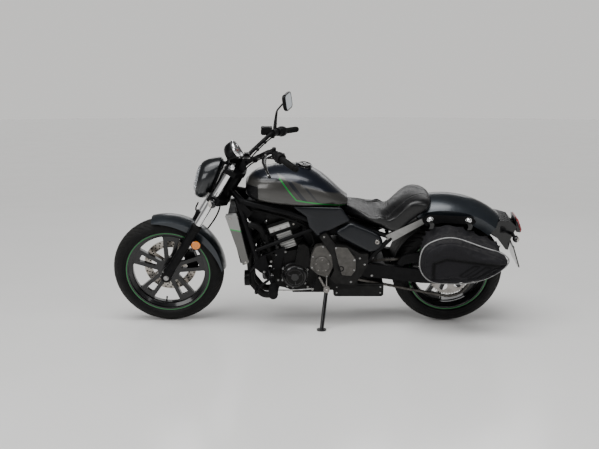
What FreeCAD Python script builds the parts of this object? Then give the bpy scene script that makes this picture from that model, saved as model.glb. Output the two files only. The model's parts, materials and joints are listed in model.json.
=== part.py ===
import FreeCAD, Part
import math
import os

# Cruiser motorcycle on its side stand, in millimetres.
# The bike frame has X rearward from the front axle, Y to the bike's right and Z up from the ground.
# Every piece is drawn upright there, then leaned to the left and moved to the row's origin.

# Stance of the whole motorcycle
wheelbase = 1575.0
rake_angle = 31.0
lean_angle = 12.0
axis_offset = 58.0
case_half_width = 118.0
frame_tube_step = 2.0
frame_tube_y = case_half_width + frame_tube_step

# Tyres and rims
front_tyre_radius = 312.5
front_tyre_half_width = 60.0
front_shoulder_drop = 50.5
front_bead_radius = 231.0
front_bead_half_width = 45.0
rear_tyre_radius = 312.0
rear_tyre_half_width = 80.0
rear_shoulder_drop = 62.0
rear_bead_radius = 218.0
rear_bead_half_width = 60.0
tyre_wall = 9.0
bead_seat = 0.5
flange_height = 13.0
flange_width = 4.0
rim_skin = 7.0
rim_well_depth = 17.0
spoke_half_thickness = 12.0
hub_radius = 34.0
axle_radius = 10.0
axle_clearance = 0.05
front_hub_half_width = 56.0
rear_hub_half_width = 84.0
spoke_pair_count = 5
front_spoke_angle = 11.6
rear_spoke_angle = 30.0
small_window_inner = 74.0
small_window_rim_gap = 33.0
small_window_half_angle = 7.2
big_window_inner = 64.0
big_window_rim_gap = 4.0
big_window_inner_angle = 9.0
big_window_outer_angle = 22.5
window_corner = 8.0

# Brake discs, on the right
disc_thickness = 5.0
front_disc_radius = 150.0
front_disc_band = 42.0
rear_disc_radius = 125.0
rear_disc_band = 34.0
disc_arm_width = 26.0
disc_arm_count = 5
disc_hub_band = 18.0
caliper_gap = 5.5
caliper_wall = 19.0
caliper_depth = 52.0
caliper_length = 118.0
caliper_corner = 12.0
front_caliper_angle = 18.0
caliper_arm_low = 60.0
caliper_arm_high = 150.0
caliper_arm_thickness = 16.0
rear_caliper_angle = 128.0

# Fork, measured along the leg from the axle
fork_half_spacing = 105.0
fork_tube_radius = 20.5
slider_radius = 25.0
slider_length = 351.0
slider_foot_radius = 30.0
slider_foot_half_width = 19.0
seal_radius = 28.5
seal_height = 15.0
tube_seat_depth = 120.0
lower_clamp_start = 518.0
lower_clamp_height = 38.0
upper_clamp_start = 704.0
upper_clamp_height = 27.0
fork_top = 738.0
fork_cap_radius = 19.0
fork_cap_height = 10.0
clamp_front = 34.0
clamp_corner = 18.0
clamp_waist = 43.0
stem_radius = 17.0
head_tube_radius = 31.0
head_tube_gap = 2.0
axle_head_radius = 15.0
axle_head_height = 7.0

# Handlebar and what sits on it
bar_radius = 11.0
bar_middle = (452.0, 0.0, 963.0)
bar_foot = (452.0, 58.0, 963.0)
bar_knee = (587.0, 178.0, 1062.0)
bar_end = (718.5, 370.0, 1028.0)
bar_bend = 55.0
grip_radius = 17.0
grip_length = 122.0
grip_end_length = 14.0
grip_end_radius = 15.5
riser_half_spacing = 44.0
riser_half_width = 16.0
riser_corner = 10.0
switch_radius = 21.5
switch_length = 62.0
switch_gap = 1.0
perch_radius = 16.0
perch_length = 24.0
lever_radius = 6.0
lever_points = ((552.0, 232.0, 1046.0), (553.0, 275.0, 1030.0), (589.0, 368.0, 984.0))
lever_bend = 60.0
lever_ball_radius = 8.5
reservoir_size = (62.0, 48.0, 36.0)
reservoir_corner = 9.0
reservoir_lead = 15.0
reservoir_drop = 10.0
mirror_foot = (600.0, 288.0, 1056.0)
mirror_bend_point = (612.0, 330.0, 1150.0)
mirror_centre = (656.0, 372.0, 1192.0)
mirror_stem_radius = 5.0
mirror_bend = 30.0
mirror_half_width = 66.0
mirror_half_height = 47.0
mirror_depth = 24.0
mirror_corner = 26.0
mirror_turn_angle = 14.0
mirror_tilt_angle = 8.0
mirror_boss_radius = 11.0
mirror_boss_height = 18.0
mirror_thread_radius = 5.0
mirror_thread_depth = 15.0
meter_centre = (388.0, 1002.0)
meter_angle = 32.0
meter_radius = 60.0
meter_depth = 58.0
meter_ring_depth = 16.0
meter_ring_radius = 63.0
meter_dome = 20.0

# Headlight
lamp_half_heights = (98.0, 117.0, 122.0)
lamp_half_widths = (84.0, 97.0, 92.0)
lamp_centres = ((192.0, 854.0), (235.0, 858.0), (276.0, 863.0))
lamp_angles = (14.0, 18.0, 22.5)
lens_half_height = 86.0
lens_half_width = 73.0
lens_bulge = 22.0
lens_seat = 3.0
bracket_bar_radius = 9.0
lamp_bracket_y = 46.0

# Front fender, around the front axle
fender_inner_radius = 323.0
fender_sheet = 3.5
fender_half_width = 74.0
fender_skirt = 52.0
skirt_cut_radius = 400.0
skirt_cut_offset = 128.0
skirt_cut_angle = 52.0
fender_front_angle = 104.0
fender_rear_angle = 3.0
fender_lug_radius = 16.0
fender_lug_start = 292.0

# Small lamps and reflectors of the front end
signal_radius = 24.0
signal_length = 46.0
signal_stalk_radius = 9.0
signal_fork_height = 541.0
signal_reach = 44.0
reflector_radius = 29.0
reflector_thickness = 9.0
reflector_centre = (172.0, 507.0)

# Cables held by the front end
brake_hose_radius = 4.5
clutch_cable_radius = 4.0
cord_bend = 40.0
brake_hose_points = ((302.0, 72.0, 690.0), (272.0, 112.0, 590.0), (182.0, 112.0, 470.0), (136.0, 78.0, 384.0))
clutch_cable_points = ((57.0, -190.0, 876.0), (-46.0, -78.0, 772.0), (-40.0, -73.0, 640.0), (-24.0, -72.0, 556.0))

# Frame tubes
top_tube_radius = 17.0
down_tube_radius = 16.0
diagonal_radius = 11.0
rail_radius = 13.0
top_tube_start = (360.0, 12.0, 795.0)
top_tube_points = ((430.0, 92.0, 752.0), (584.0, case_half_width, 722.0), (683.0, frame_tube_y, 699.0),
                   (815.0, frame_tube_y, 650.0))
top_tube_bend = 60.0
down_tube_start = (398.0, 60.0, 756.0)
down_tube_points = ((432.0, 112.0, 672.0), (508.0, frame_tube_y, 425.0))
down_tube_bend = 50.0
diagonal_step = 14.0
diagonal_start = (503.0, case_half_width + diagonal_step, 484.0)
diagonal_end = (872.0, case_half_width + diagonal_step, 632.0)
gusset_corner = (408.0, 628.0)
gusset_length = 78.0
gusset_height = 122.0
gusset_shares = [(0.0, 0.95), (0.32, 1.0), (1.0, 0.55), (0.3, 0.0)]
gusset_thickness = 10.0
gusset_y = 98.0
bracket_corner = (490.0, 343.0)
bracket_length = 176.0
bracket_height = 163.0
bracket_shares = [(0.02, 0.53), (1.0, 1.0), (0.9, 0.59), (0.84, 0.17), (0.22, 0.0), (0.0, 0.21)]
bracket_window_shares = [(0.36, 0.66), (0.68, 0.78), (0.6, 0.21), (0.46, 0.14)]
bracket_thickness = 16.0
bracket_lap = 6.0
bracket_inner_y = case_half_width - bracket_lap
bracket_round = 10.0
low_bar_step = 20.0
low_bar_start = (1084.0, case_half_width + low_bar_step, 392.0)
low_bar_end = (1240.0, 134.0, 560.0)
seat_rail_points = ((872.0, case_half_width, 632.0), (1000.0, case_half_width, 640.0), (1222.0, 132.0, 566.0))
seat_rail_bend = 80.0
cross_tube_radius = 11.0
hanger_corner = (1006.0, 318.0)
hanger_length = 112.0
hanger_height = 148.0
hanger_shares = [(0.0, 0.0), (0.45, 0.0), (1.0, 0.62), (1.0, 1.0), (0.1, 1.0)]
hanger_thickness = 15.0
hanger_step = 10.0
hanger_y = case_half_width + hanger_step

# Silver fender struts and the bag bars
strut_corner = (1203.0, 542.0)
strut_length = 226.0
strut_height = 140.0
strut_shares = [(0.0, 0.23), (0.2, 0.0), (0.92, 0.72), (1.0, 1.0), (0.86, 0.93), (0.16, 0.36)]
strut_thickness = 20.0
strut_corner_radius = 6.0
bag_bar_corner = (1396.0, 636.0)
bag_bar_length = 296.0
bag_bar_height = 64.0
bag_bar_shares = [(0.0, 0.6), (0.1, 1.0), (0.92, 0.82), (1.0, 0.4), (0.95, 0.14), (0.36, 0.3), (0.08, 0.0)]
bag_bar_thickness = 9.0
bag_bar_corner_radius = 14.0
bag_boss_radius = 12.0
bag_boss_places = ((1442.0, 674.0), (1648.0, 668.0))

# Engine
case_corner = (584.0, 236.0)
case_length = 480.0
case_height = 270.0
case_shares = [(0.02, 0.82), (0.0, 0.43), (0.04, 0.1), (0.15, 0.06), (0.24, 0.0), (0.74, 0.0),
               (1.0, 0.06), (1.0, 0.68), (0.7, 1.0), (0.36, 0.93)]
case_corner_radius = 22.0
cylinder_foot = (706.0, 470.0)
cylinder_angle = 20.0
cylinder_half_depth = 76.0
cylinder_half_width = 104.0
cylinder_height = 122.0
fin_count = 8
fin_thickness = 4.0
fin_depth = 9.0
head_height = 66.0
head_half_depth = 88.0
head_half_width = 106.0
head_cover_height = 34.0
head_cover_half_depth = 66.0
head_cover_half_width = 80.0
head_bar_height = 22.0
head_bar_thickness = 8.0
generator_centre = (715.0, 334.0)
generator_radius = 68.0
generator_depth = 46.0
generator_dome = 12.0
generator_lobe_corner = (712.0, 386.0)
generator_lobe_length = 92.0
generator_lobe_height = 142.0
generator_lobe_shares = [(0.0, 0.0), (0.24, 0.9), (0.52, 1.0), (0.84, 0.86), (1.0, 0.0)]
generator_lobe_depth = 30.0
clutch_centre = (826.0, 352.0)
clutch_radius = 96.0
clutch_depth = 50.0
gearbox_corner = (798.0, 330.0)
gearbox_length = 126.0
gearbox_height = 196.0
gearbox_shares = [(0.04, 0.66), (0.22, 0.94), (0.6, 1.0), (0.95, 0.72), (1.0, 0.34), (0.78, 0.0), (0.33, 0.1), (0.0, 0.3)]
gearbox_depth = 40.0
cap_centre = (864.0, 410.0)
cap_radius = 45.0
cap_depth = 16.0
cap_bolt_count = 5
cap_bolt_radius = 4.0
cap_bolt_height = 4.0
cap_bolt_circle = 37.0
sprocket_cover_corner = (846.0, 289.0)
sprocket_cover_length = 270.0
sprocket_cover_height = 308.0
sprocket_cover_shares = [(0.0, 0.94), (0.14, 1.0), (0.34, 0.77), (0.57, 0.75), (0.84, 0.6), (1.0, 0.6), (0.99, 0.38),
                         (0.87, 0.18), (0.71, 0.0), (0.33, 0.03), (0.23, 0.12), (0.31, 0.28), (0.26, 0.56)]
sprocket_plate_shares = [(0.3, 0.76), (0.58, 0.74), (0.76, 0.51), (0.76, 0.29), (0.66, 0.17), (0.47, 0.19), (0.38, 0.45)]
sprocket_cover_inner_y = case_half_width - bracket_lap
sprocket_cover_depth = 52.0
sprocket_cover_skin = 6.0
sprocket_plate_height = 5.0
sprocket_cover_round = 8.0
sprocket_port_centre = (968.0, 390.0)
sprocket_port_radius = 11.0
sump_corner = (700.0, 206.0)
sump_length = 190.0
sump_height = 30.0
sump_half_width = 82.0
bay_gap = 5.0

# Exhaust
pipe_radius = 19.0
pipe_y = 46.0
pipe_points = ((566.0, 566.0), (486.0, 520.0), (462.0, 400.0), (470.0, 250.0), (530.0, 173.0))
pipe_bend = 70.0
collector_end = (960.0, 72.0, 226.0)
collector_side = (612.0, 100.0, 179.0)
collector_radius = 24.0
crossing_x = 590.0
chamber_corner = (930.0, 194.0)
chamber_length = 281.0
chamber_height = 78.0
chamber_near_y = -112.0
chamber_far_y = 104.0
chamber_corner_radius = 16.0
silencer_start = (1010.0, 150.0, 232.0)
silencer_end = (1436.0, 176.0, 262.0)
silencer_radius = 48.0
silencer_tip_radius = 30.0
silencer_tip_length = 40.0
silencer_link_radius = 26.0

# Radiator and its side covers
radiator_corner = (352.0, 402.0)
radiator_length = 104.0
radiator_height = 284.0
radiator_shares = [(0.0, 1.0), (0.4, 1.0), (1.0, 0.03), (0.6, 0.0)]
radiator_half_width = 122.0
radiator_groove_count = 9
radiator_groove = 7.0
radiator_groove_depth = 6.0
shroud_corner = (338.0, 399.0)
shroud_length = 124.0
shroud_height = 297.0
shroud_shares = [(0.0, 0.99), (0.52, 1.0), (1.0, 0.05), (0.73, 0.0)]
shroud_thickness = 26.0
shroud_corner_radius = 7.0
hose_radius = 15.0
hose_points = ((404.0, 88.0, 600.0), (470.0, 100.0, 622.0), (522.0, 100.0, 612.0), (540.0, 96.0, 560.0))
hose_bend = 34.0
horn_centre = (432.0, 290.0)
horn_radius = 44.0
horn_thickness = 30.0
horn_y = 70.0

# Fuel tank and seat, lofted from stations of shares: along, low, high, half width
tank_corner = (453.0, 722.0)
tank_length = 549.0
tank_height = 214.0
tank_half_width = 158.0
tank_station_shares = [(0.0, 0.32, 0.6, 0.38), (0.05, 0.24, 0.76, 0.66), (0.19, 0.16, 0.93, 0.89), (0.42, 0.1, 1.0, 1.0),
                       (0.67, 0.05, 0.86, 0.92), (0.85, 0.01, 0.51, 0.7), (1.0, 0.0, 0.17, 0.4)]
tank_ring_shares = [(0.6, 0.02), (0.9, 0.04), (1.0, 0.3), (0.86, 0.7), (0.48, 0.93)]
tank_floor_share = 0.12
trim_wall = 4.0
trim_length_share = 0.12
cap_place = (768.0, 0.0, 930.0)
filler_cap_radius = 36.0
filler_cap_height = 9.0
filler_neck_radius = 40.0
filler_neck_height = 22.0
filler_gap = 0.6
cap_tilt_angle = 7.0
cap_pin_radius = 3.0
cap_pin_clearance = 0.05
cap_lug_half_width = 7.0
cap_ear_gap = 0.5
cap_ear_width = 6.0
cap_pin_reach = 7.0
seat_corner = (985.0, 584.0)
seat_length = 473.0
seat_height_span = 216.0
seat_half_width = 158.0
seat_shares = [(0.0, 0.46), (0.02, 0.6), (0.1, 0.61), (0.2, 0.47), (0.33, 0.37), (0.45, 0.44), (0.56, 0.64), (0.68, 0.84),
               (0.79, 0.92), (0.92, 0.9), (1.0, 0.8), (0.98, 0.66), (0.83, 0.44), (0.56, 0.04), (0.45, 0.0), (0.24, 0.2)]
seat_level_shares = [(-1.0, 0.3, 0.9, 0.62), (-0.93, 0.24, 0.94, 0.86), (-0.72, 0.13, 0.98, 0.97), (-0.4, 0.0, 1.0, 1.0),
                     (0.4, 0.0, 1.0, 1.0), (0.72, 0.13, 0.98, 0.97), (0.93, 0.24, 0.94, 0.86), (1.0, 0.3, 0.9, 0.62)]

# Covers
frame_cover_corner = (706.0, 572.0)
frame_cover_length = 309.0
frame_cover_height = 170.0
frame_cover_shares = [(0.0, 1.0), (0.83, 0.96), (1.0, 0.54), (0.61, 0.17), (0.43, 0.0), (0.28, 0.31), (0.23, 0.66), (0.07, 0.88)]
frame_cover_step = 18.0
frame_cover_y = case_half_width + frame_cover_step
frame_cover_thickness = 9.0
side_cover_corner = (938.0, 478.0)
side_cover_length = 250.0
side_cover_height = 168.0
side_cover_shares = [(0.0, 0.68), (0.13, 0.86), (0.3, 1.0), (0.57, 0.89), (0.84, 0.7), (1.0, 0.46), (0.99, 0.18), (0.77, 0.0), (0.58, 0.11)]
side_cover_y = 122.0
side_cover_thickness = 32.0
side_cover_level_shares = [(0.0, 0.93), (0.5, 1.0), (0.82, 0.94), (1.0, 0.74)]
frame_cover_round = 8.0
box_corner = (960.0, 462.0)
box_length = 196.0
box_height = 150.0
box_half_width = 108.0
box_round = 12.0
air_box_corner = (560.0, 652.0)
air_box_length = 320.0
air_box_height = 84.0
air_box_half_width = 84.0

# Rear fender, turned about its own centre, and the tail
rear_fender_centre = (1523.0, 277.0)
rear_fender_radius = 490.0
rear_fender_half_width = 125.0
rear_fender_side = 110.0
rear_fender_crown = 55.0
rear_fender_sheet = 4.0
rear_fender_front_angle = 110.0
rear_fender_rear_angle = 49.5
inner_guard_gap = 14.0
inner_guard_sheet = 4.0
inner_guard_half_width = 94.0
inner_guard_start_angle = 122.0
inner_guard_end_angle = 168.0
tail_corner = (1752.0, 462.0)
tail_length = 190.0
tail_height = 210.0
tail_shares = [(0.03, 0.57), (0.44, 0.86), (0.78, 0.8), (0.97, 0.62), (0.82, 0.3), (0.76, 0.0), (0.68, 0.02), (0.4, 0.36)]
tail_plan_shares = [(0.0, 1.0), (0.45, 0.96), (1.0, 0.62)]
tail_half_width = 98.0
lamp_corner = (1922.0, 556.0)
lamp_length = 46.0
lamp_height = 86.0
lamp_shares = [(0.0, 1.0), (0.45, 0.86), (1.0, 0.2), (0.9, 0.0), (0.3, 0.06)]
lamp_half_width = 60.0
lamp_round = 5.0
plate_top = (1922.0, 492.0)
plate_bottom = (1966.0, 364.0)
plate_half_width = 95.0
plate_thickness = 2.0
plate_backing = 7.0
plate_arm_half_width = 34.0
rear_signal_centre = (1916.0, 556.0)
rear_signal_radius = 19.0
rear_signal_length = 44.0
rear_signal_stalk = 26.0

# Saddlebags: outline of the lid, swept inwards
bag_corner = (1379.0, 363.0)
bag_length = 469.0
bag_height = 264.0
bag_shares = [(0.0, 0.5), (0.02, 0.28), (0.12, 0.07), (0.32, 0.0), (0.54, 0.01), (0.76, 0.11), (0.92, 0.29), (1.0, 0.48), (0.95, 0.62),
              (0.67, 0.81), (0.36, 0.99), (0.17, 0.94), (0.04, 0.78)]
bag_inner_y = 161.0
bag_lid_y = 296.0
bag_outer_y = 344.0
bag_inner_lift = 42.0
bag_inner_length_share = 0.98
bag_face_share = 0.86
bag_shoulder_y = 330.0
bag_shoulder_share = 0.97

# Rear suspension and drive
swingarm_corner = (1040.0, 284.0)
swingarm_length = 580.0
swingarm_height = 122.0
swingarm_shares = [(0.0, 0.5), (0.06, 0.92), (0.14, 1.0), (0.64, 0.7), (0.98, 0.47), (1.0, 0.1), (0.92, 0.0), (0.64, 0.06),
                   (0.1, 0.38)]
swingarm_inner_y = 113.0
swingarm_thickness = 30.0
swingarm_round = 8.0
swingarm_bridge_front = 1140.0
swingarm_bridge_length = 76.0
swingarm_bridge_height = 62.0
swingarm_bridge_low = 322.0
guard_corner = (1277.0, 366.0)
guard_length = 132.0
guard_height = 100.0
guard_shares = [(0.0, 0.36), (0.2, 0.8), (0.44, 0.93), (0.9, 1.0), (1.0, 0.42), (0.66, 0.4), (0.3, 0.3), (0.2, 0.08)]
guard_y = 118.0
guard_thickness = 12.0
chain_pitch_radius = 123.6
chain_half_height = 6.5
chain_half_width = 8.5
chain_y = 97.0
front_sprocket_centre = (1012.0, 352.0)
front_sprocket_radius = 40.0
rear_sprocket_radius = 112.0
rear_sprocket_root = 105.0
sprocket_carrier_radius = 56.0
sprocket_bore_radius = 18.0
sprocket_tooth_count = 44
sprocket_thickness = 6.0
sprocket_hole_count = 5
sprocket_hole_radius = 24.0
sprocket_hole_circle = 70.0
shock_top = (1012.0, 96.0, 566.0)
shock_bottom = (1188.0, 96.0, 396.0)
shock_body_radius = 17.6
shock_spring_radius = 27.0
shock_wire_radius = 5.0
shock_coil_count = 7
rear_nut_radius = 16.0
rear_nut_height = 10.0

# Controls for the feet
peg_radius = 25.0
peg_place = (599.0, 295.0)
peg_step = 78.0
peg_inner_y = case_half_width + peg_step
peg_length = 110.0
peg_arm_radius = 11.0
pedal_pivot = (590.0, 351.0)
pedal_toe = (506.0, 283.0)
pedal_step = 82.0
pedal_y = case_half_width + pedal_step
pedal_radius = 7.0
pedal_toe_radius = 11.0
pedal_toe_length = 46.0

# Side stand
stand_reach = 32.0
stand_pivot = (890.0, -case_half_width - stand_reach, 258.0)
stand_foot = (862.0, -252.0, 54.0)
stand_leg_radius = 11.5
stand_pin_radius = 6.0
stand_pin_clearance = 0.05
stand_boss_radius = 17.0
stand_boss_half_width = 12.5
stand_ear_gap = 0.5
stand_ear_thickness = 9.0
stand_ear_reach = 60.0
stand_strut_radius = 4.0
stand_pad_radius = 27.0
stand_pad_thickness = 8.0
stand_pin_head = 3.0

# Cutting
overrun = 4.0
smallest_piece = 60.0


def at(x, y, z):
    """A point or a direction."""
    return FreeCAD.Vector(x, y, z)


def mirror_point(point):
    """The same point on the other side of the bike."""
    return at(point[0], -point[1], point[2])


def outline(corner, length, height, shares, y=0.0):
    """Points of a side outline whose box has a named lower front corner, length and height."""
    return [at(corner[0] + length * along, y, corner[1] + height * up) for along, up in shares]


def corner_arc(before, corner, after, radius):
    """The arc that turns one corner: its start, its middle and its end."""
    to_before = before - corner
    to_after = after - corner
    half_turn = to_before.getAngle(to_after) / 2
    reach = min(radius / math.tan(half_turn), 0.45 * to_before.Length, 0.45 * to_after.Length)
    true_radius = reach * math.tan(half_turn)
    to_before.normalize()
    to_after.normalize()
    inward = to_before + to_after
    inward.normalize()
    middle = corner + inward * (true_radius / math.sin(half_turn) - true_radius)
    return corner + to_before * reach, middle, corner + to_after * reach


def rounded_wire(points, radius):
    """A closed wire through the points, each corner turned by an arc."""
    count = len(points)
    arcs = [corner_arc(points[i - 1], points[i], points[(i + 1) % count], radius) for i in range(count)]
    edges = []
    for i in range(count):
        start, middle, end = arcs[i]
        edges.append(Part.Arc(start, middle, end).toShape())
        edges.append(Part.LineSegment(end, arcs[(i + 1) % count][0]).toShape())
    return Part.Wire(edges)


def slab(points, radius, thickness):
    """A plate with rounded corners, its outline drawn in XZ and its thickness along Y."""
    return Part.Face(rounded_wire(points, radius)).extrude(at(0, thickness, 0))


def sharp_slab(points, thickness):
    """A plate with sharp corners, its outline drawn in XZ and its thickness along Y."""
    return Part.Face(Part.makePolygon(points + [points[0]])).extrude(at(0, thickness, 0))


def mirrored(shape):
    """The shape on the other side of the bike."""
    return shape.mirror(at(0, 0, 0), at(0, 1, 0))


def both_sides(shape):
    """The shape and its twin on the other side."""
    return Part.makeCompound([shape, mirrored(shape)])


def joined(shapes):
    """One solid from pieces that meet."""
    first = shapes[0]
    return first.fuse(shapes[1:]).removeSplitter()


def rod(start, end, radius):
    """A round bar between two points."""
    way = end - start
    return Part.makeCylinder(radius, way.Length, start, way)


def smooth_ring(points):
    """A closed smooth curve through the points, timed by the root of their spacing so that it doesn't swing wide."""
    times = [0.0]
    for i in range(len(points)):
        times.append(times[-1] + math.sqrt(points[i].distanceToPoint(points[(i + 1) % len(points)])))
    curve = Part.BSplineCurve()
    curve.interpolate(Points=points, PeriodicFlag=True, Parameters=times)
    return Part.Wire(curve.toShape())


def path_wire(points, bend):
    """An open path of straight runs joined by tangent arcs."""
    edges = []
    last = points[0]
    for i in range(1, len(points) - 1):
        start, middle, end = corner_arc(points[i - 1], points[i], points[i + 1], bend)
        edges.append(Part.LineSegment(last, start).toShape())
        edges.append(Part.Arc(start, middle, end).toShape())
        last = end
    edges.append(Part.LineSegment(last, points[-1]).toShape())
    return Part.Wire(edges)


def pipe(points, radius, bend):
    """A round tube along a bent path."""
    path = path_wire(points, bend)
    ring = Part.Wire(Part.Circle(points[0], points[1] - points[0], radius).toShape())
    return path.makePipeShell([ring], True, False)


def wheel_turn(profile, centre, turn=360.0):
    """A profile of (radius, y) pairs turned about the Y axis through a centre in XZ."""
    points = [at(centre[0] + radius, y, centre[1]) for radius, y in profile]
    face = Part.Face(Part.makePolygon(points + [points[0]]))
    return face.revolve(at(centre[0], 0, centre[1]), at(0, 1, 0), turn)


def turned(shape, centre, angle):
    """The shape turned about the Y axis through a centre in XZ, from rearward towards up."""
    copy = shape.copy()
    copy.rotate(at(centre[0], 0, centre[1]), at(0, 1, 0), -angle)
    return copy


def crown_radius(half_width, drop):
    """Radius of a tyre's crown from its half width and the drop to its shoulder."""
    return (half_width ** 2 + drop ** 2) / (2 * drop)


def axle_height(tyre_radius, half_width, drop):
    """Height of an axle whose leaned tyre just touches the ground."""
    return tyre_radius + crown_radius(half_width, drop) * (1 / math.cos(math.radians(lean_angle)) - 1)


front_axle_z = axle_height(front_tyre_radius, front_tyre_half_width, front_shoulder_drop)
rear_axle_z = axle_height(rear_tyre_radius, rear_tyre_half_width, rear_shoulder_drop)
front_axle = (0.0, front_axle_z)
rear_axle = (wheelbase, rear_axle_z)


def in_fork(shape):
    """Move a shape from the fork's own frame, Z up the left leg's line, into the bike frame."""
    copy = shape.copy()
    copy.rotate(at(0, 0, 0), at(0, 1, 0), rake_angle)
    copy.translate(at(0, 0, front_axle_z))
    return copy


def fork_point(across, y, along):
    """A point of the fork's frame in the bike frame."""
    turn = math.radians(rake_angle)
    x = across * math.cos(turn) + along * math.sin(turn)
    z = front_axle_z - across * math.sin(turn) + along * math.cos(turn)
    return at(x, y, z)


def lean(point):
    """A point of the upright bike as it stands on its side stand, before the move to the row's origin."""
    turn = math.radians(lean_angle)
    y = point[1] * math.cos(turn) - point[2] * math.sin(turn)
    z = point[2] * math.cos(turn) + point[1] * math.sin(turn)
    return at(point[0], y, z)


def row_shift():
    """The move that puts the bottom centre of the leaned bike's box at the row's origin."""
    front = -front_tyre_radius
    rear = plate_bottom[0] + plate_backing
    left = lean(mirror_point(bar_end)).y - grip_end_radius
    right = lean((0.0, bag_outer_y, bag_corner[1] + bag_height / 3)).y
    return at(-(front + rear) / 2, -(left + right) / 2, 0)


def to_row(point):
    """A point of the upright bike in the row's frame."""
    return lean(point) + row_shift()


def settle(shape):
    """Lean a finished piece and move it to the row's frame."""
    copy = shape.copy()
    copy.rotate(at(0, 0, 0), at(1, 0, 0), lean_angle)
    copy.translate(row_shift())
    return copy


# Wheels

def tyre(centre, radius, half_width, drop, bead_radius, bead_half_width):
    """A hollow tyre: round crown, bulged walls and beads that stand on the rim."""
    shoulder = radius - drop
    wall_middle = (shoulder + bead_radius) / 2
    inner_half = half_width - tyre_wall

    def place(r, y):
        return at(centre[0] + r, y, centre[1])

    edges = [
        Part.Arc(place(shoulder, -half_width), place(radius, 0), place(shoulder, half_width)),
        Part.Arc(place(shoulder, half_width), place(wall_middle, half_width - bead_seat), place(bead_radius, bead_half_width)),
        Part.LineSegment(place(bead_radius, bead_half_width), place(bead_radius, bead_half_width - tyre_wall)),
        Part.LineSegment(place(bead_radius, bead_half_width - tyre_wall), place(shoulder, inner_half)),
        Part.Arc(place(shoulder, inner_half), place(radius - tyre_wall, 0), place(shoulder, -inner_half)),
        Part.LineSegment(place(shoulder, -inner_half), place(bead_radius, tyre_wall - bead_half_width)),
        Part.LineSegment(place(bead_radius, tyre_wall - bead_half_width), place(bead_radius, -bead_half_width)),
        Part.Arc(place(bead_radius, -bead_half_width), place(wall_middle, bead_seat - half_width), place(shoulder, -half_width)),
    ]
    face = Part.Face(Part.Wire([edge.toShape() for edge in edges]))
    return face.revolve(at(centre[0], 0, centre[1]), at(0, 1, 0), 360)


def spoke_window(centre, inner, outer, inner_angle, outer_angle, middle_angle, half_thickness):
    """One opening between spokes: an arc at the rim, an arc at the hub and two straight sides."""

    def place(radius, angle):
        turn = math.radians(middle_angle + angle)
        return at(centre[0] + radius * math.cos(turn), -half_thickness, centre[1] + radius * math.sin(turn))

    edges = [
        Part.Arc(place(inner, -inner_angle), place(inner, 0), place(inner, inner_angle)),
        Part.LineSegment(place(inner, inner_angle), place(outer, outer_angle)),
        Part.Arc(place(outer, outer_angle), place(outer, 0), place(outer, -outer_angle)),
        Part.LineSegment(place(outer, -outer_angle), place(inner, -inner_angle)),
    ]
    prism = Part.Face(Part.Wire([edge.toShape() for edge in edges])).extrude(at(0, 2 * half_thickness, 0))
    across = [edge for edge in prism.Edges if abs(edge.tangentAt(edge.FirstParameter).y) > 0.99]
    return prism.makeFillet(window_corner, across)


def rim(centre, bead_radius, bead_half_width, hub_half_width, first_angle):
    """A cast rim: flanged barrel with a well, five double spokes and a bored hub."""
    flange_radius = bead_radius + flange_height
    flange_half = bead_half_width + flange_width
    seat = bead_radius - bead_seat / 2
    seat_inner = bead_half_width - 2 * tyre_wall
    well = seat - rim_well_depth
    well_half = bead_half_width / 2
    half = [(flange_radius, flange_half), (flange_radius, bead_half_width + bead_seat), (seat, bead_half_width + bead_seat),
            (seat, seat_inner), (well, well_half - rim_skin)]
    inner_half = [(seat - rim_skin, flange_half), (seat - rim_skin, seat_inner + rim_skin), (well - rim_skin, well_half)]
    profile = half + [(r, -y) for r, y in reversed(half)] + [(r, -y) for r, y in inner_half]
    profile += list(reversed(inner_half))
    barrel = wheel_turn(profile, centre)
    barrel_inner = well - rim_skin
    web = wheel_turn([(hub_radius - bead_seat, -spoke_half_thickness), (barrel_inner + bead_seat, -spoke_half_thickness),
                      (barrel_inner + bead_seat, spoke_half_thickness), (hub_radius - bead_seat, spoke_half_thickness)], centre)
    step = 360.0 / spoke_pair_count
    windows = []
    for i in range(spoke_pair_count):
        pair_angle = first_angle + i * step
        windows.append(spoke_window(centre, small_window_inner, barrel_inner - small_window_rim_gap, small_window_half_angle,
                                    small_window_half_angle, pair_angle, spoke_half_thickness + overrun))
        windows.append(spoke_window(centre, big_window_inner, barrel_inner - big_window_rim_gap, big_window_inner_angle,
                                    big_window_outer_angle, pair_angle + step / 2, spoke_half_thickness + overrun))
    web = web.cut(windows)
    hub = rod(at(centre[0], -hub_half_width, centre[1]), at(centre[0], hub_half_width, centre[1]), hub_radius)
    bore = rod(at(centre[0], -hub_half_width - overrun, centre[1]), at(centre[0], hub_half_width + overrun, centre[1]),
               axle_radius + axle_clearance)
    return joined([barrel, web, hub]).cut(bore)


def brake_disc(centre, radius, band, inner_y):
    """A brake disc: swept ring, arms and the ring that bolts to the hub."""
    outer_y = inner_y + disc_thickness
    ring = wheel_turn([(radius - band, inner_y), (radius, inner_y), (radius, outer_y), (radius - band, outer_y)], centre)
    hub_ring = wheel_turn([(hub_radius - disc_hub_band, inner_y), (hub_radius + disc_hub_band, inner_y),
                           (hub_radius + disc_hub_band, outer_y), (hub_radius - disc_hub_band, outer_y)], centre)
    arm = Part.makeBox(radius - band - hub_radius, disc_thickness, disc_arm_width,
                       at(centre[0] + hub_radius + bead_seat, inner_y, centre[1] - disc_arm_width / 2))
    arms = [turned(arm, centre, i * 360.0 / disc_arm_count) for i in range(disc_arm_count)]
    return joined([ring, hub_ring] + arms)


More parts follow.
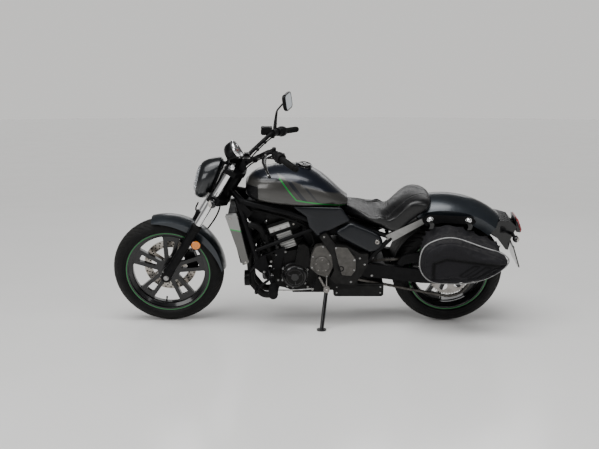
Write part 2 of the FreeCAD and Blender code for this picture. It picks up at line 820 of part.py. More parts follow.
def caliper(centre, radius, band, disc_inner_y, angle):
    """A brake caliper astride its disc, slotted for it."""
    low = radius - band - caliper_corner
    low_y = disc_inner_y - caliper_gap - caliper_wall
    width = 2 * (caliper_wall + caliper_gap) + disc_thickness
    reach = caliper_depth + caliper_corner
    points = [at(centre[0] + low + along, low_y, centre[1] + up) for along, up in
              ((0.0, -caliper_length / 2), (reach, -caliper_length / 2.6), (reach, caliper_length / 2.6), (0.0, caliper_length / 2))]
    block = slab(points, caliper_corner, width)
    slot = wheel_turn([(hub_radius, disc_inner_y - caliper_gap), (radius + caliper_gap, disc_inner_y - caliper_gap),
                       (radius + caliper_gap, disc_inner_y + disc_thickness + caliper_gap),
                       (hub_radius, disc_inner_y + disc_thickness + caliper_gap)], centre)
    return turned(block.cut(slot), centre, angle)


def front_caliper():
    """The front caliper with the arm that bolts it to the right slider."""
    block = caliper(front_axle, front_disc_radius, front_disc_band, front_disc_y(), front_caliper_angle)
    arm_y = front_disc_y() + disc_thickness + caliper_gap
    middle = front_disc_radius - front_disc_band / 2
    places = [fork_point(0, arm_y, caliper_arm_high), fork_point(0, arm_y, caliper_arm_low)]
    for angle in (front_caliper_angle, 2 * front_caliper_angle):
        turn = math.radians(angle)
        places.append(at(middle * math.cos(turn), arm_y, front_axle_z + middle * math.sin(turn)))
    return joined([block, slab(places, caliper_corner, caliper_arm_thickness)])


# Fork and steering

def fork_legs(shape):
    """A shape drawn round the fork frame's own axis, put on both legs."""
    legs = []
    for side in (-1, 1):
        leg = shape.copy()
        leg.translate(at(0, side * fork_half_spacing, 0))
        legs.append(in_fork(leg))
    return Part.makeCompound(legs)


def fork_tubes():
    """The two bright fork tubes with their cap bolts."""
    start = slider_length - tube_seat_depth
    tube = rod(at(0, 0, start), at(0, 0, fork_top), fork_tube_radius)
    cap = rod(at(0, 0, fork_top), at(0, 0, fork_top + fork_cap_height), fork_cap_radius)
    return fork_legs(joined([tube, cap]))


def fork_sliders():
    """The two black sliders with seals, axle feet and the front axle."""
    body = rod(at(0, 0, 0), at(0, 0, slider_length - seal_height), slider_radius)
    seal = rod(at(0, 0, slider_length - seal_height), at(0, 0, slider_length), seal_radius)
    foot = rod(at(0, -slider_foot_half_width, 0), at(0, slider_foot_half_width, 0), slider_foot_radius)
    bore = rod(at(0, 0, slider_length - tube_seat_depth), at(0, 0, slider_length + overrun), fork_tube_radius)
    legs = fork_legs(joined([body, seal, foot]).cut(bore))
    reach = fork_half_spacing + slider_foot_half_width
    axle = rod(at(0, -reach, front_axle_z), at(0, reach, front_axle_z), axle_radius)
    head = rod(at(0, -reach - axle_head_height, front_axle_z), at(0, -reach, front_axle_z), axle_head_radius)
    return joined(list(legs.Solids) + [axle, head])


def clamp_plate(start, height):
    """One fork clamp: a plate round both tubes and the steering stem, in the fork's frame."""
    wide = fork_half_spacing + clamp_front
    rear = axis_offset + head_tube_radius
    places = [(-clamp_front, -wide), (clamp_front, -wide), (rear, -clamp_waist), (rear, clamp_waist),
              (clamp_front, wide), (-clamp_front, wide), (-clamp_front / 2, 0)]
    points = [at(x, y, start) for x, y in places]
    plate = Part.Face(rounded_wire(points, clamp_corner)).extrude(at(0, 0, height))
    for side in (-1, 1):
        plate = plate.cut(Part.makeCylinder(fork_tube_radius, height + 2 * overrun, at(0, side * fork_half_spacing, start - overrun)))
    return plate


def fork_clamps():
    """Lower and upper clamp, the steering stem between them and the headlight's bracket arms."""
    lower = clamp_plate(lower_clamp_start, lower_clamp_height)
    upper = clamp_plate(upper_clamp_start, upper_clamp_height)
    stem = rod(at(axis_offset, 0, lower_clamp_start + lower_clamp_height / 2),
               at(axis_offset, 0, upper_clamp_start + upper_clamp_height / 2), stem_radius)
    body = in_fork(joined([lower, upper, stem]))
    arms = []
    for side in (-1, 1):
        low = fork_point(0, side * lamp_bracket_y, lower_clamp_start + lower_clamp_height / 2)
        high = fork_point(0, side * lamp_bracket_y, upper_clamp_start + upper_clamp_height / 2)
        lamp_centre = lamp_centres[-1]
        arms.append(rod(low, at(lamp_centre[0] - lamp_bracket_y / 2, side * lamp_bracket_y, low.z), bracket_bar_radius))
        arms.append(rod(high, at(lamp_centre[0], side * lamp_bracket_y, high.z), bracket_bar_radius))
    return joined([body] + arms)


def bar_points(side):
    """The handlebar's turning points from the middle to one end."""
    return [at(x, side * y, z) for x, y, z in (bar_foot, bar_knee, bar_end)]


def handlebar():
    """The bent bar and its two risers on the upper clamp."""
    left = bar_points(-1)
    right = bar_points(1)
    bar = pipe([left[2], left[1], left[0], right[0], right[1], right[2]], bar_radius, bar_bend)
    base = fork_point(axis_offset, 0, upper_clamp_start + upper_clamp_height)
    risers = []
    for side in (-1, 1):
        y = side * riser_half_spacing - riser_half_width
        places = [(base.x - riser_half_width, base.z + riser_half_width / 2), (base.x + riser_half_width, base.z - riser_half_width / 2),
                  (bar_middle[0] + riser_half_width, bar_middle[2] + riser_half_width), (bar_middle[0] - riser_half_width,
                  bar_middle[2] + riser_half_width)]
        risers.append(slab([at(x, y, z) for x, z in places], riser_corner, 2 * riser_half_width))
    return joined([bar] + risers)


def bar_place(side, back_from_end):
    """A point on the grip's straight, measured back from the bar's end."""
    end = at(bar_end[0], side * bar_end[1], bar_end[2])
    knee = at(bar_knee[0], side * bar_knee[1], bar_knee[2])
    way = knee - end
    way.normalize()
    return end + way * back_from_end


def grips():
    """Both rubber grips with the weights at the bar's ends."""
    shapes = []
    for side in (-1, 1):
        grip = rod(bar_place(side, grip_length), bar_place(side, 0), grip_radius)
        end = rod(bar_place(side, 0), bar_place(side, -grip_end_length), grip_end_radius)
        shapes.append(joined([grip, end]))
    return Part.makeCompound(shapes)


def lever(side):
    """A hand lever: from the perch forward to its pivot, then bent out along the grip to the ball at its end."""
    root = bar_place(side, grip_length + switch_length + perch_length / 2)
    places = [at(x, side * y, z) for x, y, z in lever_points]
    blade = pipe([root] + places, lever_radius, lever_bend)
    return joined([blade, Part.makeSphere(lever_ball_radius, places[-1])])


def hand_controls():
    """Switch housings, perches, levers and the brake reservoir."""
    shapes = []
    for side in (-1, 1):
        inner = grip_length + switch_gap
        housing = rod(bar_place(side, inner), bar_place(side, inner + switch_length), switch_radius)
        perch = rod(bar_place(side, inner + switch_length), bar_place(side, inner + switch_length + perch_length), perch_radius)
        shapes.append(joined([housing, perch, lever(side)]))
    foot = at(mirror_foot[0], -mirror_foot[1], mirror_foot[2])
    left_boss = rod(bar_place(-1, grip_length + switch_length + perch_length / 2),
                    bar_place(-1, grip_length + switch_length + perch_length / 2) + at(0, 0, mirror_boss_height + perch_radius),
                    mirror_boss_radius)
    thread = rod(bar_place(-1, grip_length + switch_length + perch_length / 2)
                 + at(0, 0, mirror_boss_height + perch_radius - mirror_thread_depth),
                 bar_place(-1, grip_length + switch_length + perch_length / 2)
                 + at(0, 0, mirror_boss_height + perch_radius + overrun), mirror_thread_radius)
    shapes[0] = joined([shapes[0], left_boss]).cut(thread)
    length, width, height = reservoir_size
    right_perch = bar_place(1, grip_length + switch_length + perch_length)
    front_x = right_perch.x - length - reservoir_lead
    points = [at(front_x + along, right_perch.y - width / 2, right_perch.z - reservoir_drop + up) for along, up in
              ((0.0, 0.0), (length, 0.0), (length, height), (0.0, height))]
    reservoir = slab(points, reservoir_corner, width)
    shapes[1] = joined([shapes[1], reservoir])
    return Part.makeCompound(shapes)


def mirror():
    """The right mirror on its bent stem."""
    perch = bar_place(1, grip_length + switch_length + perch_length / 2)
    foot = at(*mirror_foot)
    bend_point = at(*mirror_bend_point)
    centre = at(*mirror_centre)
    stem = pipe([perch, foot, bend_point, centre], mirror_stem_radius, mirror_bend)
    rings = []
    for share, depth_share in ((0.78, 0.0), (1.0, 0.45), (0.97, 1.0)):
        wide = mirror_half_width * share
        high = mirror_half_height * share
        places = [at(mirror_depth * depth_share, y * wide, z * high) for y, z in ((-1, -1), (1, -1), (1, 1), (-1, 1))]
        rings.append(rounded_wire(places, mirror_corner * share))
    head = Part.makeLoft(rings, True, False)
    head.rotate(at(0, 0, 0), at(0, 1, 0), -mirror_tilt_angle)
    head.rotate(at(0, 0, 0), at(0, 0, 1), -mirror_turn_angle)
    head.translate(centre)
    return joined([stem, head])


def speedometer():
    """The round instrument: a domed back, a barrel and a bezel ring that faces the rider."""
    turn = math.radians(meter_angle)
    way = at(math.cos(turn), 0, math.sin(turn))
    centre = at(meter_centre[0], 0, meter_centre[1])
    back = centre - way * (meter_depth / 2)
    face = centre + way * (meter_depth / 2)
    barrel = rod(back, face, meter_radius)
    bezel = rod(face - way * meter_ring_depth, face, meter_ring_radius)
    dome = Part.makeCone(meter_radius / 2, meter_radius, meter_dome, back - way * meter_dome, way)
    post = rod(centre, fork_point(axis_offset, 0, upper_clamp_start + upper_clamp_height / 2), perch_radius)
    return joined([barrel, bezel, dome, post])


def lamp_ring(centre, half_height, half_width, angle):
    """One closed station of the headlight shell, an upright oval leaned back."""
    ring = Part.Ellipse(at(0, 0, 0), half_height, half_width).toShape()
    ring.rotate(at(0, 0, 0), at(0, 1, 0), -90)
    ring.rotate(at(0, 0, 0), at(0, 1, 0), angle)
    ring.translate(at(centre[0], 0, centre[1]))
    return Part.Wire(ring)


def headlight():
    """The headlight shell, lofted back from the lens."""
    rings = [lamp_ring(*station) for station in zip(lamp_centres, lamp_half_heights, lamp_half_widths, lamp_angles)]
    return Part.makeLoft(rings, True, False)


def headlight_lens():
    """The domed lens on the front of the shell."""
    angle = lamp_angles[0]
    turn = math.radians(angle)
    out = at(-math.cos(turn), 0, math.sin(turn))
    front = lamp_centres[0]
    rings = []
    for reach, share in ((0.0, 1.0), (lens_bulge * 0.55, 0.86), (lens_bulge, 0.45)):
        centre = (front[0] + out.x * reach, front[1] + out.z * reach)
        rings.append(lamp_ring(centre, lens_half_height * share, lens_half_width * share, angle))
    return Part.makeLoft(rings, True, False)


def front_fender():
    """The front fender: an arched sheet with skirts, turned about the front axle, and its lugs to the sliders."""
    outer = fender_inner_radius + fender_sheet
    half = fender_half_width
    inner_half = half - fender_sheet
    skirt = outer - fender_skirt

    def place(radius, y):
        return at(radius, y, front_axle_z)

    shoulder = outer - fender_skirt / 3
    edges = [
        Part.LineSegment(place(skirt, -half), place(shoulder, -half)),
        Part.Arc(place(shoulder, -half), place(outer, 0), place(shoulder, half)),
        Part.LineSegment(place(shoulder, half), place(skirt, half)),
        Part.LineSegment(place(skirt, half), place(skirt, inner_half)),
        Part.LineSegment(place(skirt, inner_half), place(shoulder - fender_sheet, inner_half)),
        Part.Arc(place(shoulder - fender_sheet, inner_half), place(fender_inner_radius, 0), place(shoulder - fender_sheet, -inner_half)),
        Part.LineSegment(place(shoulder - fender_sheet, -inner_half), place(skirt, -inner_half)),
        Part.LineSegment(place(skirt, -inner_half), place(skirt, -half)),
    ]
    face = Part.Face(Part.Wire([edge.toShape() for edge in edges]))
    arch = face.revolve(at(0, 0, front_axle_z), at(0, 1, 0), -(fender_front_angle - fender_rear_angle))
    arch = turned(arch, front_axle, fender_rear_angle)
    turn = math.radians(skirt_cut_angle)
    centre = at(-skirt_cut_offset * math.cos(turn), -half - overrun, front_axle_z - skirt_cut_offset * math.sin(turn))
    arch = arch.cut(Part.makeCylinder(skirt_cut_radius, 2 * (half + overrun), centre, at(0, 1, 0)))
    lugs = []
    for side in (-1, 1):
        inner = fork_point(0, side * (half - fender_sheet / 2), fender_lug_start)
        outer_end = fork_point(0, side * (fork_half_spacing - slider_radius / 2), fender_lug_start)
        lugs.append(rod(inner, outer_end, fender_lug_radius))
    return joined([arch] + lugs)


def front_signals():
    """Two small turn lamps on stalks from the lower clamp and two round reflectors on the sliders."""
    shapes = []
    for side in (-1, 1):
        root = fork_point(0, side * (fork_half_spacing + clamp_front - clamp_corner / 2), signal_fork_height)
        tip = root + at(0, side * signal_reach, 0)
        stalk = rod(root, tip, signal_stalk_radius)
        lamp = rod(tip, tip + at(0, side * signal_length, 0), signal_radius)
        shapes.append(joined([stalk, lamp]))
        y = side * (fork_half_spacing + reflector_thickness)
        shapes.append(rod(at(reflector_centre[0], y, reflector_centre[1]),
                          at(reflector_centre[0], y + side * reflector_thickness, reflector_centre[1]), reflector_radius))
    return Part.makeCompound(shapes)


def cables():
    """The brake hose from the lower clamp to the caliper and the clutch cable from its lever."""
    clamp_edge = fork_point(clamp_front, fork_half_spacing / 2, lower_clamp_start)
    hose = pipe([clamp_edge] + [at(x, y, z) for x, y, z in brake_hose_points], brake_hose_radius, cord_bend)
    perch_side = bar_place(-1, grip_length + switch_length + perch_length)
    cable = pipe([perch_side] + [fork_point(x, y, along) for x, y, along in clutch_cable_points], clutch_cable_radius, cord_bend)
    return Part.makeCompound([hose, cable])


# Frame

def side_pipe(points, radius, bend):
    """A bent tube on both sides of the bike."""
    return [pipe([at(x, side * y, z) for x, y, z in points], radius, bend) for side in (-1, 1)]


def upper_frame():
    """The head tube, the two top tubes and the gussets under them."""
    head = rod(at(axis_offset, 0, lower_clamp_start + lower_clamp_height + head_tube_gap),
               at(axis_offset, 0, upper_clamp_start - head_tube_gap), head_tube_radius)
    bore = rod(at(axis_offset, 0, lower_clamp_start), at(axis_offset, 0, upper_clamp_start + upper_clamp_height),
               stem_radius + axle_clearance)
    tubes = side_pipe((top_tube_start,) + top_tube_points, top_tube_radius, top_tube_bend)
    plates = []
    for side in (-1, 1):
        plate = slab(outline(gusset_corner, gusset_length, gusset_height, gusset_shares), top_tube_radius / 2, side * gusset_thickness)
        plate.translate(at(0, side * gusset_y, 0))
        plates.append(plate)
    return joined([in_fork(head)] + tubes + plates).cut(in_fork(bore))


def lower_frame():
    """Down tubes, diagonal tubes and the cut-out engine brackets below them."""
    downs = side_pipe((down_tube_start,) + down_tube_points, down_tube_radius, down_tube_bend)
    shapes = list(downs)
    for side in (-1, 1):
        start = at(diagonal_start[0], side * diagonal_start[1], diagonal_start[2])
        end = at(diagonal_end[0], side * diagonal_end[1], diagonal_end[2])
        shapes.append(rod(start, end, diagonal_radius))
        plate = slab(outline(bracket_corner, bracket_length, bracket_height, bracket_shares), bracket_round, side * bracket_thickness)
        window = slab(outline(bracket_corner, bracket_length, bracket_height, bracket_window_shares), bracket_round / 2,
                      side * bracket_thickness)
        plate = plate.cut(window)
        plate.translate(at(0, side * bracket_inner_y, 0))
        shapes.append(plate)
    cross_z = bracket_corner[1] + bracket_height / 3
    cross_x = bracket_corner[0] + bracket_length / 8
    reach = bracket_inner_y + bracket_thickness / 2
    shapes.append(rod(at(cross_x, -reach, cross_z), at(cross_x, reach, cross_z), cross_tube_radius))
    return joined(shapes)


def rear_frame():
    """Seat rails, lower bars, pivot plates, cross tubes and the bars that carry the bags."""
    shapes = side_pipe(seat_rail_points, rail_radius, seat_rail_bend)
    for side in (-1, 1):
        start = at(low_bar_start[0], side * low_bar_start[1], low_bar_start[2])
        end = at(low_bar_end[0], side * low_bar_end[1], low_bar_end[2])
        shapes.append(rod(start, end, rail_radius))
        plate = slab(outline(hanger_corner, hanger_length, hanger_height, hanger_shares), rail_radius, side * hanger_thickness)
        plate.translate(at(0, side * hanger_y, 0))
        shapes.append(plate)
        bar = slab(outline(bag_bar_corner, bag_bar_length, bag_bar_height, bag_bar_shares), bag_bar_corner_radius,
                   side * bag_bar_thickness)
        bar.translate(at(0, side * (bag_inner_y - bag_bar_thickness), 0))
        shapes.append(bar)
        for x, z in bag_boss_places:
            shapes.append(rod(at(x, side * (rear_fender_half_width - rear_fender_sheet / 2), z),
                              at(x, side * (bag_inner_y - bag_bar_thickness / 2), z), bag_boss_radius))
    first, last = seat_rail_points[0], seat_rail_points[-1]
    for x, y, z in (first, last):
        shapes.append(rod(at(x, -y, z), at(x, y, z), cross_tube_radius))
    return joined(shapes)


def fender_struts():
    """The bright struts from the seat rails back to the rear fender."""
    strut = slab(outline(strut_corner, strut_length, strut_height, strut_shares), strut_corner_radius, strut_thickness)
    strut.translate(at(0, rear_fender_half_width, 0))
    return both_sides(strut)


# Engine

def crankcase():
    """The engine's case with its sump and the open bay round the front sprocket."""
    case = slab(outline(case_corner, case_length, case_height, case_shares, -case_half_width), case_corner_radius, 2 * case_half_width)
    sump = Part.makeBox(sump_length, 2 * sump_half_width, sump_height + case_corner_radius, at(sump_corner[0], -sump_half_width, sump_corner[1]))
    x, z = front_sprocket_centre
    bay_radius = front_sprocket_radius + 2 * chain_half_height + bay_gap
    bay_wall = chain_half_width + bay_gap - chain_y
    bay = Part.makeBox(case_length, case_half_width + overrun + bay_wall, 2 * bay_radius,
                       at(x - bay_radius, -case_half_width - overrun, z - bay_radius))
    return joined([case, sump]).cut(bay)


def on_cylinder(half_depth, half_width, start, height):
    """A block on the cylinders' sloping axis."""
    block = Part.makeBox(2 * half_depth, 2 * half_width, height, at(-half_depth, -half_width, start))
    block.rotate(at(0, 0, 0), at(0, 1, 0), -cylinder_angle)
    block.translate(at(cylinder_foot[0], 0, cylinder_foot[1]))
    return block


def cylinders():
    """The finned cylinder block, the head and its cover on one sloping axis."""
    core = on_cylinder(cylinder_half_depth - fin_depth, cylinder_half_width - fin_depth, -overrun, cylinder_height + overrun)
    step = cylinder_height / fin_count
    fins = [on_cylinder(cylinder_half_depth, cylinder_half_width, (i + 0.5) * step, fin_thickness) for i in range(fin_count)]
    head = on_cylinder(head_half_depth, head_half_width, cylinder_height, head_height)
    cover = on_cylinder(head_cover_half_depth, head_cover_half_width, cylinder_height + head_height, head_cover_height)
    bar = on_cylinder(head_half_depth - fin_depth, head_half_width + head_bar_thickness, cylinder_height + head_height / 3, head_bar_height)
    return joined([core, head, cover, bar] + fins)


def cover_disc(centre, radius, depth, dome, side, inner_y):
    """A round engine cover with a chamfered face."""
    start = at(centre[0], side * inner_y, centre[1])
    drum = Part.makeCylinder(radius, depth - dome, start, at(0, side, 0))
    crown = Part.makeCone(radius, radius - 1.6 * dome, dome, start + at(0, side * (depth - dome), 0), at(0, side, 0))
    return joined([drum, crown])


def engine_covers():
    """The glossy generator cover on the left and the clutch cover on the right."""
    generator = cover_disc(generator_centre, generator_radius, generator_depth, generator_dome, -1, case_half_width)
    lobe = slab(outline(generator_lobe_corner, generator_lobe_length, generator_lobe_height, generator_lobe_shares, -case_half_width),
                case_corner_radius, -generator_lobe_depth)
    clutch = cover_disc(clutch_centre, clutch_radius, clutch_depth, generator_dome, 1, case_half_width)
    return Part.makeCompound([joined([generator, lobe]), clutch])


def gearbox_cover():
    """The grey cover over the gearbox's end with its round five-bolt cap."""
    base = slab(outline(gearbox_corner, gearbox_length, gearbox_height, gearbox_shares, -case_half_width), case_corner_radius,
                -gearbox_depth)
    cap = cover_disc(cap_centre, cap_radius, gearbox_depth + cap_depth, cap_depth / 3, -1, case_half_width)
    bolts = []
    for i in range(cap_bolt_count):
        turn = math.radians(90 + i * 360.0 / cap_bolt_count)
        x = cap_centre[0] + cap_bolt_circle * math.cos(turn)
        z = cap_centre[1] + cap_bolt_circle * math.sin(turn)
        outer = -(case_half_width + gearbox_depth + cap_depth + cap_bolt_height)
        bolts.append(rod(at(x, -case_half_width - gearbox_depth, z), at(x, outer, z), cap_bolt_radius))
    return joined([base, cap] + bolts)


def sprocket_cover():
    """The angular cover over the front sprocket: open inside, with a raised plate and a port."""
    def ring_points(y):
        return outline(sprocket_cover_corner, sprocket_cover_length, sprocket_cover_height, sprocket_cover_shares, y)

    outer_y = -(sprocket_cover_inner_y + sprocket_cover_depth)
    shell = slab(ring_points(-sprocket_cover_inner_y), sprocket_cover_round, -sprocket_cover_depth)
    hollow = rounded_wire(ring_points(-sprocket_cover_inner_y + overrun), sprocket_cover_round).makeOffset2D(-sprocket_cover_skin)
    hollow = Part.Face(hollow).extrude(at(0, -(sprocket_cover_depth + overrun - sprocket_cover_skin), 0))
    plate = slab(outline(sprocket_cover_corner, sprocket_cover_length, sprocket_cover_height, sprocket_plate_shares, outer_y),
                 sprocket_cover_round, -sprocket_plate_height)
    port = rod(at(sprocket_port_centre[0], outer_y - sprocket_plate_height - overrun, sprocket_port_centre[1]),
               at(sprocket_port_centre[0], outer_y + sprocket_cover_skin + overrun, sprocket_port_centre[1]), sprocket_port_radius)
    return joined([shell.cut(hollow), plate]).cut(port)


def exhaust():
    """Two header pipes that meet on the right, the chamber under the engine and the short silencer."""
    pipes = []
    merge = at(*collector_side)
    for side in (-1, 1):
        places = [at(x, side * pipe_y, z) for x, z in pipe_points]
        low = places[-1]
        places.append(at(crossing_x, low.y, low.z))
        pipes.append(pipe(places + [merge], pipe_radius, pipe_bend))
    pipes.append(rod(merge, at(*collector_end), collector_radius))
    pipes.append(Part.makeSphere(collector_radius, merge))
    corner, length, height = chamber_corner, chamber_length, chamber_height
    points = [at(corner[0] + length * a, chamber_near_y, corner[1] + height * b) for a, b in ((0, 0), (1, 0), (1, 1), (0, 1))]
    chamber = slab(points, chamber_corner_radius, chamber_far_y - chamber_near_y)
    start = at(*silencer_start)
    end = at(*silencer_end)
    way = end - start
    way.normalize()
    body = rod(start, end, silencer_radius)
    tip = Part.makeCone(silencer_radius, silencer_tip_radius, silencer_tip_length, end, way)
    mouth = rod(end, end + way * (silencer_tip_length + overrun), silencer_tip_radius - fender_sheet)
    link = rod(at(start.x + silencer_radius, chamber_far_y - overrun, start.z), start + way * silencer_radius, silencer_link_radius)
    return joined([chamber, body, tip, link] + pipes).cut(mouth)


# Cooling

def radiator():
    """The radiator core with grooves across its face, and its top hose."""
    core = sharp_slab(outline(radiator_corner, radiator_length, radiator_height, radiator_shares, -radiator_half_width), 2 * radiator_half_width)
    front_top = outline(radiator_corner, radiator_length, radiator_height, radiator_shares)[0]
    front_low = outline(radiator_corner, radiator_length, radiator_height, radiator_shares)[3]
    way = front_low - front_top
    grooves = []
    for i in range(radiator_groove_count):
        middle = front_top + way * ((i + 1.0) / (radiator_groove_count + 1.0))
        groove = Part.makeBox(2 * radiator_groove_depth, 2 * (radiator_half_width - radiator_groove), radiator_groove,
                              at(middle.x - radiator_groove_depth, radiator_groove - radiator_half_width, middle.z))
        grooves.append(groove)
    hose = pipe([at(x, -y, z) for x, y, z in hose_points], hose_radius, hose_bend)
    return joined([core.cut(grooves), hose])


def radiator_shrouds():
    """The two side covers of the radiator."""
    shroud = slab(outline(shroud_corner, shroud_length, shroud_height, shroud_shares, radiator_half_width), shroud_corner_radius,
                  shroud_thickness)
    return both_sides(shroud)


def horn():
    """The round horn low at the front, on its strap."""
    disc = rod(at(horn_centre[0], -horn_y, horn_centre[1]), at(horn_centre[0] + horn_thickness, -horn_y, horn_centre[1]), horn_radius)
    top = at(horn_centre[0] + horn_thickness / 2, -horn_y, horn_centre[1] + horn_radius / 2)
    strap = rod(top, at(bracket_corner[0] + bracket_length / 8, -horn_y, bracket_corner[1] + bracket_height / 3), bracket_bar_radius)
    return joined([disc, strap])


# Bodywork

def station_ring(corner, length, height, half_width, station):
    """One closed smooth station of the tank, from the bottom middle round and back."""
    along, low_share, high_share, width_share = station
    x = corner[0] + length * along
    low = corner[1] + height * low_share
    high = corner[1] + height * high_share
    wide = half_width * width_share
    half = [(wide * side, low + (high - low) * up) for side, up in tank_ring_shares]
    floor = (0.0, low + (high - low) * tank_floor_share)
    places = [floor] + half + [(0.0, high)] + [(-y, z) for y, z in reversed(half)]
    return smooth_ring([at(x, y, z) for y, z in places])


def tank_loft(extra):
    """The tank's form, or a skin that stands off it by an extra thickness."""
    corner = (tank_corner[0] - extra, tank_corner[1] - extra)
    rings = [station_ring(corner, tank_length + 2 * extra, tank_height + 2 * extra, tank_half_width + extra, station)
             for station in tank_station_shares]
    return Part.makeLoft(rings, True, False)


def cap_frame(shape):
    """Move a shape from the filler cap's own frame, Z out of the tank, into the bike frame."""
    copy = shape.copy()
    copy.rotate(at(0, 0, 0), at(0, 1, 0), cap_tilt_angle)
    copy.translate(at(*cap_place))
    return copy


def cap_hinge_x():
    """How far ahead of the cap's middle its hinge pin lies."""
    return -(filler_cap_radius + cap_pin_reach)


def fuel_tank():
    """The teardrop tank with its filler neck and the ears of the cap's hinge."""
    neck = rod(at(0, 0, -filler_neck_height), at(0, 0, 0), filler_neck_radius)
    ears = []
    inner = cap_lug_half_width + cap_ear_gap
    ear_height = filler_gap + filler_cap_height / 2
    for side in (-1, 1):
        y = inner if side > 0 else -inner - cap_ear_width
        ear = Part.makeBox(2 * cap_pin_radius + 2 * cap_pin_radius, cap_ear_width, filler_neck_height + ear_height + cap_pin_radius,
                           at(cap_hinge_x() - 2 * cap_pin_radius, y, -filler_neck_height))
        ears.append(ear)
    pin = rod(at(cap_hinge_x(), -inner - cap_ear_width, ear_height), at(cap_hinge_x(), inner + cap_ear_width, ear_height), cap_pin_radius)
    return joined([tank_loft(0.0), cap_frame(joined([neck, pin] + ears))])


def filler_cap():
    """The hinged filler cap."""
    disc = rod(at(0, 0, filler_gap), at(0, 0, filler_gap + filler_cap_height), filler_cap_radius)
    ear_height = filler_gap + filler_cap_height / 2
    lug = Part.makeBox(2 * cap_pin_reach, 2 * cap_lug_half_width, filler_cap_height, at(cap_hinge_x(), -cap_lug_half_width, filler_gap))
    eye = rod(at(cap_hinge_x(), -cap_lug_half_width, ear_height), at(cap_hinge_x(), cap_lug_half_width, ear_height), filler_cap_height / 2)
    bore = rod(at(cap_hinge_x(), -filler_cap_radius, ear_height), at(cap_hinge_x(), filler_cap_radius, ear_height),
               cap_pin_radius + cap_pin_clearance)
    return cap_frame(joined([disc, lug, eye]).cut(bore))


def tank_trim():
    """The trim band round the tank's front."""
    skin = tank_loft(trim_wall)
    reach = tank_length * trim_length_share
    keep = Part.makeBox(reach + trim_wall, 2 * tank_half_width, tank_height * 0.6,
                        at(tank_corner[0] - trim_wall - overrun, -tank_half_width, tank_corner[1] - trim_wall))
    return skin.common(keep)


def seat():
    """The saddle: its side outline, drawn in towards each flank, lofted from left to right."""
    rings = []
    for across, front, rear, high in seat_level_shares:
        places = []
        for along, up in seat_shares:
            x = seat_corner[0] + seat_length * (front + (rear - front) * along)
            z = seat_corner[1] + seat_height_span * (0.5 + (up - 0.5) * high)
            places.append(at(x, seat_half_width * across, z))
        rings.append(smooth_ring(places))
    return Part.makeLoft(rings, True, False)


def side_cover():
    """A cover under the seat: a smooth outline that swells in the middle of its depth and draws in at its face."""
    middle = at(side_cover_corner[0] + side_cover_length / 2, 0, side_cover_corner[1] + side_cover_height / 2)
    rings = []
    for depth_share, size_share in side_cover_level_shares:
        out = at(0, side_cover_y + side_cover_thickness * depth_share, 0)
        points = outline(side_cover_corner, side_cover_length, side_cover_height, side_cover_shares)
        rings.append(smooth_ring([middle + (point - middle) * size_share + out for point in points]))
    return Part.makeLoft(rings, True, False)


def side_panels():
    """Frame covers under the tank and side covers under the seat."""
    frame_cover = slab(outline(frame_cover_corner, frame_cover_length, frame_cover_height, frame_cover_shares), frame_cover_round,
                       frame_cover_thickness)
    frame_cover.translate(at(0, frame_cover_y, 0))
    return Part.makeCompound([both_sides(frame_cover), both_sides(side_cover())])


def inner_boxes():
    """The battery box under the seat and the air box under the tank."""
    battery = [at(box_corner[0] + box_length * a, -box_half_width, box_corner[1] + box_height * b)
               for a, b in ((0, 0), (1, 0), (1, 1), (0, 1))]
    air = [at(air_box_corner[0] + air_box_length * a, -air_box_half_width, air_box_corner[1] + air_box_height * b)
           for a, b in ((0, 0), (1, 0), (1, 1), (0, 1))]
    return Part.makeCompound([slab(battery, box_round, 2 * box_half_width), slab(air, box_round, 2 * air_box_half_width)])


def rear_fender():
    """The rear fender, an arched sheet turned about its own centre, with the inner guard's curve ahead of the wheel."""
    radius = rear_fender_radius
    half = rear_fender_half_width
    low = radius - rear_fender_side
    shoulder = radius - rear_fender_crown
    sheet = rear_fender_sheet
    centre = rear_fender_centre

    def place(r, y):
        return at(centre[0] + r, y, centre[1])

    edges = [
        Part.LineSegment(place(low, -half), place(shoulder, -half)),
        Part.Arc(place(shoulder, -half), place(radius, 0), place(shoulder, half)),
        Part.LineSegment(place(shoulder, half), place(low, half)),
        Part.LineSegment(place(low, half), place(low, half - sheet)),
        Part.LineSegment(place(low, half - sheet), place(shoulder - sheet, half - sheet)),
        Part.Arc(place(shoulder - sheet, half - sheet), place(radius - sheet, 0), place(shoulder - sheet, sheet - half)),
        Part.LineSegment(place(shoulder - sheet, sheet - half), place(low, sheet - half)),
        Part.LineSegment(place(low, sheet - half), place(low, -half)),
    ]
    face = Part.Face(Part.Wire([edge.toShape() for edge in edges]))
    arch = face.revolve(at(centre[0], 0, centre[1]), at(0, 1, 0), -(rear_fender_front_angle - rear_fender_rear_angle))
    return turned(arch, centre, rear_fender_rear_angle)


def inner_guard():
    """The black guard between the rear wheel and the battery box."""
    inner = rear_tyre_radius + inner_guard_gap
    outer = inner + inner_guard_sheet
    turn = inner_guard_end_angle - inner_guard_start_angle
    guard = wheel_turn([(inner, -inner_guard_half_width), (outer, -inner_guard_half_width), (outer, inner_guard_half_width),
                        (inner, inner_guard_half_width)], rear_axle, -turn)
    return turned(guard, rear_axle, inner_guard_start_angle)


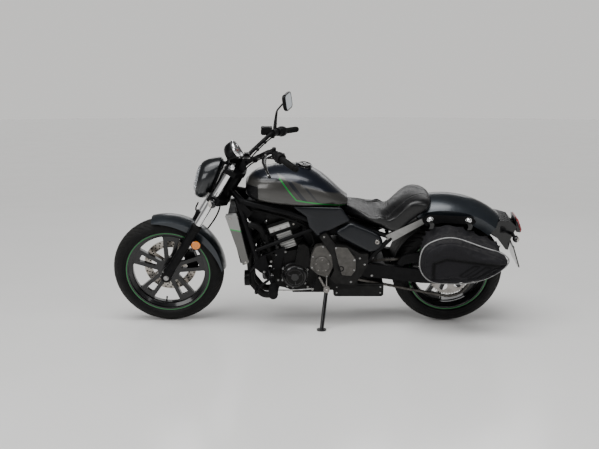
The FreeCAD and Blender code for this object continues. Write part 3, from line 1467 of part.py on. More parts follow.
def tail_section():
    """The black tail behind the fender with the number plate's holder."""
    side = sharp_slab(outline(tail_corner, tail_length, tail_height, tail_shares, -tail_half_width), 2 * tail_half_width)
    plan = [at(tail_corner[0] + tail_length * along, tail_half_width * wide, tail_corner[1]) for along, wide in tail_plan_shares]
    plan += [at(point.x, -point.y, point.z) for point in reversed(plan)]
    plan_block = Part.Face(Part.makePolygon(plan + [plan[0]])).extrude(at(0, 0, tail_height))
    body = side.common(plan_block)
    top, bottom = plate_top, plate_bottom
    holder = sharp_slab([at(top[0], -plate_arm_half_width, top[1]), at(top[0] - plate_backing, -plate_arm_half_width, top[1]),
                         at(tail_corner[0] + 0.7 * tail_length, -plate_arm_half_width, tail_corner[1] + plate_arm_half_width),
                         at(tail_corner[0] + 0.82 * tail_length, -plate_arm_half_width, tail_corner[1] + 2 * plate_arm_half_width)],
                        2 * plate_arm_half_width)
    backing = sharp_slab([at(top[0], -plate_half_width, top[1]), at(top[0] - plate_backing, -plate_half_width, top[1]),
                          at(bottom[0] - plate_backing, -plate_half_width, bottom[1]), at(bottom[0], -plate_half_width, bottom[1])],
                         2 * plate_half_width)
    return joined([body, holder, backing])


def number_plate():
    """The blank number plate on its holder."""
    top, bottom = plate_top, plate_bottom
    return sharp_slab([at(top[0], -plate_half_width, top[1]), at(bottom[0], -plate_half_width, bottom[1]),
                       at(bottom[0] + plate_thickness, -plate_half_width, bottom[1]),
                       at(top[0] + plate_thickness, -plate_half_width, top[1])], 2 * plate_half_width)


def rear_lamps():
    """The tail lamp and the two rear turn lamps on their stalks."""
    lamp = slab(outline(lamp_corner, lamp_length, lamp_height, lamp_shares, -lamp_half_width), lamp_round, 2 * lamp_half_width)
    shapes = [lamp]
    for side in (-1, 1):
        x, z = rear_signal_centre
        root_y = side * lamp_half_width
        mid_y = side * (tail_half_width + rear_signal_stalk)
        end_y = mid_y + side * rear_signal_length
        shapes.append(joined([rod(at(x, root_y, z), at(x, mid_y, z), signal_stalk_radius),
                              rod(at(x, mid_y, z), at(x, end_y, z), rear_signal_radius)]))
    return Part.makeCompound(shapes)


def bag_ring(y, share, lift, length_share):
    """One closed smooth station of a saddlebag."""
    middle_x = bag_corner[0] + bag_length / 2
    middle_z = bag_corner[1] + bag_height / 2
    places = []
    for along, up in bag_shares:
        x = middle_x + bag_length * (along - 0.5) * share * length_share
        z = middle_z + bag_height * (up - 0.5) * share
        places.append(at(x, y, z + lift * up))
    return smooth_ring(places)


def saddlebag(side):
    """A soft saddlebag: a body that swells from its inner wall to the lid, and the lid's bulged face."""
    rings = [bag_ring(side * bag_inner_y, 1.0, bag_inner_lift, bag_inner_length_share),
             bag_ring(side * bag_lid_y, 1.0, bead_seat, 1.0),
             bag_ring(side * bag_shoulder_y, bag_shoulder_share, bead_seat, 1.0),
             bag_ring(side * bag_outer_y, bag_face_share, bead_seat, 1.0)]
    return Part.makeLoft(rings, True, False)


# Rear suspension, drive and small parts

def swingarm():
    """Both arms, the bridge ahead of the wheel, the chain guard and the rear axle."""
    shapes = []
    for side in (-1, 1):
        arm = slab(outline(swingarm_corner, swingarm_length, swingarm_height, swingarm_shares), swingarm_round, side * swingarm_thickness)
        arm.translate(at(0, side * swingarm_inner_y, 0))
        shapes.append(arm)
    reach = swingarm_inner_y + swingarm_thickness / 2
    bridge = [at(swingarm_bridge_front + swingarm_bridge_length * a, -reach, swingarm_bridge_low + swingarm_bridge_height * b)
              for a, b in ((0, 0), (1, 0), (1, 1), (0, 1))]
    shapes.append(slab(bridge, swingarm_round, 2 * reach))
    guard = slab(outline(guard_corner, guard_length, guard_height, guard_shares), swingarm_round, guard_thickness)
    guard.translate(at(0, -guard_y - guard_thickness, 0))
    shapes.append(guard)
    end = swingarm_inner_y + swingarm_thickness + rear_nut_height
    x, z = rear_axle
    shapes.append(rod(at(x, -end, z), at(x, end, z), axle_radius))
    shapes.append(rod(at(x, -end, z), at(x, rear_nut_height - end, z), rear_nut_radius))
    shapes.append(rod(at(x, end - rear_nut_height, z), at(x, end, z), rear_nut_radius))
    return joined(shapes)


def chain_loop(extra):
    """The closed line round both sprockets at the chain's middle, grown by an extra height."""
    big = chain_pitch_radius + extra
    small = front_sprocket_radius + chain_half_height + extra
    rear = at(rear_axle[0], 0, rear_axle[1])
    front = at(front_sprocket_centre[0], 0, front_sprocket_centre[1])
    way = rear - front
    slope = math.atan2(way.z, way.x)
    spread = math.acos((small - big) / way.Length)

    def place(centre, radius, angle):
        return centre + at(radius * math.cos(angle), 0, radius * math.sin(angle))

    high = slope + spread
    low = slope - spread
    edges = [
        Part.LineSegment(place(front, small, high), place(rear, big, high)),
        Part.Arc(place(rear, big, high), place(rear, big, slope), place(rear, big, low)),
        Part.LineSegment(place(rear, big, low), place(front, small, low)),
        Part.Arc(place(front, small, low), place(front, small, slope + math.pi), place(front, small, high)),
    ]
    return Part.Wire([edge.toShape() for edge in edges])


def drive_chain():
    """The chain as one closed band round both sprockets, with the front sprocket inside it."""
    outer = Part.Face(chain_loop(chain_half_height)).extrude(at(0, 2 * chain_half_width, 0))
    inner = Part.Face(chain_loop(-chain_half_height)).extrude(at(0, 2 * chain_half_width, 0))
    band = outer.cut(inner)
    band.translate(at(0, -chain_y - chain_half_width, 0))
    x, z = front_sprocket_centre
    front = rod(at(x, -chain_y - sprocket_thickness, z), at(x, -case_half_width / 2, z), front_sprocket_radius)
    return joined([band, front])


def rear_sprocket():
    """The rear sprocket: teeth cut by a loop, lightening holes and a bored middle."""
    centre = at(rear_axle[0], 0, rear_axle[1])
    points = []
    step = 2 * math.pi / sprocket_tooth_count
    for i in range(sprocket_tooth_count):
        for share, radius in ((-0.32, rear_sprocket_root), (-0.12, rear_sprocket_radius), (0.12, rear_sprocket_radius),
                              (0.32, rear_sprocket_root)):
            angle = (i + share) * step
            points.append(centre + at(radius * math.cos(angle), 0, radius * math.sin(angle)))
    plate = sharp_slab(points, sprocket_thickness)
    cuts = [Part.makeCylinder(sprocket_bore_radius, sprocket_thickness, centre, at(0, 1, 0))]
    for i in range(sprocket_hole_count):
        turn = math.radians(rear_spoke_angle + i * 360.0 / sprocket_hole_count)
        place = centre + at(sprocket_hole_circle * math.cos(turn), 0, sprocket_hole_circle * math.sin(turn))
        cuts.append(Part.makeCylinder(sprocket_hole_radius, sprocket_thickness, place, at(0, 1, 0)))
    plate = plate.cut(cuts)
    plate.translate(at(0, -chain_y - sprocket_thickness / 2, 0))
    inner_y = -rear_hub_half_width
    outer_y = -chain_y + sprocket_thickness / 2
    carrier = wheel_turn([(sprocket_bore_radius, inner_y), (sprocket_carrier_radius, inner_y), (sprocket_carrier_radius, outer_y),
                          (sprocket_bore_radius, outer_y)], rear_axle)
    return joined([plate, carrier])


def rear_shock():
    """The laid-down shock on the right: body, spring turns and eyes."""
    top = at(*shock_top)
    bottom = at(*shock_bottom)
    way = bottom - top
    body = rod(top, bottom, shock_body_radius)
    turns = []
    direction = at(way.x, way.y, way.z)
    direction.normalize()
    for i in range(shock_coil_count):
        middle = top + way * ((i + 2.0) / (shock_coil_count + 3.0))
        turns.append(Part.makeTorus(shock_spring_radius - shock_wire_radius, shock_wire_radius, middle, direction))
    seats = [Part.makeCylinder(shock_spring_radius, shock_wire_radius, top + way * share, direction) for share in (0.12, 0.86)]
    return joined([body] + turns + seats)


def foot_controls():
    """Pegs on their arms, the gear pedal on the left and the brake pedal on the right."""
    shapes = []
    for side in (-1, 1):
        peg_root = at(peg_place[0], side * peg_inner_y, peg_place[1])
        peg = rod(peg_root, peg_root + at(0, side * peg_length, 0), peg_radius)
        inner = bracket_inner_y + bracket_thickness
        arm_root = at(bracket_corner[0] + 0.45 * bracket_length, side * inner, bracket_corner[1] + peg_arm_radius)
        elbow = peg_root + at(0, side * peg_arm_radius, 0)
        arm = rod(arm_root - at(0, side * bracket_thickness / 2, 0), elbow, peg_arm_radius)
        pivot = at(pedal_pivot[0], side * pedal_y, pedal_pivot[1])
        toe = at(pedal_toe[0], side * pedal_y, pedal_toe[1])
        blade = rod(pivot, toe, pedal_radius)
        pad = rod(toe, toe + at(0, side * pedal_toe_length, 0), pedal_toe_radius)
        link = rod(peg_root + at(0, side * pedal_radius, 0), pivot, pedal_radius)
        shapes.append(joined([peg, arm, blade, pad, link, Part.makeSphere(pedal_toe_radius, pivot)]))
    return Part.makeCompound(shapes)


def stand_axis():
    """The side stand's hinge axis: square to the leg and to the bike's length."""
    leg = at(0, stand_foot[1] - stand_pivot[1], stand_foot[2] - stand_pivot[2])
    leg.normalize()
    return leg.cross(at(1, 0, 0))


def stand_bracket():
    """The side stand's two ears and pin on the lower left of the engine."""
    pivot = at(*stand_pivot)
    axis = stand_axis()
    half = stand_boss_half_width + stand_ear_gap
    ears = []
    for start in (half, -half - stand_ear_thickness):
        ears.append(Part.makeCylinder(stand_boss_radius, stand_ear_thickness, pivot + axis * start, axis))
    reach = half + stand_ear_thickness + stand_pin_head
    pin = rod(pivot - axis * reach, pivot + axis * reach, stand_pin_radius)
    inner = pivot - axis * (half + stand_ear_thickness / 2)
    outer = pivot + axis * (half + stand_ear_thickness / 2)
    up = axis.cross(at(1, 0, 0)) * stand_ear_reach
    struts = [rod(place, place + up, stand_strut_radius) for place in (inner, outer)]
    root = at(inner.x, stand_ear_reach - case_half_width, inner.z + up.z)
    cross = rod(outer + up, root, stand_strut_radius)
    return joined(ears + [pin, cross] + struts)


def side_stand():
    """The stand's leg: bored boss, round leg and the pad that stands on the ground."""
    pivot = at(*stand_pivot)
    foot = at(*stand_foot)
    axis = stand_axis()
    boss = Part.makeCylinder(stand_boss_radius, 2 * stand_boss_half_width, pivot - axis * stand_boss_half_width, axis)
    bore = Part.makeCylinder(stand_pin_radius + stand_pin_clearance, 4 * stand_boss_half_width, pivot - axis * (2 * stand_boss_half_width), axis)
    leg = rod(pivot, foot, stand_leg_radius)
    turn = math.radians(lean_angle)
    up = at(0, math.sin(turn), math.cos(turn))
    ground = foot - up * (foot.dot(up))
    pad = Part.makeCylinder(stand_pad_radius, stand_pad_thickness, ground, up)
    below = Part.makeBox(8 * stand_pad_radius, 8 * stand_pad_radius, 4 * stand_pad_radius,
                         at(-4 * stand_pad_radius, -4 * stand_pad_radius, -4 * stand_pad_radius))
    below.rotate(at(0, 0, 0), at(1, 0, 0), -lean_angle)
    below.translate(ground)
    return joined([boss, leg, pad]).cut(bore).cut(below)


# Assembly: in each body a piece gives way to those listed before it

bodies = {
    "front_wheel": ["front_rim", "front_tyre", "front_disc"],
    "rear_wheel": ["rear_rim", "rear_tyre", "rear_disc", "rear_sprocket"],
    "side_stand": ["side_stand_leg"],
    "filler_lid": ["filler_cap"],
    "steering": ["fork_tubes", "fork_sliders", "fork_clamps", "handlebar", "grips", "hand_controls", "mirror", "headlight",
                 "headlight_lens", "speedometer", "front_fender", "front_caliper", "front_signals", "cables"],
    "frame": ["drive_chain", "crankcase", "cylinders", "engine_covers", "gearbox_cover", "sprocket_cover", "upper_frame",
              "lower_frame", "rear_frame", "fender_struts", "swingarm", "rear_caliper", "stand_bracket", "exhaust", "fuel_tank",
              "tank_trim", "rear_fender", "seat", "tail_section", "number_plate", "rear_lamps", "radiator", "radiator_shrouds",
              "side_panels", "inner_boxes", "inner_guard", "saddlebag_left", "saddlebag_right", "rear_shock", "horn",
              "foot_controls"],
}


def front_disc_y():
    """Inner face of the front disc, on the end of the hub."""
    return front_hub_half_width


def rear_disc_y():
    """Inner face of the rear disc, on the end of the hub."""
    return rear_hub_half_width


def raw_pieces():
    """Every piece of the motorcycle in the upright bike frame, before pieces give way to each other."""
    return {
        "front_rim": rim(front_axle, front_bead_radius, front_bead_half_width, front_hub_half_width, front_spoke_angle),
        "front_tyre": tyre(front_axle, front_tyre_radius, front_tyre_half_width, front_shoulder_drop, front_bead_radius,
                           front_bead_half_width),
        "front_disc": brake_disc(front_axle, front_disc_radius, front_disc_band, front_disc_y()),
        "rear_rim": rim(rear_axle, rear_bead_radius, rear_bead_half_width, rear_hub_half_width, rear_spoke_angle),
        "rear_tyre": tyre(rear_axle, rear_tyre_radius, rear_tyre_half_width, rear_shoulder_drop, rear_bead_radius,
                          rear_bead_half_width),
        "rear_disc": brake_disc(rear_axle, rear_disc_radius, rear_disc_band, rear_disc_y()),
        "rear_sprocket": rear_sprocket(),
        "side_stand_leg": side_stand(),
        "filler_cap": filler_cap(),
        "fork_tubes": fork_tubes(),
        "fork_sliders": fork_sliders(),
        "fork_clamps": fork_clamps(),
        "handlebar": handlebar(),
        "grips": grips(),
        "hand_controls": hand_controls(),
        "mirror": mirror(),
        "headlight": headlight(),
        "headlight_lens": headlight_lens(),
        "speedometer": speedometer(),
        "front_fender": front_fender(),
        "front_caliper": front_caliper(),
        "front_signals": front_signals(),
        "cables": cables(),
        "drive_chain": drive_chain(),
        "crankcase": crankcase(),
        "cylinders": cylinders(),
        "engine_covers": engine_covers(),
        "gearbox_cover": gearbox_cover(),
        "sprocket_cover": sprocket_cover(),
        "upper_frame": upper_frame(),
        "lower_frame": lower_frame(),
        "rear_frame": rear_frame(),
        "fender_struts": fender_struts(),
        "swingarm": swingarm(),
        "rear_caliper": caliper(rear_axle, rear_disc_radius, rear_disc_band, rear_disc_y(), rear_caliper_angle),
        "stand_bracket": stand_bracket(),
        "exhaust": exhaust(),
        "fuel_tank": fuel_tank(),
        "tank_trim": tank_trim(),
        "rear_fender": rear_fender(),
        "seat": seat(),
        "tail_section": tail_section(),
        "number_plate": number_plate(),
        "rear_lamps": rear_lamps(),
        "radiator": radiator(),
        "radiator_shrouds": radiator_shrouds(),
        "side_panels": side_panels(),
        "inner_boxes": inner_boxes(),
        "inner_guard": inner_guard(),
        "saddlebag_left": saddlebag(-1),
        "saddlebag_right": saddlebag(1),
        "rear_shock": rear_shock(),
        "horn": horn(),
        "foot_controls": foot_controls(),
    }


def boxes_meet(first, second):
    """Whether the bounding boxes of two shapes overlap."""
    return first.BoundBox.intersect(second.BoundBox)


def carved(shape, holders):
    """The shape with what it shares with earlier pieces taken away, and its crumbs dropped."""
    solids = []
    for solid in shape.Solids:
        near = [other for holder in holders for other in holder.Solids if boxes_meet(solid, other)]
        rest = solid.cut(near) if near else solid
        largest = max(piece.Volume for piece in rest.Solids)
        solids += [piece for piece in rest.Solids if piece.Volume > max(smallest_piece, largest / 20)]
    return solids[0] if len(solids) == 1 else Part.makeCompound(solids)


def pieces():
    """Every node's shape in the upright bike frame, none overlapping another of its own body."""
    raw = raw_pieces()
    shapes = {}
    for names in bodies.values():
        done = []
        for name in names:
            shapes[name] = carved(raw[name], done)
            done.append(shapes[name])
    return shapes


def main():
    """Write one STEP file for each node, leaned and in the row's frame."""
    os.makedirs("parts", exist_ok=True)
    for name, shape in pieces().items():
        settle(shape).exportStep("parts/" + name + ".step")


if __name__ == "__main__":
    main()
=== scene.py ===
"""Looks of a cruiser motorcycle on its side stand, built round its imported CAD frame.

Lengths in the classes are millimetres of the upright bike: X rearward from the front axle, Y to the bike's
right, Z up from the ground. BikeSpace leans them onto the side stand and turns them into the row's metres.
"""

import json
import logging
import math
from dataclasses import dataclass
from enum import Enum
from typing import Callable, Optional, Sequence, Union

import bmesh
import bpy
import numpy as np
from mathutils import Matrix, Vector

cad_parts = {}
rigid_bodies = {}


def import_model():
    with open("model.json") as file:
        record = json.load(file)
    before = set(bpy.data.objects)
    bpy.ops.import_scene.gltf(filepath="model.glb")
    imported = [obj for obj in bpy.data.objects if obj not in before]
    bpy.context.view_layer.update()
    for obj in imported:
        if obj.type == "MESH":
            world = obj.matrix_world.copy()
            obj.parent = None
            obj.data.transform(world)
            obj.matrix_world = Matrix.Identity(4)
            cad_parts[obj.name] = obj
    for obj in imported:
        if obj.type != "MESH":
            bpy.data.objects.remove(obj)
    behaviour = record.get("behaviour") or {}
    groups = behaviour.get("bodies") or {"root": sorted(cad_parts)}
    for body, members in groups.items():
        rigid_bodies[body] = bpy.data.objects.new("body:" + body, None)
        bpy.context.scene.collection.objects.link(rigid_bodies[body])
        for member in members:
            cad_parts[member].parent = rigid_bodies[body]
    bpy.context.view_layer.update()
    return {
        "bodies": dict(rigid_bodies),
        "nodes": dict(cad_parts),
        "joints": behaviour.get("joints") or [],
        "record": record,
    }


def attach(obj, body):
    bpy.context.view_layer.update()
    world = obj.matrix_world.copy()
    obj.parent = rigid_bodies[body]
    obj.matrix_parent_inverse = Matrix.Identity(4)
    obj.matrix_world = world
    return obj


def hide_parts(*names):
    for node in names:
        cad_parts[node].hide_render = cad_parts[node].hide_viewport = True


log = logging.getLogger("motorcycle")
Colour = tuple[float, float, float]
Point = tuple[float, float, float]
Flat = tuple[float, float]
Socket = bpy.types.NodeSocket
Value = Union[float, Socket]

FRONT_AXLE: Flat = (0.0, 313.87)
REAR_AXLE: Flat = (1575.0, 313.85)
RAKE_DEG = 31.0


class Body(Enum):
    """The CAD bodies that pieces ride on."""

    FRAME = "frame"
    STEERING = "steering"
    FRONT_WHEEL = "front_wheel"
    REAR_WHEEL = "rear_wheel"
    STAND = "side_stand"
    LID = "filler_lid"


class Slot(Enum):
    """The record's material slots."""

    TYRE = "tyre"
    WHEEL = "wheel_black"
    FRAME = "frame_black"
    GRAPHITE = "graphite"
    CHROME = "chrome"
    STEEL = "steel"
    ALLOY = "alloy"
    ENGINE = "engine_dark"
    PLASTIC = "black_plastic"
    GLOSS = "gloss_plastic"
    RUBBER = "rubber"
    VINYL = "vinyl"
    CLOTH = "bag_cloth"
    LENS = "lens"
    RED = "red_lens"
    AMBER = "amber"


# Space and surfaces


@dataclass(frozen=True)
class BikeSpace:
    """The upright bike's frame, leaned to the left and moved to the row's origin."""

    shift: Point
    lean_deg: float = 12.0

    @property
    def lean(self) -> float:
        """The lean in radians."""
        return math.radians(self.lean_deg)

    @classmethod
    def from_joint(cls, front_axle: Point, lean_deg: float = 12.0) -> "BikeSpace":
        """The space whose front axle lies at a joint's place in the row.

        Args:
            front_axle: the front wheel's joint in the row's metres.
            lean_deg: the lean on the stand.

        Returns:
            The space; its shift is the axle less the leaned upright axle, which has x = 0 and y = 0.
        """
        turn = math.radians(lean_deg)
        across = front_axle[2] * math.tan(turn)
        return cls((front_axle[0] * 1000, (front_axle[1] + across) * 1000, 0.0), lean_deg)

    def row(self, points: np.ndarray) -> np.ndarray:
        """Row metres of upright millimetres: y' = y cos a - z sin a, z' = y sin a + z cos a, then the shift."""
        p = np.asarray(points, float)
        c, s = math.cos(self.lean), math.sin(self.lean)
        leaned = np.stack([p[..., 0], p[..., 1] * c - p[..., 2] * s, p[..., 1] * s + p[..., 2] * c], -1)
        return (leaned + np.array(self.shift)) / 1000

    def upright(self, points: np.ndarray) -> np.ndarray:
        """Upright millimetres of row metres, the inverse of row."""
        p = np.asarray(points, float) * 1000 - np.array(self.shift)
        return self.unleaned(p)

    def unleaned(self, ways: np.ndarray) -> np.ndarray:
        """Directions of the row turned back to the upright bike."""
        c, s = math.cos(self.lean), math.sin(self.lean)
        return np.stack([ways[..., 0], ways[..., 1] * c + ways[..., 2] * s, ways[..., 2] * c - ways[..., 1] * s], -1)


def unit(ways: np.ndarray) -> np.ndarray:
    """Ways divided by their lengths."""
    ways = np.asarray(ways, float)
    return ways / np.maximum(np.linalg.norm(ways, axis=-1, keepdims=True), 1e-12)


def eased(x: np.ndarray) -> np.ndarray:
    """The smooth step 3x^2 - 2x^3 of x held between 0 and 1."""
    x = np.clip(x, 0, 1)
    return x * x * (3 - 2 * x)


@dataclass
class Skin:
    """Points and faces of a surface before it becomes a mesh."""

    points: np.ndarray
    faces: list

    def __add__(self, other: "Skin") -> "Skin":
        """Both surfaces in one, the second's indices moved past the first's."""
        start = len(self.points)
        return Skin(np.vstack([self.points, other.points]),
                    self.faces + [[i + start for i in face] for face in other.faces])

    def moved(self, *way: float) -> "Skin":
        """The surface moved along a way."""
        return Skin(self.points + np.array(way), self.faces)

    def mirrored(self) -> "Skin":
        """The surface on the other side of the bike."""
        return Skin(self.points * np.array([1, -1, 1]), self.faces)

    def both(self) -> "Skin":
        """The surface and its twin on the other side."""
        return self + self.mirrored()

    def turned(self, centre: Flat, degrees: Union[float, Sequence[float]]) -> "Skin":
        """Copies turned about the Y axis through a centre in XZ, from rearward towards up: x' = x cos a - z sin a."""
        angles = np.radians(np.atleast_1d(degrees))
        p = self.points - np.array([centre[0], 0, centre[1]])
        c, s = np.cos(angles)[:, None], np.sin(angles)[:, None]
        spun = np.stack([p[:, 0] * c - p[:, 2] * s, np.broadcast_to(p[:, 1], (len(angles), len(p))),
                         p[:, 0] * s + p[:, 2] * c], -1)
        return copies(self, spun + np.array([centre[0], 0, centre[1]]))


def copies(skin: Skin, grids: np.ndarray) -> Skin:
    """One surface from copies of a skin, whose points are the rows of grids."""
    count, size = grids.shape[:2]
    faces = [[i + size * k for i in face] for k in range(count) for face in skin.faces]
    return Skin(grids.reshape(-1, 3), faces)


def all_of(skins: Sequence[Skin]) -> Skin:
    """Several surfaces in one."""
    starts = np.cumsum([0] + [len(skin.points) for skin in skins])
    faces = [[i + int(start) for i in face] for skin, start in zip(skins, starts) for face in skin.faces]
    return Skin(np.vstack([skin.points for skin in skins]), faces)


def woven(grid: np.ndarray, wrap_rows: bool = False, wrap_columns: bool = True, caps: bool = False) -> Skin:
    """A surface over a grid of points (rows, columns, 3), closed round its rows or columns where asked.

    Args:
        grid: the points.
        wrap_rows: whether the last row joins the first.
        wrap_columns: whether the last column joins the first.
        caps: whether the first and last rows are closed by a face.

    Returns:
        The surface.
    """
    rows, columns = grid.shape[:2]
    index = np.arange(rows * columns).reshape(rows, columns)
    first, last = index[0], index[-1]
    if wrap_columns:
        index = np.hstack([index, index[:, :1]])
    if wrap_rows:
        index = np.vstack([index, index[:1]])
    quads = np.stack([index[:-1, :-1], index[:-1, 1:], index[1:, 1:], index[1:, :-1]], -1).reshape(-1, 4)
    faces = quads.tolist()
    if caps:
        faces += [first[::-1].tolist(), last.tolist()]
    return Skin(grid.reshape(-1, 3), faces)


def lathe(base: Point, axis: Point, profile: Sequence[Flat], sides: int = 32) -> Skin:
    """A profile of (distance, radius) pairs turned about an axis: p = base + d a + r (u cos t + v sin t)."""
    a = unit(np.array(axis, float))
    helper = np.array([0.0, 0.0, 1.0]) if abs(a[2]) < 0.9 else np.array([1.0, 0.0, 0.0])
    u = unit(np.cross(a, helper))
    v = np.cross(a, u)
    turn = np.linspace(0, 2 * np.pi, sides, endpoint=False)
    ring = np.cos(turn)[:, None] * u + np.sin(turn)[:, None] * v
    along, radius = np.array(profile, float).T
    grid = np.array(base, float) + along[:, None, None] * a + radius[:, None, None] * ring
    return woven(grid, caps=True)


def sweep(path: np.ndarray, radius: Union[float, np.ndarray], sides: int = 12, up: Point = (0, 1, 0),
          squash: float = 1.0,
          closed: bool = False) -> Skin:
    """A tube along a path: at each point a ring r (n cos t + k b sin t), n square to the way and to up, b to both."""
    path = np.asarray(path, float)
    if closed:
        tangent = unit(np.roll(path, -1, 0) - np.roll(path, 1, 0))
    else:
        tangent = unit(np.gradient(path, axis=0))
    n = unit(np.cross(tangent, np.array(up, float)))
    b = np.cross(tangent, n)
    turn = np.linspace(0, 2 * np.pi, sides, endpoint=False)
    size = np.broadcast_to(np.asarray(radius, float), (len(path),))[:, None, None]
    ring = np.cos(turn)[None, :, None] * n[:, None] + squash * np.sin(turn)[None, :, None] * b[:, None]
    return woven(path[:, None] + size * ring, wrap_rows=closed, caps=not closed)


def rounded(outline: Sequence[Flat], radius: float, samples: int = 5) -> np.ndarray:
    """A closed outline with its corners c turned by (1-t)^2 s + 2t(1-t) c + t^2 e between tangent points s and e."""
    p = np.asarray(outline, float)
    before, after = np.roll(p, 1, 0) - p, np.roll(p, -1, 0) - p
    length_b, length_a = np.linalg.norm(before, axis=1), np.linalg.norm(after, axis=1)
    cosine = np.clip((before * after).sum(1) / (length_b * length_a), -0.9999, 0.9999)
    reach = np.minimum(radius / np.tan(np.arccos(cosine) / 2), 0.45 * np.minimum(length_b, length_a))
    start, end = p + before * (reach / length_b)[:, None], p + after * (reach / length_a)[:, None]
    t = np.linspace(0, 1, samples)[None, :, None]
    curve = (1 - t) ** 2 * start[:, None] + 2 * t * (1 - t) * p[:, None] + t ** 2 * end[:, None]
    return curve.reshape(-1, 2)


def shrunk(outline: np.ndarray, amount: float) -> np.ndarray:
    """A closed outline moved inwards by an amount along the mean of its neighbours' normals."""
    way = unit(np.roll(outline, -1, 0) - np.roll(outline, 1, 0))
    normal = np.stack([-way[:, 1], way[:, 0]], 1)
    x, z = outline.T
    area = (x * np.roll(z, -1) - np.roll(x, -1) * z).sum()
    return outline + normal * amount * (1 if area > 0 else -1)


def plate(outline: Sequence[Flat], y0: float, y1: float, corner: float = 0.0, edge: float = 0.0) -> Skin:
    """A plate whose outline lies in XZ, from y0 to y1, with rounded corners and an edge eased on the y1 side."""
    ring = rounded(outline, corner) if corner else np.asarray(outline, float)
    levels = [(y0, 0.0)]
    if edge:
        way = 1 if y1 > y0 else -1
        turns = np.linspace(0, math.pi / 2, 4)
        levels += [(y1 - way * edge * (1 - math.sin(a)), edge * (1 - math.cos(a))) for a in turns]
    else:
        levels.append((y1, 0.0))
    rows = [np.insert(shrunk(ring, inset), 1, y, axis=1) for y, inset in levels]
    return woven(np.array(rows), caps=True)


def crowned(rings: np.ndarray, middle: Flat, levels: Sequence[Flat]) -> Skin:
    """A cover over an outline in XZ: p = m + (o - m) s at depth y, one ring for each level (y, s), closed by caps."""
    centre = np.array(middle)
    return woven(np.array([np.insert(centre + (rings - centre) * s, 1, y, axis=1) for y, s in levels]), caps=True)


def shares(corner: Flat, length: float, height: float, parts: Sequence[Flat]) -> np.ndarray:
    """An outline whose points are shares of a box with a named lower front corner."""
    return np.array(corner) + np.array(parts) * np.array([length, height])


def on_circle(centre: Flat, radius: float, y: float, degrees: Sequence[float]) -> np.ndarray:
    """Places on a circle about the Y axis: (x + r cos a, y, z + r sin a)."""
    a = np.radians(degrees)
    return np.stack([centre[0] + radius * np.cos(a), np.full(len(a), y), centre[1] + radius * np.sin(a)], 1)


def lathes(places: Sequence[Point], axis: Point, profile: Sequence[Flat], sides: int = 32) -> Skin:
    """One turned form copied to each place."""
    form = lathe((0, 0, 0), axis, profile, sides)
    return copies(form, np.array(places, float)[:, None, :] + form.points[None])


def eased_block(outline: Sequence[Flat], half: float, corner: float, edge: float) -> Skin:
    """A block over an XZ outline: rows of it, rounded, shrunk by the edge's quarter circle at each side."""
    ring = rounded(outline, corner)
    near = [(half - edge * (1 - math.sin(a)), edge * (1 - math.cos(a))) for a in np.linspace(0, np.pi / 2, 5)]
    levels = [(-y, inset) for y, inset in near[::-1]] + near
    return woven(np.array([np.insert(shrunk(ring, inset), 1, y, axis=1) for y, inset in levels]), caps=True)


def bezier(knots: Sequence[Point], count: int) -> np.ndarray:
    """A path drawn by its knots k: B(t) is the sum of C(n, i) t^i (1 - t)^(n - i) k_i."""
    t = np.linspace(0, 1, count)[:, None]
    n = len(knots) - 1
    return sum(math.comb(n, i) * t ** i * (1 - t) ** (n - i) * np.array(knot) for i, knot in enumerate(knots))


def helix(top: np.ndarray, bottom: np.ndarray, span: Flat, radius: float, coils: float, count: int) -> np.ndarray:
    """A wire's path round the line from top to bottom.

    Args:
        top: the line's start.
        bottom: its end.
        span: the shares a and b of the line between which the wire is wound.
        radius: the coil's radius.
        coils: how many turns.
        count: how many samples.

    Returns:
        p = top + way (a + (b - a) t) + r (u cos 2 pi n t + v sin 2 pi n t), t from 0 to 1.
    """
    way = bottom - top
    u = unit(np.cross(unit(way), (0, 1, 0)))
    v = np.cross(unit(way), u)
    t = np.linspace(0, 1, count)[:, None]
    turn = 2 * np.pi * coils * t
    return top + way * (span[0] + (span[1] - span[0]) * t) + radius * (np.cos(turn) * u + np.sin(turn) * v)


def bolts(places: Sequence[Point], axis: Point, across: float = 10.0, height: float = 5.0, sides: int = 6) -> Skin:
    """Bolt heads with washers: a turned head with an eased rim and a sunk middle, copied to each place."""
    r = across / 2
    washer = lathe((0, 0, 0), axis, [(-1.0, r * 1.45), (0.8, r * 1.45), (1.0, r * 1.3)], 20)
    head = lathe((0, 0, 0), axis,
                 [(0.9, r * 1.1), (height * 0.8, r * 1.1), (height, r * 0.92), (height, r * 0.5),
                  (height * 0.7, r * 0.42)], sides)
    both = washer + head
    return copies(both, np.array(places, float)[:, None, :] + both.points[None])


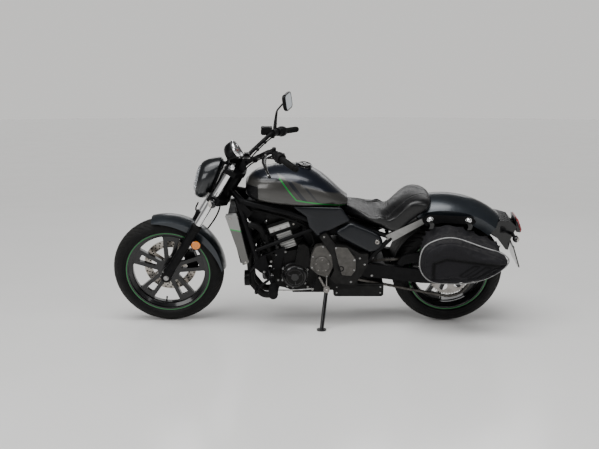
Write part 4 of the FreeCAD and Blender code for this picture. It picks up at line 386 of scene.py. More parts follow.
def round_loop(points: Sequence[Point], count: int) -> np.ndarray:
    """A closed smooth curve through points, the periodic cubic spline timed by the root of their spacing.

    Args:
        points: the points, (n, 3).
        count: how many samples to give back.

    Returns:
        The samples: Hermite cubics whose slopes m solve m[i-1]/h[i-1] + 2 m[i] (1/h[i-1] + 1/h[i]) + m[i+1]/h[i]
        = 3 (step[i-1]/h[i-1]^2 + step[i]/h[i]^2).
    """
    p = np.asarray(points, float)
    n = len(p)
    step = np.roll(p, -1, 0) - p
    h = np.sqrt(np.linalg.norm(step, axis=1))
    hb, sb = np.roll(h, 1), np.roll(step, 1, 0)
    system = np.diag(2 * (1 / hb + 1 / h))
    rows = np.arange(n)
    system[rows, rows - 1] += 1 / hb
    system[rows, (rows + 1) % n] += 1 / h
    slope = np.linalg.solve(system, 3 * (sb / hb[:, None] ** 2 + step / h[:, None] ** 2))
    times = np.concatenate([[0], np.cumsum(h)])
    at = np.linspace(0, times[-1], count, endpoint=False)
    i = np.clip(np.searchsorted(times, at, "right") - 1, 0, n - 1)
    t = ((at - times[i]) / h[i])[:, None]
    j, width = (i + 1) % n, h[i][:, None]
    return ((2 * t ** 3 - 3 * t ** 2 + 1) * p[i] + (t ** 3 - 2 * t ** 2 + t) * width * slope[i]
            + (3 * t ** 2 - 2 * t ** 3) * p[j] + (t ** 3 - t ** 2) * width * slope[j])


def edge_distance(points: np.ndarray, outline: np.ndarray) -> np.ndarray:
    """Distance of flat points from an outline: the nearest edge's, positive inside by the count of crossings."""
    a, b = outline[None], np.roll(outline, -1, 0)[None]
    p = points[:, None]
    along = np.clip(((p - a) * (b - a)).sum(-1) / ((b - a) ** 2).sum(-1), 0, 1)
    gap = np.linalg.norm(p - a - along[..., None] * (b - a), axis=-1).min(1)
    crosses = (a[..., 1] > p[..., 1]) != (b[..., 1] > p[..., 1])
    rise = np.where(np.abs(b[..., 1] - a[..., 1]) < 1e-9, 1e-9, b[..., 1] - a[..., 1])
    left = p[..., 0] < a[..., 0] + (p[..., 1] - a[..., 1]) * (b[..., 0] - a[..., 0]) / rise
    return np.where((crosses & left).sum(1) % 2 == 1, gap, -gap)


def fork_point(across: float, y: float, along: float, rake: float = RAKE_DEG) -> np.ndarray:
    """A point of the fork's own frame in the upright bike, turned back by the rake about the front axle."""
    t = math.radians(rake)
    x, z = FRONT_AXLE
    return np.array([x + across * math.cos(t) + along * math.sin(t), y,
                     z - across * math.sin(t) + along * math.cos(t)])


# Finishes


class NodeBench:
    """A bench on which one material's nodes are wired."""

    def __init__(self, name: str, space: BikeSpace) -> None:
        """Start a material that has its own shader, and keep the space its patterns are laid out in."""
        self.material = bpy.data.materials.new(name)
        self.material.use_nodes = True
        self.tree = self.material.node_tree
        self.shader = self.tree.nodes["Principled BSDF"]
        self.space = space
        self.place = self.add("ShaderNodeTexCoord").outputs["Object"]
        self._bike: Optional[Socket] = None

    def add(self, kind: str, inputs: Optional[dict] = None, **settings: object) -> bpy.types.Node:
        """Add a node, set its properties, and set or link its inputs by name or number."""
        node = self.tree.nodes.new(kind)
        for key, value in settings.items():
            setattr(node, key, value)
        for key, value in (inputs or {}).items():
            self.feed(node.inputs[key], value)
        return node

    def feed(self, socket: Socket, value: object) -> None:
        """Set a socket's value, or link it where the value is a socket."""
        if isinstance(value, bpy.types.NodeSocket):
            self.tree.links.new(value, socket)
        elif socket.type == "RGBA" and len(value) == 3:
            socket.default_value = (*value, 1.0)
        else:
            socket.default_value = value

    def dress(self, **sockets: object) -> bpy.types.Material:
        """Set or link the shader's sockets, an underscore standing for a space, and give back the material."""
        for name, value in sockets.items():
            self.feed(self.shader.inputs[name.replace("_", " ")], value)
        return self.material

    @property
    def bike(self) -> Socket:
        """Object coordinates turned upright, in millimetres of the bike: R(-lean) (1000 p) - R(-lean) shift."""
        if self._bike is None:
            offset = -self.space.unleaned(np.array(self.space.shift))
            self._bike = self.add("ShaderNodeMapping",
                                  {"Vector": self.place, "Location": tuple(offset), "Scale": (1000, 1000, 1000),
                                   "Rotation": (-self.space.lean, 0, 0)}).outputs[0]
        return self._bike

    def noise(self, scale: float, detail: float = 3.0, vector: Optional[Socket] = None, rough: float = 0.5) -> Socket:
        """Noise of a scale per metre."""
        return self.add("ShaderNodeTexNoise", {"Vector": vector or self.place, "Scale": scale, "Detail": detail,
                                               "Roughness": rough}).outputs[0]

    def cells(self, scale: float, output: str = "Distance", feature: str = "F1") -> Socket:
        """Cells of a scale per metre."""
        return self.add("ShaderNodeTexVoronoi", {"Vector": self.place, "Scale": scale},
                        feature=feature).outputs[output]

    def stretched(self, scale: Point) -> Socket:
        """The bike's coordinates stretched along each axis."""
        return self.add("ShaderNodeMapping", {"Vector": self.bike, "Scale": scale}).outputs[0]

    def maths(self, operation: str, a: Value, b: Value = 0.0, c: Value = 0.0) -> Socket:
        """One sum on numbers."""
        return self.add("ShaderNodeMath", {0: a, 1: b, 2: c}, operation=operation).outputs[0]

    def spread(self, value: Value, low: float, high: float, start: float = 0.0, end: float = 1.0,
               smooth: bool = False) -> Socket:
        """A value's span from start to end carried to low and high, held between them."""
        return self.add("ShaderNodeMapRange",
                        {"Value": value, "From Min": start, "From Max": end, "To Min": low, "To Max": high},
                        interpolation_type="SMOOTHSTEP" if smooth else "LINEAR").outputs[0]

    def mixed(self, share: Value, first: Union[Colour, Socket], second: Union[Colour, Socket]) -> Socket:
        """Two colours mixed by a share."""
        return self.add("ShaderNodeMix", {0: share, 6: first, 7: second}, data_type="RGBA").outputs[2]

    def parts(self, vector: Socket) -> tuple[Socket, Socket, Socket]:
        """A vector's three numbers."""
        outputs = self.add("ShaderNodeSeparateXYZ", {0: vector}).outputs
        return outputs[0], outputs[1], outputs[2]

    def bump(self, height: Socket, depth_mm: float, under: Optional[Socket] = None) -> Socket:
        """A bump of a depth, laid over another."""
        lower = {"Normal": under} if under else {}
        return self.add("ShaderNodeBump", {"Height": height, "Distance": depth_mm / 1000, **lower}).outputs[0]

    def upward(self) -> Socket:
        """How far a face looks up, from 0 to 1."""
        normal = self.add("ShaderNodeNewGeometry").outputs["Normal"]
        return self.spread(self.parts(normal)[2], 0, 1, 0.2, 1.0)

    def radius_angle(self, centre: Flat) -> tuple[Socket, Socket]:
        """Distance from a wheel's axis in millimetres and the angle round it in radians."""
        x, _, z = self.parts(self.bike)
        x, z = self.maths("SUBTRACT", x, centre[0]), self.maths("SUBTRACT", z, centre[1])
        far = self.maths("SQRT", self.maths("ADD", self.maths("MULTIPLY", x, x), self.maths("MULTIPLY", z, z)))
        return far, self.maths("ARCTAN2", z, x)

    def band(self, value: Socket, low: float, high: float, soft: float = 0.3) -> Socket:
        """One between low and high, nought outside, with soft edges."""
        middle, half = (low + high) / 2, (high - low) / 2
        return self.spread(self.maths("ABSOLUTE", self.maths("SUBTRACT", value, middle)), 1, 0, half - soft,
                           half + soft)


@dataclass(frozen=True)
class Finish:
    """A named finish that wires one material."""

    name: str

    def material(self, space: BikeSpace) -> bpy.types.Material:
        """Wire the material."""
        raise NotImplementedError


@dataclass(frozen=True)
class Lacquer(Finish):
    """Sprayed paint under clear lacquer: mottled ground, fine metal flakes, orange peel, dust on what looks up."""

    deep: Colour = (0.0012, 0.0012, 0.0016)
    bright: Colour = (0.0042, 0.0042, 0.005)
    metallic: float = 0.4
    roughness: float = 0.3
    coat: float = 0.6
    coat_roughness: float = 0.1
    dust: float = 0.012
    dust_colour: Colour = (0.3, 0.29, 0.27)

    def livery(self, bench: NodeBench, ground: Socket) -> Socket:
        """The painted pattern over the ground; plain paint has none."""
        return ground

    def material(self, space: BikeSpace) -> bpy.types.Material:
        """Wire the paint."""
        bench = NodeBench(self.name, space)
        flakes = bench.parts(bench.cells(2600, "Color"))[0]
        mottle = bench.noise(9, 4)
        share = bench.maths("MULTIPLY_ADD", flakes, 0.45, bench.spread(mottle, 0.1, 0.55, 0.3, 0.7))
        painted = self.livery(bench, bench.mixed(share, self.deep, self.bright))
        film = bench.maths("MULTIPLY", bench.upward(), bench.spread(bench.noise(26, 5), 0, self.dust, 0.35, 0.75))
        colour = bench.mixed(film, painted, self.dust_colour)
        rough = bench.maths("ADD", bench.spread(bench.noise(14, 3), self.roughness * 0.8, self.roughness * 1.25),
                            film)
        peel = bench.bump(bench.noise(420, 1), 0.03)
        return bench.dress(Base_Color=colour, Metallic=self.metallic, Roughness=rough, Coat_Weight=self.coat,
                           Coat_Roughness=self.coat_roughness, Specular_IOR_Level=0.3, Normal=peel)


@dataclass(frozen=True)
class TankLivery(Lacquer):
    """The tank's paint: dark top, grey flank, a bright line that turns once, and darker stripes behind it."""

    line: tuple[Flat, Flat, Flat] = ((620, 912), (724, 782), (956, 731))
    flank: Colour = (0.048, 0.0465, 0.0435)
    green: Colour = (0.01, 0.25, 0.04)
    half_width: float = 3.4
    line_top: Flat = (888, 898)
    stripes: tuple[tuple[float, float, float], ...] = ((23, 41, 0.75), (74, 84, 0.55))
    shoulder: Flat = (-0.37, 1142.0)
    front_fade: Flat = (868, 900)

    def livery(self, bench: NodeBench, ground: Socket) -> Socket:
        """Lay the pattern: d = min of the distances from both runs of the line, then colours by d.

        Args:
            bench: the bench.
            ground: the dark top's colour.

        Returns:
            The whole pattern: stripes lie at spans of the distance from the first run, and the top starts above the
            shoulder's line z = slope x + height behind the line, and over front_fade in front of it.
        """
        x, _, z = bench.parts(bench.bike)
        gaps = []
        for a, b in zip(self.line, self.line[1:]):
            way = unit(np.array(b) - np.array(a))
            normal = (-way[1], way[0]) if way[0] > 0 else (way[1], -way[0])
            reach = normal[0] * a[0] + normal[1] * a[1]
            across = bench.maths("MULTIPLY_ADD", x, float(normal[0]), bench.maths("MULTIPLY", z, float(normal[1])))
            gaps.append(bench.maths("SUBTRACT", across, float(reach)))
        distance = bench.maths("MINIMUM", gaps[0], gaps[1])
        stripes: Value = 0.0
        for low, high, share in self.stripes:
            stripes = bench.maths("MULTIPLY_ADD", bench.band(gaps[0], low, high, 1.2), share, stripes)
        shade = bench.mixed(stripes, self.flank, ground)
        above = bench.maths("SUBTRACT", z, bench.maths("MULTIPLY_ADD", x, *self.shoulder))
        behind = bench.mixed(bench.spread(above, 0, 1, -4, 6, smooth=True), shade, ground)
        front = bench.mixed(bench.spread(z, 0, 1, *self.front_fade, smooth=True), self.flank, ground)
        both = bench.mixed(bench.spread(distance, 0, 1, -0.5, 0.5), front, behind)
        below = bench.spread(z, 1, 0, *self.line_top)
        line = bench.maths("MULTIPLY", bench.band(distance, -self.half_width, self.half_width), below)
        return bench.mixed(line, both, self.green)


@dataclass(frozen=True)
class WheelLacquer(Lacquer):
    """Gloss wheel paint with a bright ring on both edges of the rim."""

    centre: Flat = FRONT_AXLE
    ring: Flat = (234.0, 240.0)
    side: float = 40.0
    green: Colour = (0.006, 0.16, 0.03)

    def livery(self, bench: NodeBench, ground: Socket) -> Socket:
        """Lay the ring: a band of radii on the outer faces alone."""
        far, _ = bench.radius_angle(self.centre)
        out = bench.maths("GREATER_THAN", bench.maths("ABSOLUTE", bench.parts(bench.bike)[1]), self.side)
        return bench.mixed(bench.maths("MULTIPLY", bench.band(far, *self.ring), out), ground, self.green)


@dataclass(frozen=True)
class ShroudLacquer(Lacquer):
    """A radiator cover's paint: silver head, a bright line, grey below."""

    line: Flat = (606.0, 612.0)
    slope: float = 0.2
    drop: float = 76.0
    green: Colour = (0.012, 0.3, 0.05)
    silver: Colour = (0.22, 0.22, 0.215)

    def livery(self, bench: NodeBench, ground: Socket) -> Socket:
        """Lay bands by the level z - drop + slope x, which runs square to the cover's front edge."""
        x, _, z = bench.parts(bench.bike)
        level = bench.maths("MULTIPLY_ADD", x, self.slope, bench.maths("SUBTRACT", z, self.drop))
        above = bench.mixed(bench.maths("GREATER_THAN", level, self.line[1]), ground, self.silver)
        return bench.mixed(bench.band(level, *self.line), above, self.green)


@dataclass(frozen=True)
class Powder(Finish):
    """Baked powder coat: satin grain, a few worn flecks, dust in patches."""

    colour: Colour = (0.0022, 0.0022, 0.0025)
    roughness: float = 0.42
    grain_mm: float = 0.05
    wear: float = 0.12
    bare: Colour = (0.16, 0.15, 0.14)

    def material(self, space: BikeSpace) -> bpy.types.Material:
        """Wire the coat."""
        bench = NodeBench(self.name, space)
        lighter = tuple(min(1.0, c * 1.7 + 0.0008) for c in self.colour)
        ground = bench.mixed(bench.spread(bench.noise(35, 4), 0, 1, 0.35, 0.75), self.colour, lighter)
        flecks = bench.maths("MULTIPLY", bench.spread(bench.noise(240, 5, rough=0.7), 0, self.wear, 0.7, 0.76),
                             bench.upward())
        colour = bench.mixed(flecks, ground, self.bare)
        rough = bench.spread(bench.noise(18, 4), self.roughness * 0.8, min(0.95, self.roughness * 1.3), 0.3, 0.7)
        grain = bench.bump(bench.noise(1500, 2), self.grain_mm)
        return bench.dress(Base_Color=colour, Roughness=rough, Normal=grain, Specular_IOR_Level=0.1)


@dataclass(frozen=True)
class BareMetal(Finish):
    """Bare metal: brushed along one way, stained in patches."""

    colour: Colour = (0.55, 0.54, 0.52)
    stain: Colour = (0.3, 0.27, 0.23)
    stain_share: float = 0.3
    roughness: float = 0.22
    brush: Point = (0.02, 0.4, 0.4)
    depth_mm: float = 0.02

    def material(self, space: BikeSpace) -> bpy.types.Material:
        """Wire the metal."""
        bench = NodeBench(self.name, space)
        lines = bench.noise(8, 3, bench.stretched(self.brush))
        patches = bench.spread(bench.noise(30, 5), 0, self.stain_share, 0.42, 0.7)
        colour = bench.mixed(patches, self.colour, self.stain)
        grain = bench.spread(lines, self.roughness * 0.7, self.roughness * 1.3, 0.3, 0.7)
        rough = bench.maths("ADD", grain, bench.maths("MULTIPLY", patches, 0.3))
        return bench.dress(Base_Color=colour, Metallic=1.0, Roughness=rough, Normal=bench.bump(lines, self.depth_mm))


@dataclass(frozen=True)
class CastMetal(Finish):
    """Sand-cast or painted casting: pebbled skin, tone in patches, grime low down."""

    colour: Colour = (0.05, 0.048, 0.045)
    light: Colour = (0.09, 0.085, 0.08)
    metallic: float = 0.5
    roughness: float = 0.42
    pebble_mm: float = 0.12
    grime: Colour = (0.012, 0.011, 0.01)
    grime_span: Flat = (180, 520)

    def tone(self, bench: NodeBench, ground: Socket) -> Socket:
        """The zones of the casting; a plain one has none."""
        return ground

    def material(self, space: BikeSpace) -> bpy.types.Material:
        """Wire the casting."""
        bench = NodeBench(self.name, space)
        ground = self.tone(bench,
                           bench.mixed(bench.spread(bench.noise(40, 5), 0, 1, 0.3, 0.7), self.colour, self.light))
        low = bench.spread(bench.parts(bench.bike)[2], 0.5, 0.0, *self.grime_span)
        grime = bench.maths("MULTIPLY", low, bench.spread(bench.noise(55, 5), 0, 1, 0.4, 0.7))
        even = bench.spread(bench.noise(70, 4), self.roughness * 0.8, self.roughness * 1.25)
        rough = bench.maths("ADD", even, bench.maths("MULTIPLY", grime, 0.3))
        return bench.dress(Base_Color=bench.mixed(grime, ground, self.grime), Metallic=self.metallic, Roughness=rough,
                           Specular_IOR_Level=0.14, Normal=bench.bump(bench.cells(650), self.pebble_mm))


@dataclass(frozen=True)
class CylinderCast(CastMetal):
    """The cylinders' casting: bright machined fins between a dark foot and a bright head strip."""

    foot: Flat = (706.0, 470.0)
    slope_deg: float = 20.0
    bright: Colour = (0.4, 0.4, 0.39)
    fins: tuple[float, float, float, float] = (24.0, 121.0, -55.0, 26.0)
    strip: tuple[float, float, float, float] = (140.0, 170.0, -82.0, 34.0)

    def tone(self, bench: NodeBench, ground: Socket) -> Socket:
        """Bands by distance along the sloping axis: s = (x - x0)(-sin a) + (z - z0) cos a."""
        x, _, z = bench.parts(bench.bike)
        t = math.radians(self.slope_deg)
        x, z = bench.maths("SUBTRACT", x, self.foot[0]), bench.maths("SUBTRACT", z, self.foot[1])
        along = bench.maths("MULTIPLY_ADD", x, -math.sin(t), bench.maths("MULTIPLY", z, math.cos(t)))
        ahead = bench.maths("MULTIPLY_ADD", x, math.cos(t), bench.maths("MULTIPLY", z, math.sin(t)))
        for low, high, fore, aft in (self.fins, self.strip):
            zone = bench.maths("MULTIPLY", bench.band(along, low, high, 1.0), bench.band(ahead, fore, aft, 3.0))
            ground = bench.mixed(zone, ground, self.bright)
        return ground


@dataclass(frozen=True)
class DrilledSteel(Finish):
    """A brake disc's steel: turned rings, a warm tint, and rows of drilled holes on polar coordinates, painted near
    black as shade instead of open holes.
    """

    centre: Flat = FRONT_AXLE
    band: Flat = (108.0, 150.0)
    rows: int = 3
    holes: int = 30
    hole_mm: float = 4.0
    bright: Colour = (0.42, 0.4, 0.37)
    burnt: Colour = (0.3, 0.26, 0.22)
    painted_shade: Colour = (0.01, 0.01, 0.01)

    def material(self, space: BikeSpace) -> bpy.types.Material:
        """Wire the disc: each row's nearest hole is at the rounded angle share."""
        bench = NodeBench(self.name, space)
        far, angle = bench.radius_angle(self.centre)
        lines = bench.noise(60, 3,
                            bench.add("ShaderNodeCombineXYZ", {0: bench.maths("MULTIPLY", far, 0.35)}).outputs[0])
        nearest: Value = 99.0
        for row in range(self.rows):
            radius = self.band[0] + (self.band[1] - self.band[0]) * (row + 0.7) / (self.rows + 0.4)
            share = bench.maths("ADD", bench.maths("MULTIPLY", angle, self.holes / (2 * math.pi)), row / self.rows)
            off = bench.maths("SUBTRACT", share, bench.maths("ROUND", share))
            side = bench.maths("MULTIPLY", off, 2 * math.pi * radius / self.holes)
            up = bench.maths("SUBTRACT", far, radius)
            gap = bench.maths("SQRT", bench.maths("MULTIPLY_ADD", side, side, bench.maths("MULTIPLY", up, up)))
            nearest = bench.maths("MINIMUM", nearest, gap)
        solid = bench.spread(nearest, 0, 1, self.hole_mm - 0.4, self.hole_mm + 0.4)
        steel = bench.mixed(bench.spread(bench.noise(24, 4), 0, 1, 0.35, 0.7), self.bright, self.burnt)
        # painted shade: the holes get a near-black colour, since they are not cut through
        colour = bench.mixed(solid, self.painted_shade, steel)
        rough = bench.spread(lines, 0.22, 0.42, 0.3, 0.7)
        return bench.dress(Base_Color=colour, Metallic=0.9, Roughness=rough,
                           Normal=bench.bump(solid, 0.8, bench.bump(lines, 0.03)))


@dataclass(frozen=True)
class Moulded(Finish):
    """Moulded plastic or rubber: fine cell grain, chalky patches."""

    colour: Colour = (0.0035, 0.0035, 0.0038)
    light: Colour = (0.009, 0.009, 0.0094)
    roughness: float = 0.5
    grain: float = 1300.0
    grain_mm: float = 0.06
    specular: float = 0.12

    def material(self, space: BikeSpace) -> bpy.types.Material:
        """Wire the moulding."""
        bench = NodeBench(self.name, space)
        colour = bench.mixed(bench.spread(bench.noise(22, 5), 0, 0.7, 0.35, 0.75), self.colour, self.light)
        rough = bench.spread(bench.noise(45, 4), self.roughness * 0.85, min(0.98, self.roughness * 1.2), 0.3, 0.7)
        return bench.dress(Base_Color=colour, Roughness=rough,
                           Normal=bench.bump(bench.cells(self.grain), self.grain_mm),
                           Specular_IOR_Level=self.specular)


@dataclass(frozen=True)
class TyreRubber(Finish):
    """Tyre rubber: worn grey tread, black walls with fine turned ribs, road dust on the crown."""

    centre: Flat = FRONT_AXLE
    wall: Flat = (246.0, 262.0)
    crown: float = 296.0
    deep: Colour = (0.0032, 0.0032, 0.0034)
    light: Colour = (0.0065, 0.0063, 0.0062)
    dust: Colour = (0.022, 0.0215, 0.0205)
    rib_mm: float = 2.4

    def material(self, space: BikeSpace) -> bpy.types.Material:
        """Wire the rubber: ribs are waves of the radius inside the wall's band."""
        bench = NodeBench(self.name, space)
        far, _ = bench.radius_angle(self.centre)
        tread = bench.spread(far, 0, 1, self.crown - 16, self.crown + 8)
        worn = bench.maths("MULTIPLY", tread, bench.spread(bench.noise(60, 5), 0.3, 1, 0.3, 0.7))
        colour = bench.mixed(bench.spread(bench.noise(25, 4), 0, 1, 0.3, 0.7), self.deep, self.light)
        colour = bench.mixed(bench.maths("MULTIPLY", worn, 0.8), colour, self.dust)
        waves = bench.maths("SINE", bench.maths("MULTIPLY", far, 2 * math.pi / self.rib_mm))
        ribs = bench.maths("MULTIPLY", waves, bench.band(far, *self.wall))
        grain = bench.bump(bench.noise(1100, 3), 0.12)
        return bench.dress(Base_Color=colour, Roughness=bench.spread(worn, 0.5, 0.86),
                           Normal=bench.bump(ribs, 0.35, grain),
                           Specular_IOR_Level=0.12)


@dataclass(frozen=True)
class SeatVinyl(Finish):
    """Seat vinyl: pebbled leather grain, faint creases, a soft sheen, rubbed paler on top."""

    colour: Colour = (0.0026, 0.0026, 0.003)
    rubbed: Colour = (0.0075, 0.0073, 0.0075)
    roughness: float = 0.33

    def material(self, space: BikeSpace) -> bpy.types.Material:
        """Wire the vinyl."""
        bench = NodeBench(self.name, space)
        wear = bench.maths("MULTIPLY", bench.upward(), bench.spread(bench.noise(12, 4), 0.2, 1, 0.3, 0.7))
        colour = bench.mixed(wear, self.colour, self.rubbed)
        creases = bench.bump(bench.noise(26, 4, bench.stretched((0.001, 0.0025, 0.001)), 0.6), 0.25)
        grain = bench.bump(bench.cells(720, feature="SMOOTH_F1"), 0.05, creases)
        rough = bench.spread(bench.noise(50, 4), self.roughness * 0.8, self.roughness * 1.3, 0.3, 0.7)
        return bench.dress(Base_Color=colour, Roughness=rough, Normal=grain, Specular_IOR_Level=0.4)


@dataclass(frozen=True)
class BagCloth(Finish):
    """Coated woven cloth: crossed yarns, flecked colour, lint, a weak sheen, and painted shade where the bag's shade
    attribute is set.
    """

    colour: Colour = (0.0075, 0.0073, 0.0088)
    yarn: Colour = (0.021, 0.0202, 0.0228)
    pitch_mm: float = 1.3
    # near-black colour of the painted shade that the shade attribute mixes in
    painted_shade: Colour = (0.0005, 0.0005, 0.0006)
    lint: Colour = (0.12, 0.115, 0.105)

    def material(self, space: BikeSpace) -> bpy.types.Material:
        """Wire the cloth: yarns are sin(x) sin(z) over x + y and z in millimetres."""
        bench = NodeBench(self.name, space)
        x, y, z = bench.parts(bench.bike)
        turn = 2 * math.pi / self.pitch_mm
        across = bench.maths("SINE",
                             bench.maths("MULTIPLY", bench.maths("ADD", x, bench.maths("MULTIPLY", y, 0.7)), turn))
        up = bench.maths("SINE", bench.maths("MULTIPLY", bench.maths("MULTIPLY_ADD", y, 0.7, z), turn))
        weave = bench.maths("MULTIPLY", across, up)
        fleck = bench.maths("MULTIPLY", bench.spread(bench.noise(900, 4), 0, 1, 0.35, 0.75),
                            bench.spread(weave, 0.4, 1, -1, 1))
        colour = bench.mixed(fleck, self.colour, self.yarn)
        # painted shade: the cloth is darkened toward a near-black colour where the bag's shade attribute marks shade
        # falling
        shade = bench.add("ShaderNodeAttribute", attribute_name="shade").outputs["Fac"]
        colour = bench.mixed(shade, colour, self.painted_shade)
        lint = bench.maths("MULTIPLY", bench.upward(), bench.spread(bench.noise(38, 5), 0, 0.16, 0.4, 0.7))
        folds = bench.bump(bench.noise(18, 4), 1.4)
        return bench.dress(Base_Color=bench.mixed(lint, colour, self.lint), Normal=bench.bump(weave, 0.22, folds),
                           Roughness=bench.spread(bench.noise(40, 3), 0.7, 0.92), Sheen_Weight=0.02,
                           Specular_IOR_Level=0.15)


@dataclass(frozen=True)
class LampLens(Finish):
    """A lamp's lens: tinted, ribbed or pebbled inside, glossy outside."""

    tint: Colour = (0.85, 0.87, 0.9)
    deep: Colour = (0.6, 0.62, 0.66)
    transmission: float = 0.75
    rib_mm: float = 6.0
    roughness: float = 0.08

    def material(self, space: BikeSpace) -> bpy.types.Material:
        """Wire the lens: prisms are the product of two waves across it."""
        bench = NodeBench(self.name, space)
        x, y, z = bench.parts(bench.bike)
        turn = 2 * math.pi / self.rib_mm
        prisms = bench.maths("MULTIPLY", bench.maths("SINE", bench.maths("MULTIPLY", y, turn)),
                             bench.maths("SINE", bench.maths("MULTIPLY", bench.maths("ADD", x, z), turn)))
        colour = bench.mixed(bench.spread(prisms, 0, 1, -1, 1), self.deep, self.tint)
        rough = bench.spread(bench.noise(40, 4), self.roughness * 0.7, self.roughness * 2, 0.3, 0.7)
        return bench.dress(Base_Color=colour, Transmission_Weight=self.transmission, Roughness=rough, Coat_Weight=1.0,
                           Coat_Roughness=0.03, Normal=bench.bump(prisms, 0.4), IOR=1.49)


@dataclass(frozen=True)
class LooseSheet(Finish):
    """Thin painted sheet or a dial's card: even colour, faint print grain and scuffs."""

    colour: Colour = (0.72, 0.72, 0.7)
    scuff: Colour = (0.5, 0.49, 0.46)
    roughness: float = 0.4

    def material(self, space: BikeSpace) -> bpy.types.Material:
        """Wire the sheet."""
        bench = NodeBench(self.name, space)
        marks = bench.spread(bench.noise(40, 6, rough=0.7), 0, 0.6, 0.5, 0.75)
        grain = bench.bump(bench.noise(900, 2), 0.03)
        return bench.dress(Base_Color=bench.mixed(marks, self.colour, self.scuff), Normal=grain, Coat_Weight=0.3,
                           Roughness=bench.spread(bench.noise(60, 3), self.roughness * 0.8, self.roughness * 1.3, 0.3,
                                                  0.7))


